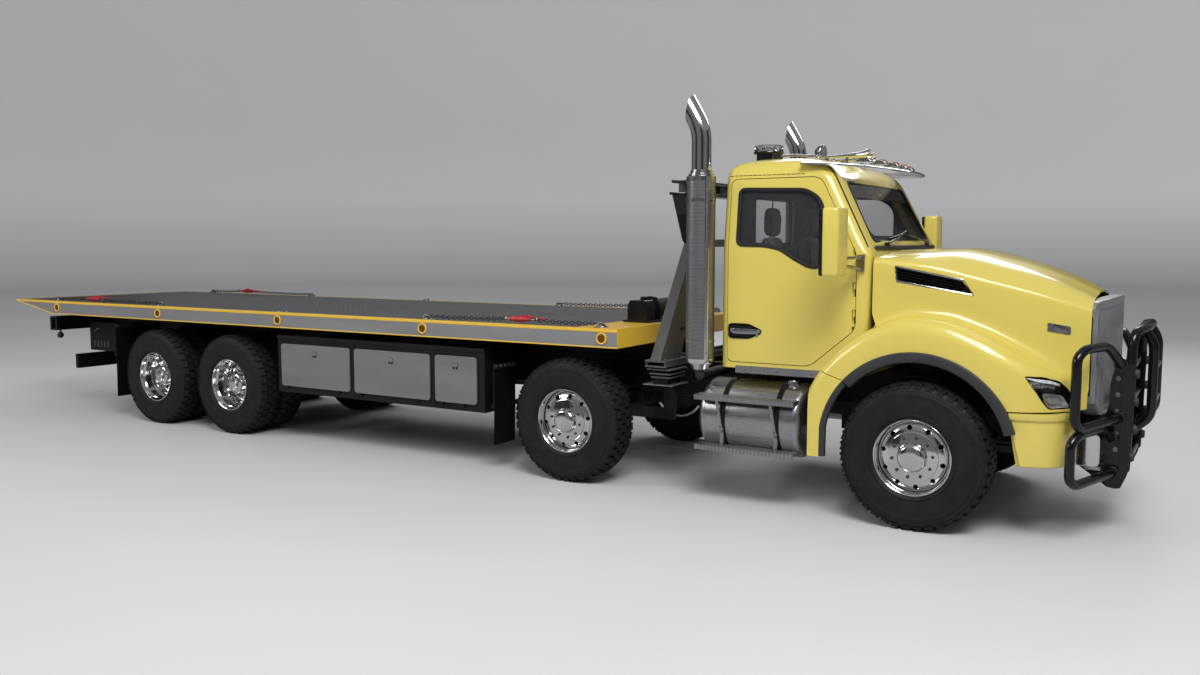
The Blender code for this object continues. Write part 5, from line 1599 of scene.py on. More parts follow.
guard = Build()
TUBE_R = 0.034
for s in (1, -1):
    plate = [
        (1.24, 0.33), (1.31, 0.33), (1.36, 0.45), (1.37, 1.28), (1.26, 1.28), (1.22, 1.10), (1.22, 0.95),
        (1.18, 0.80), (1.18, 0.40),
    ]
    guard.add(g_prism(rounded_loop(plate, 0.03, 4), "y", s * 0.50, s * 0.512), "gloss_black")
    guard.add(g_prism(
        rounded_loop([(1.30, 0.36), (1.345, 0.46), (1.372, 0.47), (1.385, 1.27), (1.30, 1.27)], 0.02, 3),
        "y", s * 0.512, s * 0.538,
    ), "gloss_black")
    upper = [
        (1.29, 0.53, 1.24), (1.21, 0.68, 1.385), (1.10, 1.02, 1.385), (1.06, 1.10, 1.33),
        (1.06, 1.10, 0.88), (1.09, 1.03, 0.83), (1.29, 0.53, 0.85),
    ]
    lower = [
        (1.24, 0.53, 0.70), (1.20, 0.66, 0.79), (1.08, 1.03, 0.79), (1.04, 1.10, 0.73), (1.04, 1.10, 0.48),
        (1.07, 1.03, 0.43), (1.26, 0.53, 0.45),
    ]
    for path in (upper, lower):
        guard.add(g_tube(rounded([(x, s * y, z) for x, y, z in path], 0.09, 6), TUBE_R, 20), "gloss_black")
        for end in (path[0], path[-1]):
            guard.add(g_turn(
                [(0.0, 0.0), (0.048, 0.0), (0.050, 0.003), (0.048, 0.010), (0.0, 0.010)],
                (end[0], s * 0.537, end[2]), (0, s, 0), 24,
            ), "gloss_black")
    post = [(1.35, s * 0.52, 1.25), (1.355, s * 0.50, 1.47), (1.43, s * 0.26, 1.50), (1.43, 0.0, 1.50)]
    guard.add(g_tube(rounded(post, 0.10, 6), TUBE_R, 20), "gloss_black")
    post = [(1.41, s * 0.25, 1.49), (1.475, s * 0.25, 1.38), (1.475, s * 0.25, 0.84), (1.36, s * 0.25, 0.74)]
    guard.add(g_tube(rounded(post, 0.08, 6), TUBE_R, 20), "gloss_black")
    for z in (1.18, 0.98, 0.78, 0.58):
        x = 1.376 - (0.012 if z < 0.6 else 0.0)
        guard.add(g_turn(
            [(0.0, -0.002), (0.030, 0.0), (0.034, 0.006), (0.034, 0.022), (0.028, 0.032), (0.0, 0.034)],
            (x, s * 0.525, z), (1, 0, 0), 20,
        ), "flare_plastic")
    for z in (0.62, 0.74, 0.90, 1.02, 1.14):
        guard.add(g_turn(
            [(0.0, 0.0), (0.020, 0.0), (0.020, 0.003), (0.012, 0.004), (0.012, 0.013), (0.0, 0.014)],
            (1.27, s * 0.512, z), (0, s, 0), 6,
        ), "bare_steel")
for x, z in ((1.33, 1.20), (1.33, 0.95), (1.34, 0.74), (1.33, 0.50)):
    guard.add(g_rod((x, -0.51, z), (x, 0.51, z), 0.030, 20), "gloss_black")
for z in (1.20, 0.95):
    guard.add(g_rod((1.475, -0.25, z), (1.475, 0.25, z), 0.030, 20), "gloss_black")
guard_obj = guard.make("guard_bars", "guard", bevel=0.0015, smooth=40)
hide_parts("guard")

# Cab: rounded rings in plan, close together in height, with walls, doors and glass cut from the same form

# By height: the cab's half width, its back and its front
CAB_HALF = [
    (1.10, 1.05), (2.03, 1.05), (2.10, 1.045), (2.62, 0.985), (2.70, 0.955), (2.755, 0.90), (2.79, 0.78),
]
CAB_BACK = [(1.10, -1.63), (2.62, -1.63), (2.70, -1.62), (2.755, -1.58), (2.79, -1.48)]
CAB_FRONT = [
    (1.10, -0.42), (2.03, -0.40), (2.10, -0.43), (2.62, -0.70), (2.70, -0.77), (2.755, -0.86),
    (2.79, -0.98),
]
CORNER_LOW, CORNER_HIGH = 0.045, 0.10
CAB_LEVELS = [
    1.10, 1.30, 1.60, 1.90, 2.00, 2.03, 2.055, 2.08, 2.10, 2.2, 2.3, 2.4, 2.5, 2.58, 2.62, 2.645, 2.67,
    2.69, 2.71, 2.728, 2.742, 2.755, 2.766, 2.775, 2.783, 2.79,
]
DOOR_OUTLINE = [
    (-1.57, 1.145), (-0.86, 1.145), (-0.50, 1.45), (-0.50, 2.03), (-0.80, 2.60), (-0.86, 2.63),
    (-1.57, 2.63),
]
WINDOW_OUTLINE = [
    (-1.49, 2.096), (-1.49, 2.547), (-0.935, 2.532), (-0.83, 2.47), (-0.786, 2.396), (-0.80, 1.919),
]
WINDOW_OUTLINE += [(-0.884, 1.926), (-1.00, 1.985), (-1.124, 2.065), (-1.25, 2.09)]
SCREEN_OUTLINE = [(-0.85, 2.13), (0.85, 2.13), (0.79, 2.59), (-0.79, 2.59)]
WALL = 0.05
SIDE_REACH, SCREEN_REACH = (0.7, 1.3), (-1.1, -0.1)


def linear_at(rows, x):
    if x <= rows[0][0]:
        return rows[0][1]
    for (x0, v0), (x1, v1) in zip(rows, rows[1:]):
        if x <= x1:
            return v0 + (v1 - v0) * (x - x0) / (x1 - x0)
    return rows[-1][1]


def roof_round(rows, z):
    return curve_at(rows, z) if z > 2.62 else linear_at(rows, z)


def cab_ring(z, inset):
    half = roof_round(CAB_HALF, z) - inset
    back = roof_round(CAB_BACK, z) + inset
    front = roof_round(CAB_FRONT, z) - inset
    blend_up = max(0.0, min(1.0, (z - 2.00) / 0.12))
    r_back = max(0.012, 0.07 - inset)
    r_front = max(0.012, CORNER_LOW + (CORNER_HIGH - CORNER_LOW) * blend_up - inset)
    if z > 2.70:
        grow = (z - 2.70) / 0.09
        r_back += 0.05 * grow
        r_front += 0.06 * grow
    bow = 0.03
    line = [Vector((back, 0.0)), Vector((back, 0.5 * half))]
    for k in range(9):
        a = math.radians(90 * k / 8)
        line.append(Vector((back + r_back - r_back * math.cos(a), half - r_back + r_back * math.sin(a))))
    line.append(Vector((0.5 * (back + front), half + (0.004 if z < 2.6 else 0.0))))
    for k in range(9):
        a = math.radians(90 * k / 8)
        line.append(Vector((front - r_front + r_front * math.sin(a), half - r_front + r_front * math.cos(a))))
    for k in range(1, 6):
        y = (half - r_front) * (1 - k / 5)
        line.append(Vector((front + bow * (1 - (y / (half - r_front)) ** 2), y)))
    right = [(p.x, p.y, z) for p in line]
    return right + [(x, -y, z) for x, y, z in reversed(right[1:-1])]


def cab_form(inset, low=1.10, high=2.79):
    levels = [low] + [z for z in CAB_LEVELS if low < z < high] + [high]
    rings = [cab_ring(z, inset) for z in levels]
    if high >= 2.785:
        cx, top = -1.22, high
        last = rings[-1]
        for pull, lift in ((0.85, 0.007), (0.6, 0.013), (0.3, 0.016)):
            rings.append([(cx + (x - cx) * pull, y * pull, top + lift) for x, y, z in last])
    return g_loft(rings)


def sheet_area(outline, by):
    """An outline in 2-D moved outward by a distance."""
    pts = [Vector(p) for p in outline]
    turn = sum(a.x * b.y - b.x * a.y for a, b in zip(pts, pts[1:] + pts[:1]))
    sign = 1 if turn > 0 else -1
    out = []
    for i, p in enumerate(pts):
        a, b = (p - pts[i - 1]).normalized(), (pts[(i + 1) % len(pts)] - p).normalized()
        na, nb = Vector((a.y, -a.x)) * sign, Vector((b.y, -b.x)) * sign
        m = (na + nb).normalized()
        out.append(p + m * (by / max(0.4, m.dot(na))))
    return [(p.x, p.y) for p in out]


DOOR_ROUND = rounded_loop(DOOR_OUTLINE, 0.06, 5)
WINDOW_ROUND = rounded_loop(WINDOW_OUTLINE, 0.05, 5)
SCREEN_ROUND = rounded_loop(SCREEN_OUTLINE, 0.05, 5)
REAR_ROUND = rounded_box((-0.45, 0.45), (2.10, 2.50), 0.05, 5)


def trim_inside(obj, look_name):
    """Faces on the inner side of the wall take the trim's look."""
    obj.data.materials.append(LOOKS[look_name].mat)
    slot_index = len(obj.data.materials) - 1
    for face in obj.data.polygons:
        x, y, z = face.center
        x -= AXLE_X
        half = roof_round(CAB_HALF, z) - WALL + 0.006
        back = roof_round(CAB_BACK, z) + WALL - 0.006
        front = roof_round(CAB_FRONT, z) - WALL + 0.04
        if abs(y) < half and back < x < front and 1.15 < z < 2.742:
            face.material_index = slot_index


def cab_piece(name):
    return Build().add(cab_form(0.0), "cab_yellow").make(name, None)


cab = cab_piece("cab_body")
carve(cab, cutter(cab_form(WALL, 1.16, 2.735)))
carve(cab, cutter(g_prism(SCREEN_ROUND, "x", *SCREEN_REACH)), cutter(g_prism(REAR_ROUND, "x", -1.9, -1.45)))
HINGE_X, HINGE_Y = -0.518, 1.041
HINGE_LEVELS = ((1.55, 0.056), (1.76, 0.056))
CORNER_LEVELS = ((1.447, 0.03), (2.05, 0.03))


def reliefs(s, levels):
    """Round cuts about the door's axis, for its knuckles and for the corners that swing past the post."""
    at = (HINGE_X, s * HINGE_Y)
    return [cutter(g_rod((*at, z - half), (*at, z + half), 0.0165, 24)) for z, half in levels]


for s in (1, -1):
    carve(
        cab, cutter(g_prism(DOOR_ROUND, "y", s * SIDE_REACH[0], s * SIDE_REACH[1])),
        *reliefs(s, HINGE_LEVELS), smooth=32,
    )
trim_inside(cab, "interior_trim")
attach(cab, "chassis")
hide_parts("cab_shell")

DOOR_GAP = 0.006
HANDLE_PLAN = [
    (-1.556, 1.352), (-1.556, 1.452), (-1.525, 1.464), (-1.375, 1.464), (-1.268, 1.418), (-1.268, 1.386),
    (-1.375, 1.340), (-1.525, 1.340),
]
HANDLE_RIM = rounded_loop(HANDLE_PLAN, 0.03, 5)


def door_area(s):
    """The door's place, with its front edge slanted inside so that it swings clear of the post."""
    rings = []
    for depth, pull in ((0.12, 0.0), (-0.018, 0.0), (-0.15, 0.243)):
        ring = []
        for x, z in sheet_area(DOOR_ROUND, -DOOR_GAP):
            ring.append((x - (pull if x > -0.9 else 0.0), s * (linear_at(CAB_HALF, z) + depth), z))
        rings.append(ring)
    return g_loft(rings)


for side, s in both_sides():
    door = cab_piece("door_panel_" + side)
    carve(door, cutter(cab_form(WALL, 1.12, 2.735)))
    carve(door, cutter(door_area(s)), operation="INTERSECT")
    carve(door, cutter(g_prism(WINDOW_ROUND, "y", s * SIDE_REACH[0], s * SIDE_REACH[1])))
    carve(door, *reliefs(s, HINGE_LEVELS + CORNER_LEVELS))
    pod = sheet_area(HANDLE_RIM, -0.003)
    carve(door, cutter(g_prism(pod, "y", s * 1.030, s * 1.2)), smooth=32)
    trim_inside(door, "interior_trim")
    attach(door, "door_" + side)
    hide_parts("cab_door_" + side)

    # Gasket round the window, the pane behind it, and the handle's pod
    seal = Build()
    outer, inner = sheet_area(WINDOW_ROUND, 0.011), sheet_area(WINDOW_ROUND, -0.016)

    def on_side(x, z, lift):
        return (x, s * (linear_at(CAB_HALF, z) + 0.003 + lift), z)

    rings = [[on_side(x, z, -0.003) for x, z in outer], [on_side(x, z, 0.0045) for x, z in outer]]
    rings.append([on_side(0.5 * (a[0] + b[0]), 0.5 * (a[1] + b[1]), 0.0065) for a, b in zip(outer, inner)])
    rings += [[on_side(x, z, 0.001) for x, z in inner], [on_side(x, z, -0.030) for x, z in inner]]
    rings.append([on_side(x, z, -0.030) for x, z in sheet_area(WINDOW_ROUND, -0.001)])
    seal.add(g_loft(rings, caps=False), "gasket_rubber")
    seal.make("window_seal_" + side, "door_" + side, smooth=50)
    pane_line = sheet_area(WINDOW_ROUND, -0.012)
    pane = [[on_side(x, z, d) for x, z in pane_line] for d in (-0.016, -0.021)]
    one("window_pane_" + side, g_loft(pane), "window_glass", "door_" + side, smooth=20)

    handle = Build()
    rim = HANDLE_RIM
    dish = sheet_area(rim, -0.012)
    face_y = 1.0535
    rings = [[(x, s * (face_y - 0.010), z) for x, z in rim], [(x, s * (face_y + 0.004), z) for x, z in rim]]
    rings += [
        [(x, s * (face_y + 0.005), z) for x, z in sheet_area(rim, -0.006)],
        [(x, s * (face_y - 0.002), z) for x, z in dish],
    ]
    rings.append([(x, s * (face_y - 0.020), z) for x, z in sheet_area(rim, -0.022)])
    handle.add(g_loft(rings), "gloss_black")
    bar = [
        (-1.535, s * (face_y + 0.001), 1.402), (-1.49, s * (face_y + 0.008), 1.402),
        (-1.40, s * (face_y + 0.010), 1.402), (-1.31, s * (face_y + 0.006), 1.402),
        (-1.278, s * (face_y - 0.002), 1.402),
    ]
    rings = []
    for (x, y, z), tall in zip(
        [tuple(p) for p in spline(bar, 4)],
        [
            0.011, 0.015, 0.018, 0.020, 0.021, 0.022, 0.022, 0.022, 0.022, 0.022, 0.021, 0.020, 0.018,
            0.016, 0.013, 0.010, 0.008,
        ],
    ):
        rings.append([
            (x, y - s * 0.006, z - tall), (x, y + s * 0.002, z - tall), (x, y + s * 0.004, z - 0.5 * tall),
            (x, y + s * 0.004, z + 0.5 * tall), (x, y + s * 0.002, z + tall), (x, y - s * 0.006, z + tall),
        ])
    handle.add(g_loft(rings), "satin_chrome")
    handle.add(g_turn(
        [(0.0, 0.0), (0.010, 0.0), (0.011, 0.002), (0.009, 0.004), (0.0, 0.004)],
        (-1.305, s * (face_y + 0.003), 1.372), (0, s, 0), 16,
    ), "satin_chrome")
    handle.make("door_handle_" + side, "door_" + side, smooth=45)

    hinges = Build()
    for level in HINGE_LEVELS:
        at, z = (HINGE_X, s * HINGE_Y), level[0]
        hinges.add(g_rod((*at, z + 0.0003), (*at, z + 0.05), 0.008, 12), "cab_yellow")
    hinges.make("door_knuckles_" + side, "door_" + side)

    # Sill strip with studs, and the seam above the door
    strip = Build()
    line = rounded_loop([(-1.49, 1.060), (-0.76, 1.060), (-0.745, 1.120), (-1.49, 1.120)], 0.01, 2)
    strip.add(g_prism(line, "y", s * 1.044, s * 1.0575), "satin_chrome")
    for x in (-1.42, -1.13, -0.84):
        strip.add(g_turn(
            [(0.0, 0.0), (0.014, 0.0), (0.013, 0.004), (0.0, 0.006)], (x, s * 1.0575, 1.09), (0, s, 0), 16,
        ), "bare_steel")
    strip.make("sill_strip_" + side, "chassis", bevel=0.002)
    seam = Build()
    for x in steps_between(-1.585, -0.945, 16)[:-1]:
        z = 2.651
        y = curve_at(CAB_HALF, z) + 0.001
        seam.add(g_prism(
            [(x, z), (x + 0.030, z), (x + 0.030, z + 0.005), (x, z + 0.005)], "y", s * (y - 0.006),
            s * (y + 0.0008),
        ), "gasket_rubber")
    seam.make("roof_seam_" + side, "chassis")

# Windshield: dark frame band, seal, wipers and cowl

pane = Build().add(cab_form(0.010), "gloss_black").make("screen_band", None)
carve(pane, cutter(cab_form(0.0145, 1.0, 2.787)))
carve(pane, cutter(g_prism(sheet_area(SCREEN_ROUND, -0.0008), "x", *SCREEN_REACH)), operation="INTERSECT")
clear_area = rounded_loop([(-0.800, 2.170), (0.800, 2.170), (0.765, 2.470), (-0.765, 2.470)], 0.09, 7)
carve(pane, cutter(g_prism(clear_area, "x", *SCREEN_REACH)), smooth=40)
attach(pane, "chassis")
seal = Build()
outer, inner = sheet_area(SCREEN_ROUND, 0.012), sheet_area(SCREEN_ROUND, -0.010)


def on_front(y, z, lift):
    half = linear_at(CAB_HALF, z) - 0.10
    x = linear_at(CAB_FRONT, z) + 0.03 * (1 - min(1.0, abs(y) / half) ** 2)
    over = max(0.0, abs(y) - half)
    x -= 0.10 - math.sqrt(max(0.0, 0.01 - over**2))
    return (x + lift, y, z)


rings = [[on_front(y, z, -0.006) for y, z in outer], [on_front(y, z, 0.004) for y, z in outer]]
rings.append([on_front(0.5 * (a[0] + b[0]), 0.5 * (a[1] + b[1]), 0.007) for a, b in zip(outer, inner)])
rings += [[on_front(y, z, 0.002) for y, z in inner], [on_front(y, z, -0.022) for y, z in inner]]
seal.add(g_loft(rings, caps=False), "gasket_rubber")
seal.make("screen_seal", "chassis", smooth=50)

wipers = Build()
for s in (1, -1):
    base = Vector((-0.385, s * 0.62, 2.105))
    tip = Vector(on_front(s * 0.08, 2.185, 0.022))
    wipers.add(g_turn(
        [(0.0, 0.0), (0.026, 0.0), (0.024, 0.018), (0.012, 0.024), (0.0, 0.025)],
        base - Vector((0.015, 0, 0.012)), (0.5, 0, 1), 16,
    ), "gloss_black")
    wipers.add(g_tube(
        [base + Vector((0, 0, 0.006)), base.lerp(tip, 0.5) + Vector((0.018, 0, 0.004)), tip],
        [0.010, 0.007, 0.005], 8,
    ), "gloss_black")
    ends = [
        Vector(on_front(s * y, z, 0.010))
        for y, z in ((0.48, 2.150), (0.30, 2.163), (0.08, 2.185), (-0.12, 2.212))
    ]
    wipers.add(g_tube(ends, 0.0055, 6), "gloss_black")
    wipers.add(g_tube([p - Vector((0.006, 0, 0)) for p in ends], 0.003, 6), "gasket_rubber")
wipers.make("wipers", "chassis", smooth=50)
cowl = []
for y in steps_between(-0.90, 0.90, 36):
    x = linear_at(CAB_FRONT, 2.06) + 0.03 * (1 - (y / 1.0) ** 2)
    cowl.append([
        (x - 0.02, y, 2.075), (x + 0.004, y, 2.094), (x + 0.012, y, 2.085), (x + 0.014, y, 2.065),
        (x - 0.02, y, 2.06),
    ])
one("cowl_panel", g_loft(cowl), "flare_plastic", "chassis", smooth=40)

rear_seal = Build()
rings = []
for grow, x in ((0.010, -1.629), (0.010, -1.6335), (-0.012, -1.6335), (-0.014, -1.60), (-0.001, -1.60)):
    rings.append([(x, y, z) for y, z in sheet_area(REAR_ROUND, grow)])
rear_seal.add(g_loft(rings, caps=False), "gasket_rubber")
rear_seal.make("rear_window_seal", "chassis", smooth=50)
rear_pane = Build().add(g_prism(sheet_area(REAR_ROUND, -0.005), "x", -1.612, -1.617), "window_glass")
rear_pane.add(g_box((-1.6135, -1.6105), (-0.012, 0.012), (2.10, 2.50)), "gasket_rubber")
rear_pane.make("rear_window_pane", "chassis")

# Visor: a curved bright blade over the screen with marker lamps above it

VISOR_EDGE = [
    (-0.98, 1.018), (-0.86, 1.010), (-0.72, 0.978), (-0.52, 0.80), (-0.40, 0.50), (-0.345, 0.22),
    (-0.335, 0.0),
]
edge = spline([Vector(p) for p in VISOR_EDGE], 5)
edge = edge + [Vector((p.x, -p.y)) for p in reversed(edge[:-1])]
rows = []
for p in edge:
    tilt = 2.725 - 0.06 * (p.x + 0.98)
    inward = Vector((p.x + 1.10, p.y)).normalized()
    row = []
    for back, lift in (
        (0.000, 0.000), (0.004, 0.009), (0.018, 0.016), (0.070, 0.026), (0.150, 0.036), (0.240, 0.042),
    ):
        q = Vector((p.x, p.y)) - inward * back
        row.append(Vector((q.x, q.y, tilt + lift)))
    for back, lift in ((0.240, 0.038), (0.150, 0.031), (0.070, 0.021), (0.018, 0.010)):
        q = Vector((p.x, p.y)) - inward * back
        row.append(Vector((q.x, q.y, tilt + lift)))
    rows.append([tuple(v) for v in row])
visor = Build().add(g_loft(rows), "chrome").make("visor_blade", None, smooth=50)
carve(visor, cutter(cab_form(-0.0008)), smooth=50)
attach(visor, "chassis")
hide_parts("visor")
markers, marker_lens = Build(), Build()
for y in (-0.62, -0.32, 0.0, 0.32, 0.62):
    x = -0.60 + 0.055 * (1 - (y / 0.7) ** 2)
    z = 2.752
    shape = [
        (x - 0.07, z), (x + 0.06, z - 0.006), (x + 0.062, z + 0.004), (x + 0.035, z + 0.028),
        (x - 0.02, z + 0.034), (x - 0.07, z + 0.010),
    ]
    markers.add(g_prism(shape, "y", y - 0.046, y + 0.046), "satin_chrome")
    lens = [
        (x + 0.020, z + 0.018), (x + 0.056, z + 0.004), (x + 0.058, z + 0.012), (x + 0.036, z + 0.036),
        (x + 0.010, z + 0.040),
    ]
    marker_lens.add(g_prism(lens, "y", y - 0.036, y + 0.036), "lens_amber")
markers.make("marker_bases", "chassis", bevel=0.006)
marker_lens.make("marker_lenses", "chassis", bevel=0.006, segments=3)

# Roof beacon on its stand with a work lamp and horns

BEACON_X, BEACON_Y = -1.46, -0.48
WORK_LAMP_AXIS = (1, -0.15, 0)

beacon = Build()
beacon.add(g_box((-1.52, -1.38), (-0.60, -0.36), (2.800, 2.862)), "gloss_black")
beacon.add(g_turn(
    [(0.0, 0.0), (0.125, 0.0), (0.130, 0.006), (0.126, 0.016), (0.0, 0.016)], (BEACON_X, BEACON_Y, 2.862),
    (0, 0, 1), 32,
), "gloss_black")
beacon.add(g_turn(
    [(0.0, 0.0), (0.118, 0.0), (0.121, 0.004), (0.121, 0.046), (0.115, 0.054), (0.0, 0.058)],
    (BEACON_X, BEACON_Y, 2.878), (0, 0, 1), 32,
), "lens_clear")
beacon.add(g_turn(
    [(0.0, 0.0), (0.060, 0.0), (0.070, 0.004), (0.040, 0.040), (0.0, 0.042)], (BEACON_X, BEACON_Y, 2.880),
    (0, 0, 1), 24,
), "chrome")
for k in range(8):
    a = 2 * math.pi * k / 8
    c, d = math.cos(a), math.sin(a)
    at = Vector((BEACON_X + 0.090 * c, BEACON_Y + 0.090 * d, 2.902))
    beacon.add(
        g_turn([(0.0, 0.0), (0.016, 0.0), (0.020, 0.016), (0.0, 0.018)], at, (c, d, 0), 12), "satin_chrome",
    )
beacon.add(g_tube(rounded(
    [(-1.39, -0.40, 2.845), (-1.33, -0.20, 2.868), (-1.28, -0.02, 2.868), (-1.20, 0.10, 2.880)], 0.05, 4,
), 0.010, 10), "satin_chrome")
beacon.add(g_turn(
    [(0.0, 0.0), (0.040, 0.0), (0.062, 0.030), (0.066, 0.062), (0.062, 0.068), (0.0, 0.066)],
    (-1.245, 0.10, 2.905), WORK_LAMP_AXIS, 28,
), "satin_chrome")
beacon.add(g_turn(
    [(0.0, 0.0), (0.058, 0.0), (0.050, 0.008), (0.0, 0.012)], (-1.178, 0.09, 2.905), WORK_LAMP_AXIS, 28,
), "lens_clear")
beacon.add(g_tube(
    rounded([(-1.215, 0.10, 2.796), (-1.215, 0.10, 2.85), (-1.215, 0.10, 2.868)], 0.01, 2), 0.014, 12,
), "satin_chrome")
for y, long in ((-0.09, 0.44), (0.32, 0.36)):
    horn = [
        (0.011, 0.0), (0.012, 0.10), (0.018, 0.60 * long), (0.030, 0.85 * long), (0.052, long),
        (0.050, long), (0.026, 0.86 * long), (0.0, 0.70 * long),
    ]
    beacon.add(g_turn(
        [(0.0, -0.02)] + [(0.022, -0.02), (0.024, 0.0)] + horn, (-1.16, y, 2.845), (1, 0, 0.02), 24,
    ), "chrome")
    beacon.add(g_box((-1.10, -1.07), (y - 0.012, y + 0.012), (2.797, 2.835)), "satin_chrome")
    beacon.add(g_box((-0.92, -0.90), (y - 0.010, y + 0.010), (2.790, 2.832)), "satin_chrome")
beacon_obj = beacon.make("roof_lamps", "chassis", bevel=0.002, smooth=40)
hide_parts("roof_beacon")

# Mirrors: painted shell with a dark back, the glass, and a bright bracket

for side, s in both_sides():
    head = Build()
    rings = []
    for z, shrink in (
        (1.872, 0.030), (1.878, 0.012), (1.895, 0.0), (2.12, -0.003), (2.345, 0.0), (2.362, 0.012),
        (2.368, 0.030),
    ):
        plan = rounded_loop([(-0.602, 1.305), (-0.482, 1.325), (-0.482, 1.555), (-0.602, 1.575)], 0.028, 4)
        mx, my = -0.545, 1.44
        rings.append([
            (mx + (x - mx) * (1 - shrink * 6), s * (my + (y - my) * (1 - shrink * 3)), z)
            for x, y in plan
        ])
    head.add(g_loft(rings), "cab_yellow")
    back = rounded_box((1.306, 1.574), (1.876, 2.364), 0.028)
    head.add(g_prism([(s * y, z) for y, z in back], "x", -0.603, -0.619), "gloss_black")
    glass_line = rounded_box((1.322, 1.558), (1.895, 2.346), 0.022)
    head.add(g_prism([(s * y, z) for y, z in glass_line], "x", -0.6185, -0.6196), "mirror_glass")
    head.make("mirror_head_" + side, "chassis", smooth=40)
    bracket = Build()
    foot = [(-0.500, 1.895), (-0.440, 1.895), (-0.436, 2.028), (-0.494, 2.024)]
    ring = [
        [(x, s * (1.046 if x < -0.47 else 1.036), z) for x, z in foot],
        [(x, s * 1.066, z) for x, z in foot],
        [(x, s * 1.072, z + (0.004 if z < 1.95 else -0.004)) for x, z in foot],
    ]
    bracket.add(g_loft(ring), "satin_chrome")
    for z0, z1, tall in ((2.006, 2.000, 0.022), (1.915, 1.945, 0.022)):
        arm = []
        for y, z, x0, x1 in (
            (1.066, z0, -0.492, -0.452), (1.20, 0.5 * (z0 + z1), -0.505, -0.470),
            (1.335, z1, -0.530, -0.495),
        ):
            arm.append([
                (x0, s * y, z - 0.5 * tall), (x1, s * y, z - 0.5 * tall), (x1 + 0.004, s * y, z),
                (x1, s * y, z + 0.5 * tall), (x0, s * y, z + 0.5 * tall),
            ])
        bracket.add(g_loft(arm), "satin_chrome")
    bracket.make("mirror_bracket_" + side, "chassis", bevel=0.002, smooth=40)
    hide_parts("mirror_" + side)

# Interior: padded seats on their pedestals, dashboard and wheel

PAD_VOXEL = 0.007
PAD_FRAMES = 14


def pad_rings(rows, n=28, power=3.2):
    """Rounded-square rings in plan from (z, centre x, half length, half width) rows, closed at both ends."""
    rings = []
    for z, cx, a, b in rows:
        ring = []
        for j in range(n):
            t = 2 * math.pi * j / n
            c, d = math.cos(t), math.sin(t)
            along = cx + a * math.copysign(abs(c) ** (2 / power), c)
            ring.append((along, b * math.copysign(abs(d) ** (2 / power), d), z))
        rings.append(ring)
    return g_loft(rings)


def swell(obj, cap):
    """Fills a pad with air for a few frames of cloth, so that it crowns between its edges."""
    remesh = obj.modifiers.new("even", "REMESH")
    remesh.mode = "VOXEL"
    remesh.voxel_size = PAD_VOXEL
    mesh = evaluated(obj)
    still = [v.co.copy() for v in mesh.vertices]
    cloth = obj.modifiers.new("air", "CLOTH")
    cloth.settings.quality = 4
    cloth.settings.use_pressure = True
    cloth.settings.uniform_pressure_force = 4.0
    cloth.settings.effector_weights.gravity = 0.0
    cloth.point_cache.frame_start = 1
    cloth.point_cache.frame_end = PAD_FRAMES
    for number in range(1, PAD_FRAMES + 1):
        bpy.context.scene.frame_set(number)
    mesh = evaluated(obj)
    for vertex, start in zip(mesh.vertices, still):
        step = vertex.co - start
        if step.length > cap:
            vertex.co = start + step * (cap / step.length)
    bpy.context.scene.frame_set(1)


def evaluated(obj):
    """Applies the object's modifiers to its own mesh."""
    graph = bpy.context.evaluated_depsgraph_get()
    mesh = bpy.data.meshes.new_from_object(obj.evaluated_get(graph))
    obj.modifiers.clear()
    obj.data = mesh
    return mesh


def groove(mesh, distance_to, depth, width):
    for vertex in mesh.vertices:
        d = distance_to(vertex.co)
        if d < 3 * width:
            vertex.co -= vertex.normal * (depth * math.exp(-(d / width) ** 2))


CUSHION_Y = 0.47
CUSHION_PANEL, BACK_PANEL, HEAD_PANEL = 0.145, 0.135, 0.085


def finer(obj):
    made = obj.modifiers.new("fine", "SUBSURF")
    made.levels = 1
    made.render_levels = 1


def seat_pad(name, rows, cap, panel, channels):
    """One pad: swollen, sewn along the panel's edges and channels, with a cloth middle and leather sides."""
    pad = Build().add(pad_rings(rows), "seat_leather").make(name, None, smooth=60)
    pad.data.materials.append(LOOKS["seat_cloth"].mat)
    swell(pad, cap)
    mesh = pad.data
    if not mesh.materials or len(mesh.materials) < 2:
        mesh.materials.clear()
        mesh.materials.append(LOOKS["seat_leather"].mat)
        mesh.materials.append(LOOKS["seat_cloth"].mat)
    groove(mesh, lambda p: abs(abs(p.y) - panel), 0.008, 0.007)
    for axis, value in channels:
        groove(mesh, lambda p: abs(p[axis] - value) if abs(p.y) < panel else 1.0, 0.006, 0.008)
    for face in mesh.polygons:
        face.material_index = 1 if abs(face.center.y) < panel else 0
        face.use_smooth = True
    finer(pad)
    return pad


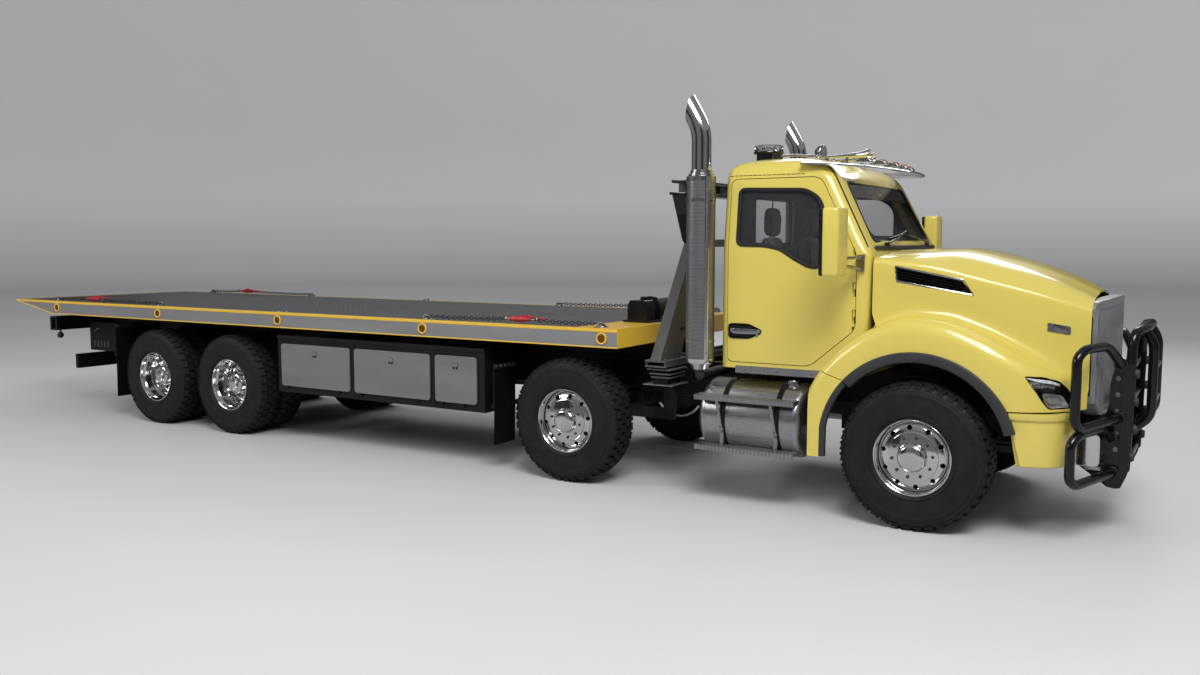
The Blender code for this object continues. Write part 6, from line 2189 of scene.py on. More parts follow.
cushion_rows = [
    (1.475, -1.215, 0.225, 0.205), (1.50, -1.213, 0.238, 0.222), (1.56, -1.210, 0.243, 0.230),
    (1.61, -1.212, 0.238, 0.224), (1.628, -1.215, 0.224, 0.208),
]
back_rows = [
    (1.60, -1.425, 0.050, 0.215), (1.66, -1.422, 0.058, 0.232), (1.85, -1.420, 0.058, 0.234),
    (2.02, -1.422, 0.054, 0.215), (2.13, -1.424, 0.048, 0.165), (2.16, -1.425, 0.036, 0.140),
]
head_rows = [
    (2.175, -1.422, 0.032, 0.105), (2.21, -1.421, 0.044, 0.126), (2.32, -1.420, 0.046, 0.128),
    (2.385, -1.421, 0.040, 0.112), (2.402, -1.422, 0.028, 0.092),
]
pads = (
    (
        "seat_cushion", cushion_rows, 0.014, CUSHION_PANEL,
        [(0, -1.33 + AXLE_X), (0, -1.22 + AXLE_X), (0, -1.11 + AXLE_X)],
    ),
    ("seat_back", back_rows, 0.012, BACK_PANEL, [(2, 1.74), (2, 1.85), (2, 1.96), (2, 2.06)]),
    ("seat_headrest", head_rows, 0.008, HEAD_PANEL, []),
)
for name, rows, cap, panel, channels in pads:
    right = seat_pad(name + "_R", rows, cap, panel, channels)
    left = bpy.data.objects.new(name + "_L", right.data.copy())
    bpy.context.scene.collection.objects.link(left)
    finer(left)
    for obj, y in ((right, -CUSHION_Y), (left, CUSHION_Y)):
        for vertex in obj.data.vertices:
            vertex.co.y += y
        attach(obj, "chassis")

base = Build()
for s in (1, -1):
    y = s * CUSHION_Y
    base.add(g_box((-1.42, -1.00), (y - 0.19, y + 0.19), (1.163, 1.19)), "frame_black")
    folds = [
        (1.19, 0.150), (1.215, 0.178), (1.24, 0.152), (1.265, 0.178), (1.29, 0.152), (1.315, 0.178),
        (1.34, 0.150),
    ]
    rings = []
    for z, half in folds:
        rings.append([
            (-1.21 + x, y + w, z)
            for x, w in rounded_loop([(half, half), (-half, half), (-half, -half), (half, -half)], 0.05, 4)
        ])
    base.add(g_loft(rings), "flap_rubber")
    base.add(g_box((-1.44, -0.97), (y - 0.20, y + 0.20), (1.34, 1.375)), "frame_black")
    base.add(g_box((-1.46, -0.97), (y - 0.215, y + 0.215), (1.375, 1.472)), "interior_trim")
    base.add(g_box((-1.492, -1.478), (y - 0.20, y + 0.20), (1.52, 2.08)), "interior_trim")
    for w in (-0.045, 0.045):
        base.add(g_rod((-1.424, y + w, 2.12), (-1.424, y + w, 2.22), 0.007, 10), "chrome")
    for w in (-0.235, 0.235):
        arm = [(-1.40, y + w, 1.80), (-1.36, y + w, 1.815), (-1.10, y + w, 1.80)]
        base.add(g_tube(rounded(arm, 0.03), 0.016, 10), "interior_trim")
base.add(g_box((-1.45, -0.95), (-0.74, 0.74), (1.1605, 1.164)), "interior_trim")
base_obj = base.make("seat_bases", "chassis", bevel=0.004, smooth=40)
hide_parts("cab_seats")

# The dashboard's section, as (x, z)
DASH = [
    (-0.468, 1.18), (-0.468, 2.050), (-0.56, 2.060), (-0.68, 2.048), (-0.775, 2.00), (-0.80, 1.955),
    (-0.785, 1.93), (-0.765, 1.90), (-0.80, 1.70), (-0.76, 1.665), (-0.60, 1.62), (-0.545, 1.55),
    (-0.545, 1.18),
]
dash = Build()
dash.add(g_prism(rounded_loop(DASH, 0.02, 3), "y", -0.955, 0.955), "interior_trim")
hood_rings = []
for y, lift in (
    (0.20, 0.0), (0.24, 0.014), (0.34, 0.020), (0.46, 0.022), (0.58, 0.020), (0.68, 0.014), (0.72, 0.0),
):
    hood_rings.append([
        (-0.60, y, 2.03), (-0.60, y, 2.045 + lift), (-0.70, y, 2.040 + lift),
        (-0.79 - 0.4 * lift, y, 1.985 + lift), (-0.79, y, 1.945), (-0.76, y, 1.95),
    ])
dash.add(g_loft(hood_rings), "interior_trim")
for y in (-0.80, -0.30, 0.06, 0.84):
    dash.add(g_box((-0.789, -0.772), (y - 0.07, y + 0.07), (1.82, 1.90)), "gloss_black")
    for k in range(4):
        z = 1.832 + 0.018 * k
        dash.add(g_box((-0.795, -0.776), (y - 0.062, y + 0.062), (z, z + 0.006)), "interior_trim")
dash.add(g_box((-0.795, -0.77), (-0.16, 0.13), (1.72, 1.805)), "gloss_black")
for y in (-0.11, -0.03, 0.05):
    dash.add(g_turn(
        [(0.0, 0.022), (0.016, 0.022), (0.018, 0.0)], (-0.793, y, 1.76), (-1, 0, 0.05), 16,
    ), "satin_chrome")
dash.add(g_box((-0.79, -0.765), (-0.74, -0.24), (1.70, 1.80)), "interior_trim")
dash_obj = dash.make("dashboard_panel", "chassis", bevel=0.004, smooth=40)

COLUMN_AXIS = Vector((-0.18, 0, 0.11)).normalized()
WHEEL_AT = Vector((-0.905, 0.46, 1.925))
wheel = Build()
rim = [
    (0.205 + 0.0135 * math.cos(2 * math.pi * k / 12), 0.0135 * math.sin(2 * math.pi * k / 12))
    for k in range(13)
]
wheel.add(g_turn(rim, WHEEL_AT, COLUMN_AXIS, 48), "seat_leather")
wheel.add(g_turn(
    [(0.0, 0.012), (0.05, 0.008), (0.062, -0.008), (0.055, -0.03), (0.0, -0.035)], WHEEL_AT, COLUMN_AXIS,
    28,
), "interior_trim")
side_axis = Vector((0, 1, 0))
up_axis = COLUMN_AXIS.cross(side_axis)
for turn in (math.radians(20), math.radians(160), math.radians(270)):
    away = side_axis * math.cos(turn) + up_axis * math.sin(turn)
    path = [
        WHEEL_AT + away * 0.05 - COLUMN_AXIS * 0.02, WHEEL_AT + away * 0.12 - COLUMN_AXIS * 0.016,
        WHEEL_AT + away * 0.203,
    ]
    wheel.add(g_tube(path, [0.014, 0.011, 0.009], 10), "interior_trim")
wheel.add(g_tube(
    [WHEEL_AT - COLUMN_AXIS * 0.03, WHEEL_AT - COLUMN_AXIS * 0.10, WHEEL_AT - COLUMN_AXIS * 0.17],
    [0.036, 0.042, 0.05], 16,
), "interior_trim")
for s in (1, -1):
    wheel.add(g_rod(
        WHEEL_AT - COLUMN_AXIS * 0.07, WHEEL_AT - COLUMN_AXIS * 0.05 + side_axis * (s * 0.16), 0.006, 8,
    ), "interior_trim")
wheel.make("steering_wheel", "chassis", smooth=50)
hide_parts("dashboard")

# Exhaust stacks: open mitred pipes, perforated shields, seam strip, collars and elbow

STACK_X, STACK_Y = -1.79, 1.10
for side, s in both_sides():
    screen_look("stack_screen_" + side, (0.40, 0.40, 0.41), 0.011, 0.33, STACK_X + AXLE_X, s * STACK_Y)
# What the stack's slanted mouth leaves off, beside and above it
PIPE_END = [(-1.862, 3.312), (-1.916, 3.10), (-1.95, 3.02), (-2.30, 3.02), (-2.30, 3.50), (-1.862, 3.50)]

for side, s in both_sides():
    x, y = STACK_X, s * STACK_Y
    route = rounded([(x, y, 2.60), (x, y, 3.03), (x - 0.16, y, 3.304)], 0.10, 8)
    pipe = one("stack_pipe_" + side, g_tube(route, 0.08, 36), "chrome", None, smooth=40)
    bore_route = rounded([(x, y, 2.75), (x, y, 3.03), (x - 0.24, y, 3.441)], 0.10, 8)
    carve(
        pipe, cutter(g_tube(bore_route, 0.0775, 36)), cutter(g_prism(PIPE_END, "y", y - 0.2, y + 0.2)),
        smooth=40,
    )
    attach(pipe, "chassis")
    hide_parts("stack_" + side)

    shield = Build()
    shield.add(g_turn(
        [(0.100, 1.14), (SHIELD_R, 1.14), (SHIELD_R, 2.648), (0.100, 2.648)], (x, y, 0), (0, 0, 1), 48,
    ), "stack_screen_" + side)
    shield.make("stack_shield_" + side, "chassis", smooth=40)

    trim = Build()
    collar = [
        (0.080, 2.60), (0.1165, 2.60), (0.1195, 2.640), (0.1195, 2.652), (0.104, 2.656), (0.102, 2.672),
        (0.090, 2.676), (0.088, 2.70), (0.080, 2.702),
    ]
    trim.add(g_turn(collar, (x, y, 0), (0, 0, 1), 40), "satin_chrome")
    foot = [
        (0.0, 1.062), (0.050, 1.066), (0.074, 1.082), (0.086, 1.11), (0.112, 1.128), (0.1185, 1.136),
        (0.1185, 1.165), (0.10, 1.165),
    ]
    trim.add(g_turn(foot, (x, y, 0), (0, 0, 1), 40), "chrome")
    turn = math.radians(40) * s
    out_x, out_y = math.cos(turn), math.sin(turn)
    side_x, side_y = -out_y, out_x
    strip = []
    for z in (1.15, 2.645):
        ring = []
        for w, d in (
            (-0.017, 0.1165), (-0.017, 0.1215), (-0.012, 0.1235), (0.012, 0.1235), (0.017, 0.1215),
            (0.017, 0.1165),
        ):
            ring.append((x + out_x * d + side_x * w, y + out_y * d + side_y * w, z))
        strip.append(ring)
    trim.add(g_loft(strip), "chrome")
    for k in range(9):
        z = 1.22 + 0.168 * k
        at = (x + out_x * 0.1225, y + out_y * 0.1225, z)
        trim.add(g_turn(
            [(0.0, 0.0055), (0.0055, 0.0045), (0.0075, 0.0)], at, (out_x, out_y, 0), 10,
        ), "satin_chrome")
    for z in (1.30, 2.45):
        trim.add(g_turn(
            [(0.1165, z), (0.1205, z), (0.1205, z + 0.024), (0.1165, z + 0.024)], (x, y, 0), (0, 0, 1), 40,
        ), "satin_chrome")
    trim.make("stack_trim_" + side, "chassis", smooth=40)

    intake = Build()
    intake.add(g_tube(rounded([
        (x, y, 1.08), (x, y, 1.015), (x - 0.03, y - s * 0.07, 1.012), (x - 0.045, y - s * 0.14, 1.012),
        (x - 0.045, s * 0.480, 1.012),
    ], 0.05, 5), 0.038, 20), "cast_iron")
    intake.add(g_box((-1.87, -1.80), (s * 0.4712, s * 0.482), (0.955, 1.052)), "frame_black")
    intake.add(g_box((-1.868, -1.802), (s * 0.482, s * 1.09), (0.972, 0.978)), "frame_black")
    intake.add(g_box((-1.868, -1.862), (s * 0.482, s * 1.09), (0.972, 1.045)), "frame_black")
    intake.make("stack_elbow_" + side, "chassis", bevel=0.0015, smooth=45)

# Light tower: box legs, black flared plates above, thin top plates and stacked foot plates

# The outer and inner edge of a leg, as (y, z)
LEG_OUT = [(1.118, 1.121), (0.496, 2.11), (0.47, 2.16)]
LEG_IN = [(0.41, 2.16), (0.40, 2.11), (0.715, 1.121)]
tower = Build()
tower.add(g_box((-2.30, -2.10), (-1.118, 1.118), (1.0608, 1.075)), "tower_paint")
for x in ((-2.295, -2.281), (-2.119, -2.105)):
    tower.add(g_box(x, (-1.11, 1.11), (1.075, 1.119)), "tower_paint")
tower.add(g_box((-2.225, -2.175), (-0.465, 0.465), (2.075, 2.145)), "tower_paint")
black = Build()
for s in (1, -1):
    leg = [(s * y, z) for y, z in LEG_OUT + LEG_IN]
    tower.add(g_prism(leg, "x", -2.248, -2.152), "tower_paint")
    tower.add(g_box((-2.298, -2.102), (s * 0.70, s * 1.119), (1.105, 1.121)), "tower_paint")
    flare_plate = [(s * y, z) for y, z in ((0.497, 2.112), (0.70, 2.53), (0.60, 2.53), (0.405, 2.112))]
    black.add(g_prism(flare_plate, "x", -2.252, -2.148), "frame_black")
    black.add(g_prism(
        [(s * y, z) for y, z in ((0.50, 2.13), (0.704, 2.53), (0.694, 2.53), (0.49, 2.13))], "x", -2.262,
        -2.138,
    ), "gloss_black")
    black.add(g_box((-2.22, -2.18), (s * 0.60, s * 0.66), (2.555, 2.646)), "tower_paint")
    black.add(g_box((-2.225, -2.175), (s * 0.30, s * 0.34), (2.555, 2.646)), "tower_paint")
    # Plates stacked under each foot, down to a small step
    for z, half, back, front in (
        (1.036, 0.15, -2.29, -2.06), (0.998, 0.145, -2.27, -2.065), (0.968, 0.14, -2.255, -2.07),
    ):
        tower.add(g_box((back, front), (s * (0.95 - half), s * (0.95 + half)), (z, z + 0.012)), "tower_paint")
    for w in (0.84, 1.06):
        tower.add(g_box((-2.24, -2.10), (s * (w - 0.006), s * (w + 0.006)), (0.912, 1.0605)), "frame_black")
    tower.add(g_box((-2.33, -2.05), (s * 0.80, s * 1.10), (0.904, 0.914)), "step_plate")
    tower.add(g_box((-2.225, -2.115), (s * 0.90, s * 1.00), (0.914, 0.964)), "gloss_black")
    tower.add(g_box((-2.222, -2.118), (s * 1.00, s * 1.006), (0.920, 0.958)), "lens_clear")
    for bx in (-2.27, -2.13):
        for by in (0.76, 1.06):
            tower.add(g_turn(
                [(0.0, 0.012), (0.012, 0.012), (0.013, 0.0)], (bx, s * by, 1.121), (0, 0, 1), 6,
            ), "bare_steel")
    for z in (1.35, 1.75):
        inner = 0.715 + (0.40 - 0.715) * (z - 1.121) / 0.989
        tower.add(g_prism([
            (s * (inner + 0.02), z), (s * (inner + 0.10), z), (s * (inner + 0.09), z + 0.03),
            (s * (inner + 0.01), z + 0.03),
        ], "x", -2.156, -2.148), "frame_black")
black.add(g_box((-2.28, -2.12), (-0.72, 0.72), (2.531, 2.541)), "gloss_black")
for x in ((-2.28, -2.274), (-2.126, -2.12)):
    black.add(g_box(x, (-0.72, 0.72), (2.541, 2.555)), "gloss_black")
black.add(g_box((-2.27, -2.13), (-0.70, 0.70), (2.646, 2.654)), "tower_paint")
for x in ((-2.27, -2.264), (-2.136, -2.13)):
    black.add(g_box(x, (-0.70, 0.70), (2.634, 2.662)), "tower_paint")
for y in (-0.47, -0.12, 0.12, 0.47):
    black.add(g_box((-2.242, -2.165), (y - 0.055, y + 0.055), (2.560, 2.628)), "gloss_black")
    black.add(g_box((-2.247, -2.242), (y - 0.048, y + 0.048), (2.566, 2.622)), "lens_clear")
    black.add(g_box((-2.205, -2.195), (y - 0.012, y + 0.012), (2.541, 2.562)), "bare_steel")
tower_obj = tower.make("tower_legs", "chassis", bevel=0.005, smooth=40)
black.make("tower_top", "chassis", bevel=0.0015, smooth=40)
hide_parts("light_tower")

# Fuel tanks: dished ends, strapped, with tread steps and a knurled cap

TANK_ENDS = (-1.775, -0.845)
TANK_R, TANK_Y, TANK_Z = 0.298, 0.94, 0.70
STRAP_X = (-1.52, -1.06)
CAP_X, CAP_Y, KNURLS = -1.0, 1.02, 24
# A tank's end, as (radius, depth)
DISH = [
    (0.0, 0.0), (0.08, 0.002), (0.16, 0.009), (0.22, 0.021), (0.262, 0.038), (0.284, 0.055), (0.294, 0.070),
    (TANK_R, 0.088),
]


def around(center, radius, a, b, count):
    """Points in the Y-Z plane from angle a to b in degrees, measured from outward towards up."""
    out = []
    for k in range(count + 1):
        t = math.radians(a + (b - a) * k / count)
        out.append((center[0] + radius * math.cos(t), center[1] + radius * math.sin(t)))
    return out


def strap_band(s, x, half, radius, thick, a, b, count=24):
    outer = around((TANK_Y, TANK_Z), radius + thick, a, b, count)
    inner = around((TANK_Y, TANK_Z), radius, b, a, count)
    return g_prism([(s * y, z) for y, z in outer + inner], "x", x - half, x + half)


def angle_step(build, s, x, y, top, skirt):
    """A pressed tread step: top plate, outer skirt and folded ends."""
    build.add(g_box(x, (s * y[0], s * y[1]), (top - 0.004, top)), "step_plate")
    build.add(g_box(x, (s * (y[1] - 0.004), s * y[1]), (top - skirt, top)), "step_plate")
    build.add(g_box(x, (s * y[0], s * (y[0] + 0.004)), (top - 0.6 * skirt, top)), "step_plate")
    for end in x:
        toward = 0.004 if end == x[0] else -0.004
        build.add(g_box((end, end + toward), (s * y[0], s * y[1]), (top - 0.6 * skirt, top)), "step_plate")


for side, s in both_sides():
    tank = Build()
    low, high = TANK_ENDS
    profile = DISH + [(TANK_R, high - low - 0.088)] + [(r, high - low - t) for r, t in reversed(DISH[:-1])]
    tank.add(g_turn(profile, (low, s * TANK_Y, TANK_Z), (1, 0, 0), 72), "brushed_aluminium")
    for x in (low + 0.092, high - 0.092):
        tank.add(g_turn(
            [
                (0.290, x - 0.004), (TANK_R + 0.002, x - 0.002), (TANK_R + 0.002, x + 0.002),
                (0.290, x + 0.004),
            ],
            (0, s * TANK_Y, TANK_Z), (1, 0, 0), 72,
        ), "brushed_aluminium")
    tank.add(g_turn(
        [
            (0.0, 1.026), (0.036, 1.026), (0.040, 1.020), (0.040, 0.992), (0.045, 0.988), (0.045, 0.97),
            (0.052, 0.966), (0.055, 0.93),
        ],
        (CAP_X, s * CAP_Y, 0), (0, 0, 1), 40,
    ), "satin_chrome")
    for k in range(KNURLS):
        a = 2 * math.pi * k / KNURLS
        cx, cy = CAP_X + 0.0405 * math.cos(a), s * CAP_Y + 0.0405 * math.sin(a)
        tank.add(g_rod((cx, cy, 0.995), (cx, cy, 1.018), 0.0022, 6), "satin_chrome")
    tank.add(g_tube(rounded([
        (-1.30, s * 0.86, 0.985), (-1.30, s * 0.86, 1.03), (-1.30, s * 0.55, 1.03), (-1.30, s * 0.48, 1.0),
    ], 0.03, 5), 0.009, 12), "gasket_rubber")
    tank_obj = tank.make("tank_shell_" + side, "chassis", smooth=40)
    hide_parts("tank_" + side)

    straps = Build()
    for x in STRAP_X:
        straps.add(strap_band(s, x, 0.024, TANK_R + 0.0003, 0.003, -128, 172, 44), "gasket_rubber")
        straps.add(strap_band(s, x, 0.017, TANK_R + 0.0033, 0.003, -128, 60, 34), "frame_black")
        straps.add(strap_band(s, x, 0.020, TANK_R + 0.0033, 0.006, 76, 100, 6), "chrome")
        straps.add(strap_band(s, x, 0.017, TANK_R + 0.0033, 0.003, 104, 172, 16), "frame_black")
        # Slanted stay from the upper step down to the strap, and its clamp below
        straps.add(g_prism(
            [(x - 0.062, 0.852), (x - 0.036, 0.852), (x + 0.004, 0.640), (x - 0.012, 0.622)], "y",
            s * 1.2415, s * 1.246,
        ), "satin_chrome")
        straps.add(g_prism(
            [(x + 0.030, 0.852), (x + 0.036, 0.852), (x + 0.012, 0.622), (x + 0.004, 0.622)], "y",
            s * 1.2415, s * 1.246,
        ), "frame_black")
        straps.add(g_box((x - 0.014, x + 0.014), (s * 1.226, s * 1.246), (0.475, 0.635)), "satin_chrome")
        for z in (0.50, 0.60):
            straps.add(g_turn(
                [(0.0, 0.009), (0.010, 0.009), (0.011, 0.0)], (x, s * 1.246, z), (0, s, 0), 6,
            ), "bare_steel")
        # Cradle from the frame rail under the tank
        straps.add(g_box((x - 0.03, x + 0.03), (s * 0.4712, s * 0.486), (0.40, 1.045)), "frame_black")
        arm = [(0.486, 0.46), (0.62, 0.40), (0.94, 0.365)] + around(
            (TANK_Y, TANK_Z), TANK_R + 0.010, -90, -140, 8,
        ) + [(0.486, 0.60)]
        straps.add(g_prism([(s * y, z) for y, z in arm], "x", x - 0.012, x + 0.012), "frame_black")
    straps.make("tank_straps_" + side, "chassis", bevel=0.0008, smooth=40)

    steps = Build()
    angle_step(steps, s, (-1.752, -0.90), (1.14, 1.285), 0.890, 0.040)
    angle_step(steps, s, (-1.752, -0.90), (1.062, 1.275), 0.480, 0.040)
    for x in STRAP_X:
        steps.add(g_box((x - 0.02, x + 0.02), (s * 0.96, s * 1.27), (0.464, 0.472)), "frame_black")
    steps.make("tank_steps_" + side, "chassis", bevel=0.0012, smooth=40)

# Toolbox doors: rounded plates with a folded edge, paddle latches and hinge leaves

# Back and front edge of each toolbox door
BOX_DOORS = ((-6.66, -5.66), (-5.60, -4.60), (-4.54, -4.03))
for side, s in both_sides():
    for number, (back, front) in enumerate(BOX_DOORS, 1):
        x0, x1 = back + 0.004, front - 0.004
        outline = rounded_box((x0, x1), (0.601, 1.048), 0.035, 5)
        door = Build()
        door.add(g_prism(outline, "y", s * 1.2055, s * 1.2195), "box_door_metal")
        edge = rounded_box((x0 + 0.001, x1 - 0.001), (0.602, 1.047), 0.034, 5)
        door.add(g_prism(edge, "y", s * 1.2195, s * 1.2200), "box_door_metal")
        name = "box_door_" + side + str(number)
        panel = door.make("toolbox_door_" + side + str(number), name, bevel=0.0015, segments=3, smooth=40)
        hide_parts(name)
        mid = 0.5 * (back + front)
        latch = Build()
        plate = rounded_box((mid - 0.040, mid + 0.040), (0.915, 0.995), 0.012)
        latch.add(g_prism(plate, "y", s * 1.2201, s * 1.2225), "box_door_metal")
        well = rounded_box((mid - 0.030, mid + 0.030), (0.925, 0.985), 0.008)
        latch.add(g_prism(well, "y", s * 1.2225, s * 1.2229), "frame_black")
        paddle = rounded_box((mid - 0.026, mid + 0.026), (0.944, 0.982), 0.006)
        latch.add(g_prism(paddle, "y", s * 1.2229, s * 1.2262), "box_door_metal")
        latch.add(g_turn(
            [(0.0, 0.003), (0.0065, 0.003), (0.0075, 0.0)], (mid, s * 1.2229, 0.934), (0, s, 0), 16,
        ), "bare_steel")
        for k in range(3):
            hx = back + (front - back) * (0.14 + 0.36 * k)
            latch.add(
                g_box((hx - 0.03, hx + 0.03), (s * 1.2198, s * 1.2212), (0.606, 0.636)), "box_door_metal",
            )
            for w in (-0.016, 0.016):
                latch.add(g_turn(
                    [(0.0, 0.0022), (0.004, 0.0016), (0.0055, 0.0)], (hx + w, s * 1.2212, 0.621), (0, s, 0),
                    10,
                ), "bare_steel")
        latch.make("toolbox_latch_" + side + str(number), name, bevel=0.0006, smooth=40)
    frame_trim = Build()
    frame_trim.add(g_box((-6.722, -3.948), (s * 1.204, s * 1.2152), (1.1005, 1.104)), "box_black")
    frame_trim.add(g_box((-6.722, -3.948), (s * 1.2115, s * 1.2152), (1.104, 1.134)), "box_black")
    for x0, x1 in ((-6.72, -6.664), (-5.656, -5.604), (-4.596, -4.544), (-4.026, -3.95)):
        frame_trim.add(g_box((x0, x1), (s * 1.2003, s * 1.2035), (0.545, 1.10)), "box_black")
    frame_trim.make("toolbox_trim_" + side, "chassis", bevel=0.001, smooth=40)

# Mud flaps: rubber sheets clamped under their beams

# Name, beam's x, width, height, beam's z and sheet's x of each pair
flaps = (
    ("rear", -9.51, (0.64, 1.25), (0.262, 1.148), (0.75, 0.80), -9.494),
    ("front", -3.82, (0.93, 1.25), (0.252, 1.008), (0.59, 0.63), -3.806),
)
for tag, beam_x, wide, tall, beam_z, sheet_x in flaps:
    hung = Build()
    rail = Build()
    rail.add(g_box((beam_x - 0.018, beam_x + 0.010), (-1.25, 1.25), beam_z), "frame_black")
    for s in (1, -1):
        rows = []
        for k in range(13):
            z = tall[0] + (tall[1] - tall[0]) * k / 12
            lag = 0.0035 * math.sin(4.0 * (1 - k / 12))
            ring = []
            for j in range(9):
                y = wide[0] + (wide[1] - wide[0]) * j / 8
                ring.append((sheet_x - 0.003 + lag + 0.0016 * math.sin(5.0 * j / 8 + 2.0 * k / 12), s * y, z))
            for j in range(8, -1, -1):
                y = wide[0] + (wide[1] - wide[0]) * j / 8
                ring.append((sheet_x + 0.003 + lag + 0.0016 * math.sin(5.0 * j / 8 + 2.0 * k / 12), s * y, z))
            rows.append(ring)
        hung.add(g_loft(rows), "flap_rubber")
        top = tall[1]
        rail.add(g_box(
            (sheet_x + 0.0065, sheet_x + 0.0105), (s * wide[0], s * wide[1]), (top - 0.05, top - 0.008),
        ), "bare_steel")
        for k in range(5):
            y = wide[0] + 0.03 + (wide[1] - wide[0] - 0.06) * k / 4
            rail.add(g_turn(
                [(0.0, 0.005), (0.008, 0.005), (0.009, 0.0)], (sheet_x + 0.0105, s * y, top - 0.029),
                (1, 0, 0), 6,
            ), "bare_steel")
        rail.add(g_box(
            (sheet_x - 0.012, sheet_x - 0.004), (s * wide[0], s * (wide[0] + 0.04)), (beam_z[1], top),
        ), "frame_black")
        rail.add(g_box(
            (sheet_x - 0.012, sheet_x - 0.004), (s * (wide[1] - 0.04), s * wide[1]), (beam_z[1], top),
        ), "frame_black")
    flap_obj = hung.make("flaps_" + tag, "chassis", smooth=60)
    rail.make("flap_beam_" + tag, "chassis", bevel=0.002, smooth=40)
    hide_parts("mudflaps_" + tag)

# Tail lamps on the rear beam, hanging round lamps and slotted side plates

TAIL_X, TAIL_Z = -10.958, 1.097
HUNG_LAMP = (-10.895, 1.09, 0.930)

tail = Build()
for s in (1, -1):
    tail.add(g_box((-10.958, -10.950), (s * 0.60, s * 1.185), (1.03, 1.165)), "gloss_black")
    for y, finish in ((0.70, "lens_red"), (0.88, "lens_red"), (1.06, "lens_amber")):
        tail.add(g_turn(
            [(0.0, 0.016), (0.035, 0.014), (0.048, 0.006), (0.050, 0.0)], (TAIL_X, s * y, TAIL_Z),
            (-1, 0, 0), 32,
        ), finish)
        tail.add(g_turn(
            [(0.050, 0.0), (0.058, 0.001), (0.059, 0.006), (0.054, 0.010), (0.050, 0.006)],
            (TAIL_X, s * y, TAIL_Z), (-1, 0, 0), 32,
        ), "gasket_rubber")
    # Marker on the beam's end and the lamp that hangs under it
    tail.add(g_box((-10.900, -10.795), (s * 1.190, s * 1.198), (1.012, 1.164)), "gasket_rubber")
    tail.add(g_box((-10.893, -10.832), (s * 1.198, s * 1.208), (1.020, 1.156)), "lens_clear")
    x, y, z = HUNG_LAMP
    tail.add(g_rod((x, s * y, 1.02), (x, s * y, 0.968), 0.010, 12), "frame_black")
    tail.add(g_turn([
        (0.0, -0.030), (0.020, -0.028), (0.034, -0.016), (0.040, 0.0), (0.040, 0.014), (0.034, 0.020),
        (0.0, 0.022),
    ], (x, s * y, z), (-1, 0, 0), 28), "gloss_black")
    tail.add(
        g_turn([(0.0, 0.026), (0.020, 0.0245), (0.031, 0.0205)], (x, s * y, z), (-1, 0, 0), 28), "lens_red",
    )
tail.make("tail_lamps", "chassis", bevel=0.001, smooth=45)

plates = Build()
for s in (1, -1):
    sheet = [(-10.55, 0.75), (-10.01, 0.75), (-10.01, 1.10), (-10.55, 1.10)]
    plates.add(g_prism(sheet, "y", s * 0.900, s * 0.906), "frame_black")
    plates.add(g_box((-10.55, -10.544), (s * 0.87, s * 0.906), (0.75, 1.10)), "frame_black")
    plates.add(g_box((-10.55, -10.01), (s * 0.87, s * 0.906), (0.744, 0.750)), "frame_black")
    plates.add(g_box((-10.32, -10.24), (s * 0.472, s * 0.900), (0.98, 1.03)), "frame_black")
    for k in range(5):
        x = -10.46 + 0.07 * k
        slot_shape = rounded_loop(
            [(x - 0.012, 0.79), (x + 0.012, 0.79), (x + 0.022, 0.87), (x - 0.002, 0.87)], 0.01, 4,
        )
        plates.add(g_prism(slot_shape, "y", s * 0.906, s * 0.9085), "tower_paint")
    grip = rounded([
        (-10.45, s * 0.908, 0.985), (-10.43, s * 0.925, 0.99), (-10.36, s * 0.925, 1.02),
        (-10.34, s * 0.908, 1.025),
    ], 0.012, 4)
    plates.add(g_tube(grip, 0.006, 10), "bare_steel")
plates.make("rear_side_plates", "chassis", smooth=40)

# Running gear details: rail bolts, spring leaves, U-bolts, dampers, brake chambers, air tanks and hoses


def bolt(build, at, axis, size=0.011, finish="bare_steel"):
    build.add(g_turn([(0.0, 0.9 * size), (size, 0.9 * size), (1.1 * size, 0.0)], at, axis, 6), finish)


def air_tank(build, x, y, z, length, radius, finish):
    low, high = x - 0.5 * length, x + 0.5 * length
    profile = [
        (0.0, 0.0), (0.5 * radius, 0.012), (0.85 * radius, 0.035), (radius, 0.07), (radius, length - 0.07),
        (0.85 * radius, length - 0.035), (0.5 * radius, length - 0.012), (0.0, length),
    ]
    build.add(g_turn(profile, (low, y, z), (1, 0, 0), 32), finish)
    for at in (low + 0.10, high - 0.10):
        build.add(g_turn([
            (radius, at - 0.014), (radius + 0.004, at - 0.014), (radius + 0.004, at + 0.014),
            (radius, at + 0.014),
        ], (0, y, z), (1, 0, 0), 32), "bare_steel")
    build.add(g_turn(
        [(0.0, 0.012), (0.012, 0.010), (0.014, 0.0)], (x, y, z - radius), (0, 0, -1), 12,
    ), "bare_steel")


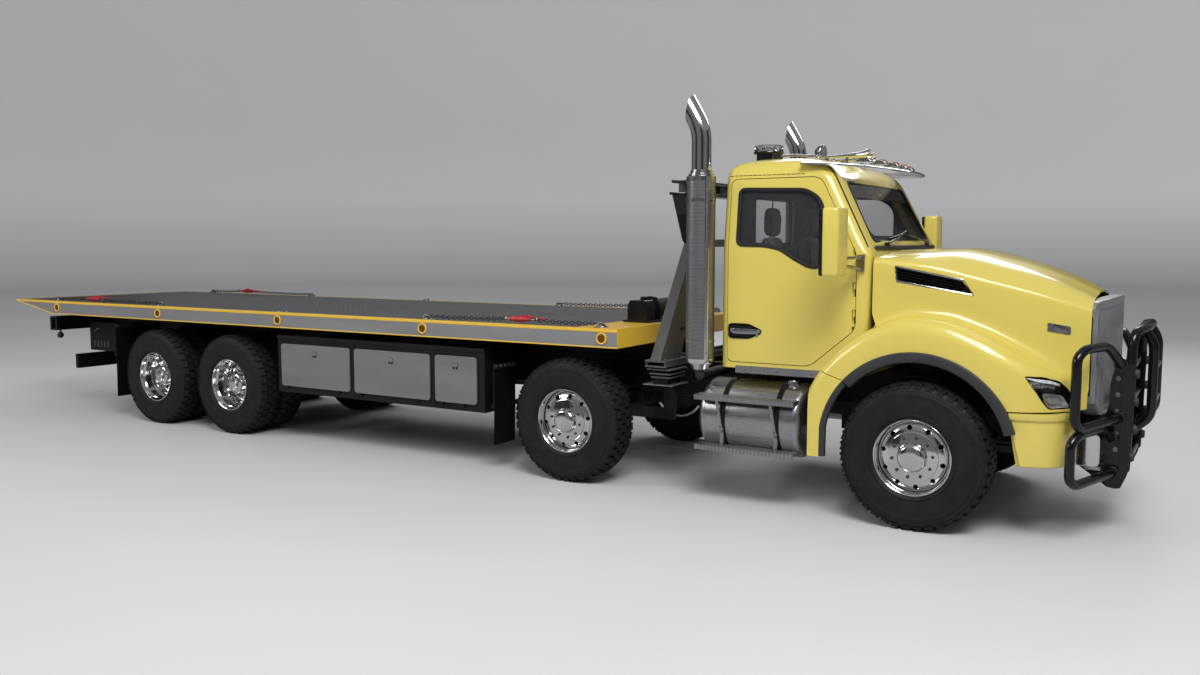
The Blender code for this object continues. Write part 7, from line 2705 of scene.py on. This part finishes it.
gear = Build()
for s in (1, -1):
    # Bolt rows where crossmembers and brackets meet the rails
    for x in (-1.95, -2.25, -5.2, -9.8, -10.9, 0.95):
        for dz in (0.06, 0.19):
            for dx in (-0.03, 0.03):
                bolt(gear, (x + dx, s * 0.470, 0.80 + dz), (0, s, 0), 0.010)
    # Front spring: leaves above the axle beam, clips and U-bolts
    for k, half in enumerate((0.70, 0.60, 0.48, 0.36)):
        z = 0.575 + 0.0125 * k
        gear.add(g_box((-half + 0.02, half - 0.02), (s * 0.398, s * 0.462), (z, z + 0.010)), "cast_iron")
    for x in (-0.075, 0.075):
        gear.add(g_tube(rounded(
            [(x, s * 0.388, 0.43), (x, s * 0.388, 0.645), (x, s * 0.472, 0.645), (x, s * 0.472, 0.43)],
            0.02, 4,
        ), 0.009, 8), "bare_steel")
    gear.add(g_turn(
        [(0.0, 0.0), (0.030, 0.004), (0.030, 0.16), (0.036, 0.165), (0.036, 0.30), (0.0, 0.305)],
        (0.13, s * 0.50, 0.56), (-0.1, 0.0, 1.0), 18,
    ), "frame_black")
    # Brake chambers on the drive and pusher axles
    for x in (-7.475, -8.77, -3.03):
        gear.add(g_turn(
            [
                (0.0, 0.0), (0.055, 0.006), (0.075, 0.025), (0.077, 0.055), (0.083, 0.058), (0.083, 0.070),
                (0.077, 0.073), (0.075, 0.12), (0.060, 0.145), (0.0, 0.150),
            ],
            (x + 0.10, s * 0.30, 0.66), (1, 0, 0.15), 24,
        ), "frame_black")
    # Suspension torque rods
    for x in (-7.475, -8.77):
        toward = -8.125
        gear.add(g_rod(
            (x + (0.09 if x < toward else -0.09), s * 0.20, 0.60),
            (toward + (0.12 if x > toward else -0.12), s * 0.34, 0.86), 0.022, 12,
        ), "cast_iron")
for y in (-0.25, 0.25):
    air_tank(gear, -4.40, y, 0.90, 0.78, 0.115, "frame_black")
air_tank(gear, -6.35, 0.0, 0.90, 0.72, 0.115, "frame_black")
# Universal joints on the drive shaft
for x, z in ((-1.50, 0.759), (-7.36, 0.585)):
    gear.add(g_turn(
        [(0.046, -0.05), (0.062, -0.045), (0.062, 0.045), (0.046, 0.05)], (x, 0, z), (1, 0, -0.03), 20,
    ), "cast_iron")
    for a in (0, 90, 180, 270):
        away = (0, math.cos(math.radians(a)), math.sin(math.radians(a)))
        gear.add(g_turn([(0.0, 0.078), (0.014, 0.078), (0.016, 0.05)], (x, 0, z), away, 12), "bare_steel")
gear.make("running_gear_details", "chassis", bevel=0.0, smooth=40)

hoses = Build()
for s in (1, -1):
    path = [
        (-1.70, s * 0.36, 1.00), (-2.4, s * 0.35, 0.98), (-3.6, s * 0.36, 1.01), (-5.0, s * 0.355, 0.99),
        (-6.8, s * 0.36, 1.01), (-8.2, s * 0.355, 0.98), (-9.6, s * 0.36, 1.0), (-10.7, s * 0.355, 0.99),
    ]
    hoses.add(g_tube(spline(path, 5), 0.011, 10), "gasket_rubber")
    beside = [(x, y - s * 0.03, z - 0.035) for x, y, z in path]
    hoses.add(g_tube(spline(beside, 5), 0.008, 10), "gasket_rubber")
hoses.make("frame_hoses", "chassis", smooth=60)

# Carried-over CAD nodes: a finish for each material, and small worn edges

FINISHES = {
    "yellow_paint": "cab_yellow",
    "chassis_black": "frame_black",
    "tower_grey": "tower_paint",
    "deck_grey": "rail_grey",
    "door_grey": "box_door_metal",
    "chrome": "chrome",
    "aluminium": "brushed_aluminium",
    "tyre": "tyre_rubber",
    "rubber": "flap_rubber",
    "cast_iron": "cast_iron",
    "grille_grey": "satin_chrome",
    "fabric": "seat_cloth",
    "plastic": "interior_trim",
    "glass": "window_glass",
}

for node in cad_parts.values():
    for slot_item in node.material_slots:
        key = slot_item.material.name.split(".")[0]
        slot_item.material = LOOKS[FINISHES[key]].mat

# Width of the rounded edges of each kept node
EDGES = {
    "chassis_frame": 0.004, "front_axle": 0.006, "engine_block": 0.006, "pusher_axle": 0.004,
    "tandem_bogie": 0.005, "subframe": 0.003, "toolbox_L": 0.003, "toolbox_R": 0.003,
    "knuckle_L": 0.003, "knuckle_R": 0.003, "deck": 0.0015, "tilt_barrels": 0.001, "tilt_rods": 0.001,
}
# Nodes whose finish isn't the one of their material
FINISH_OF = {
    "toolbox_L": "box_black", "toolbox_R": "box_black", "tilt_barrels": "gloss_black",
    "tilt_rods": "chrome",
}

for node_name, width in EDGES.items():
    round_edges(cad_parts[node_name], width, 2, 50)
for node_name, finish in FINISH_OF.items():
    for slot_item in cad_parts[node_name].material_slots:
        slot_item.material = LOOKS[finish].mat
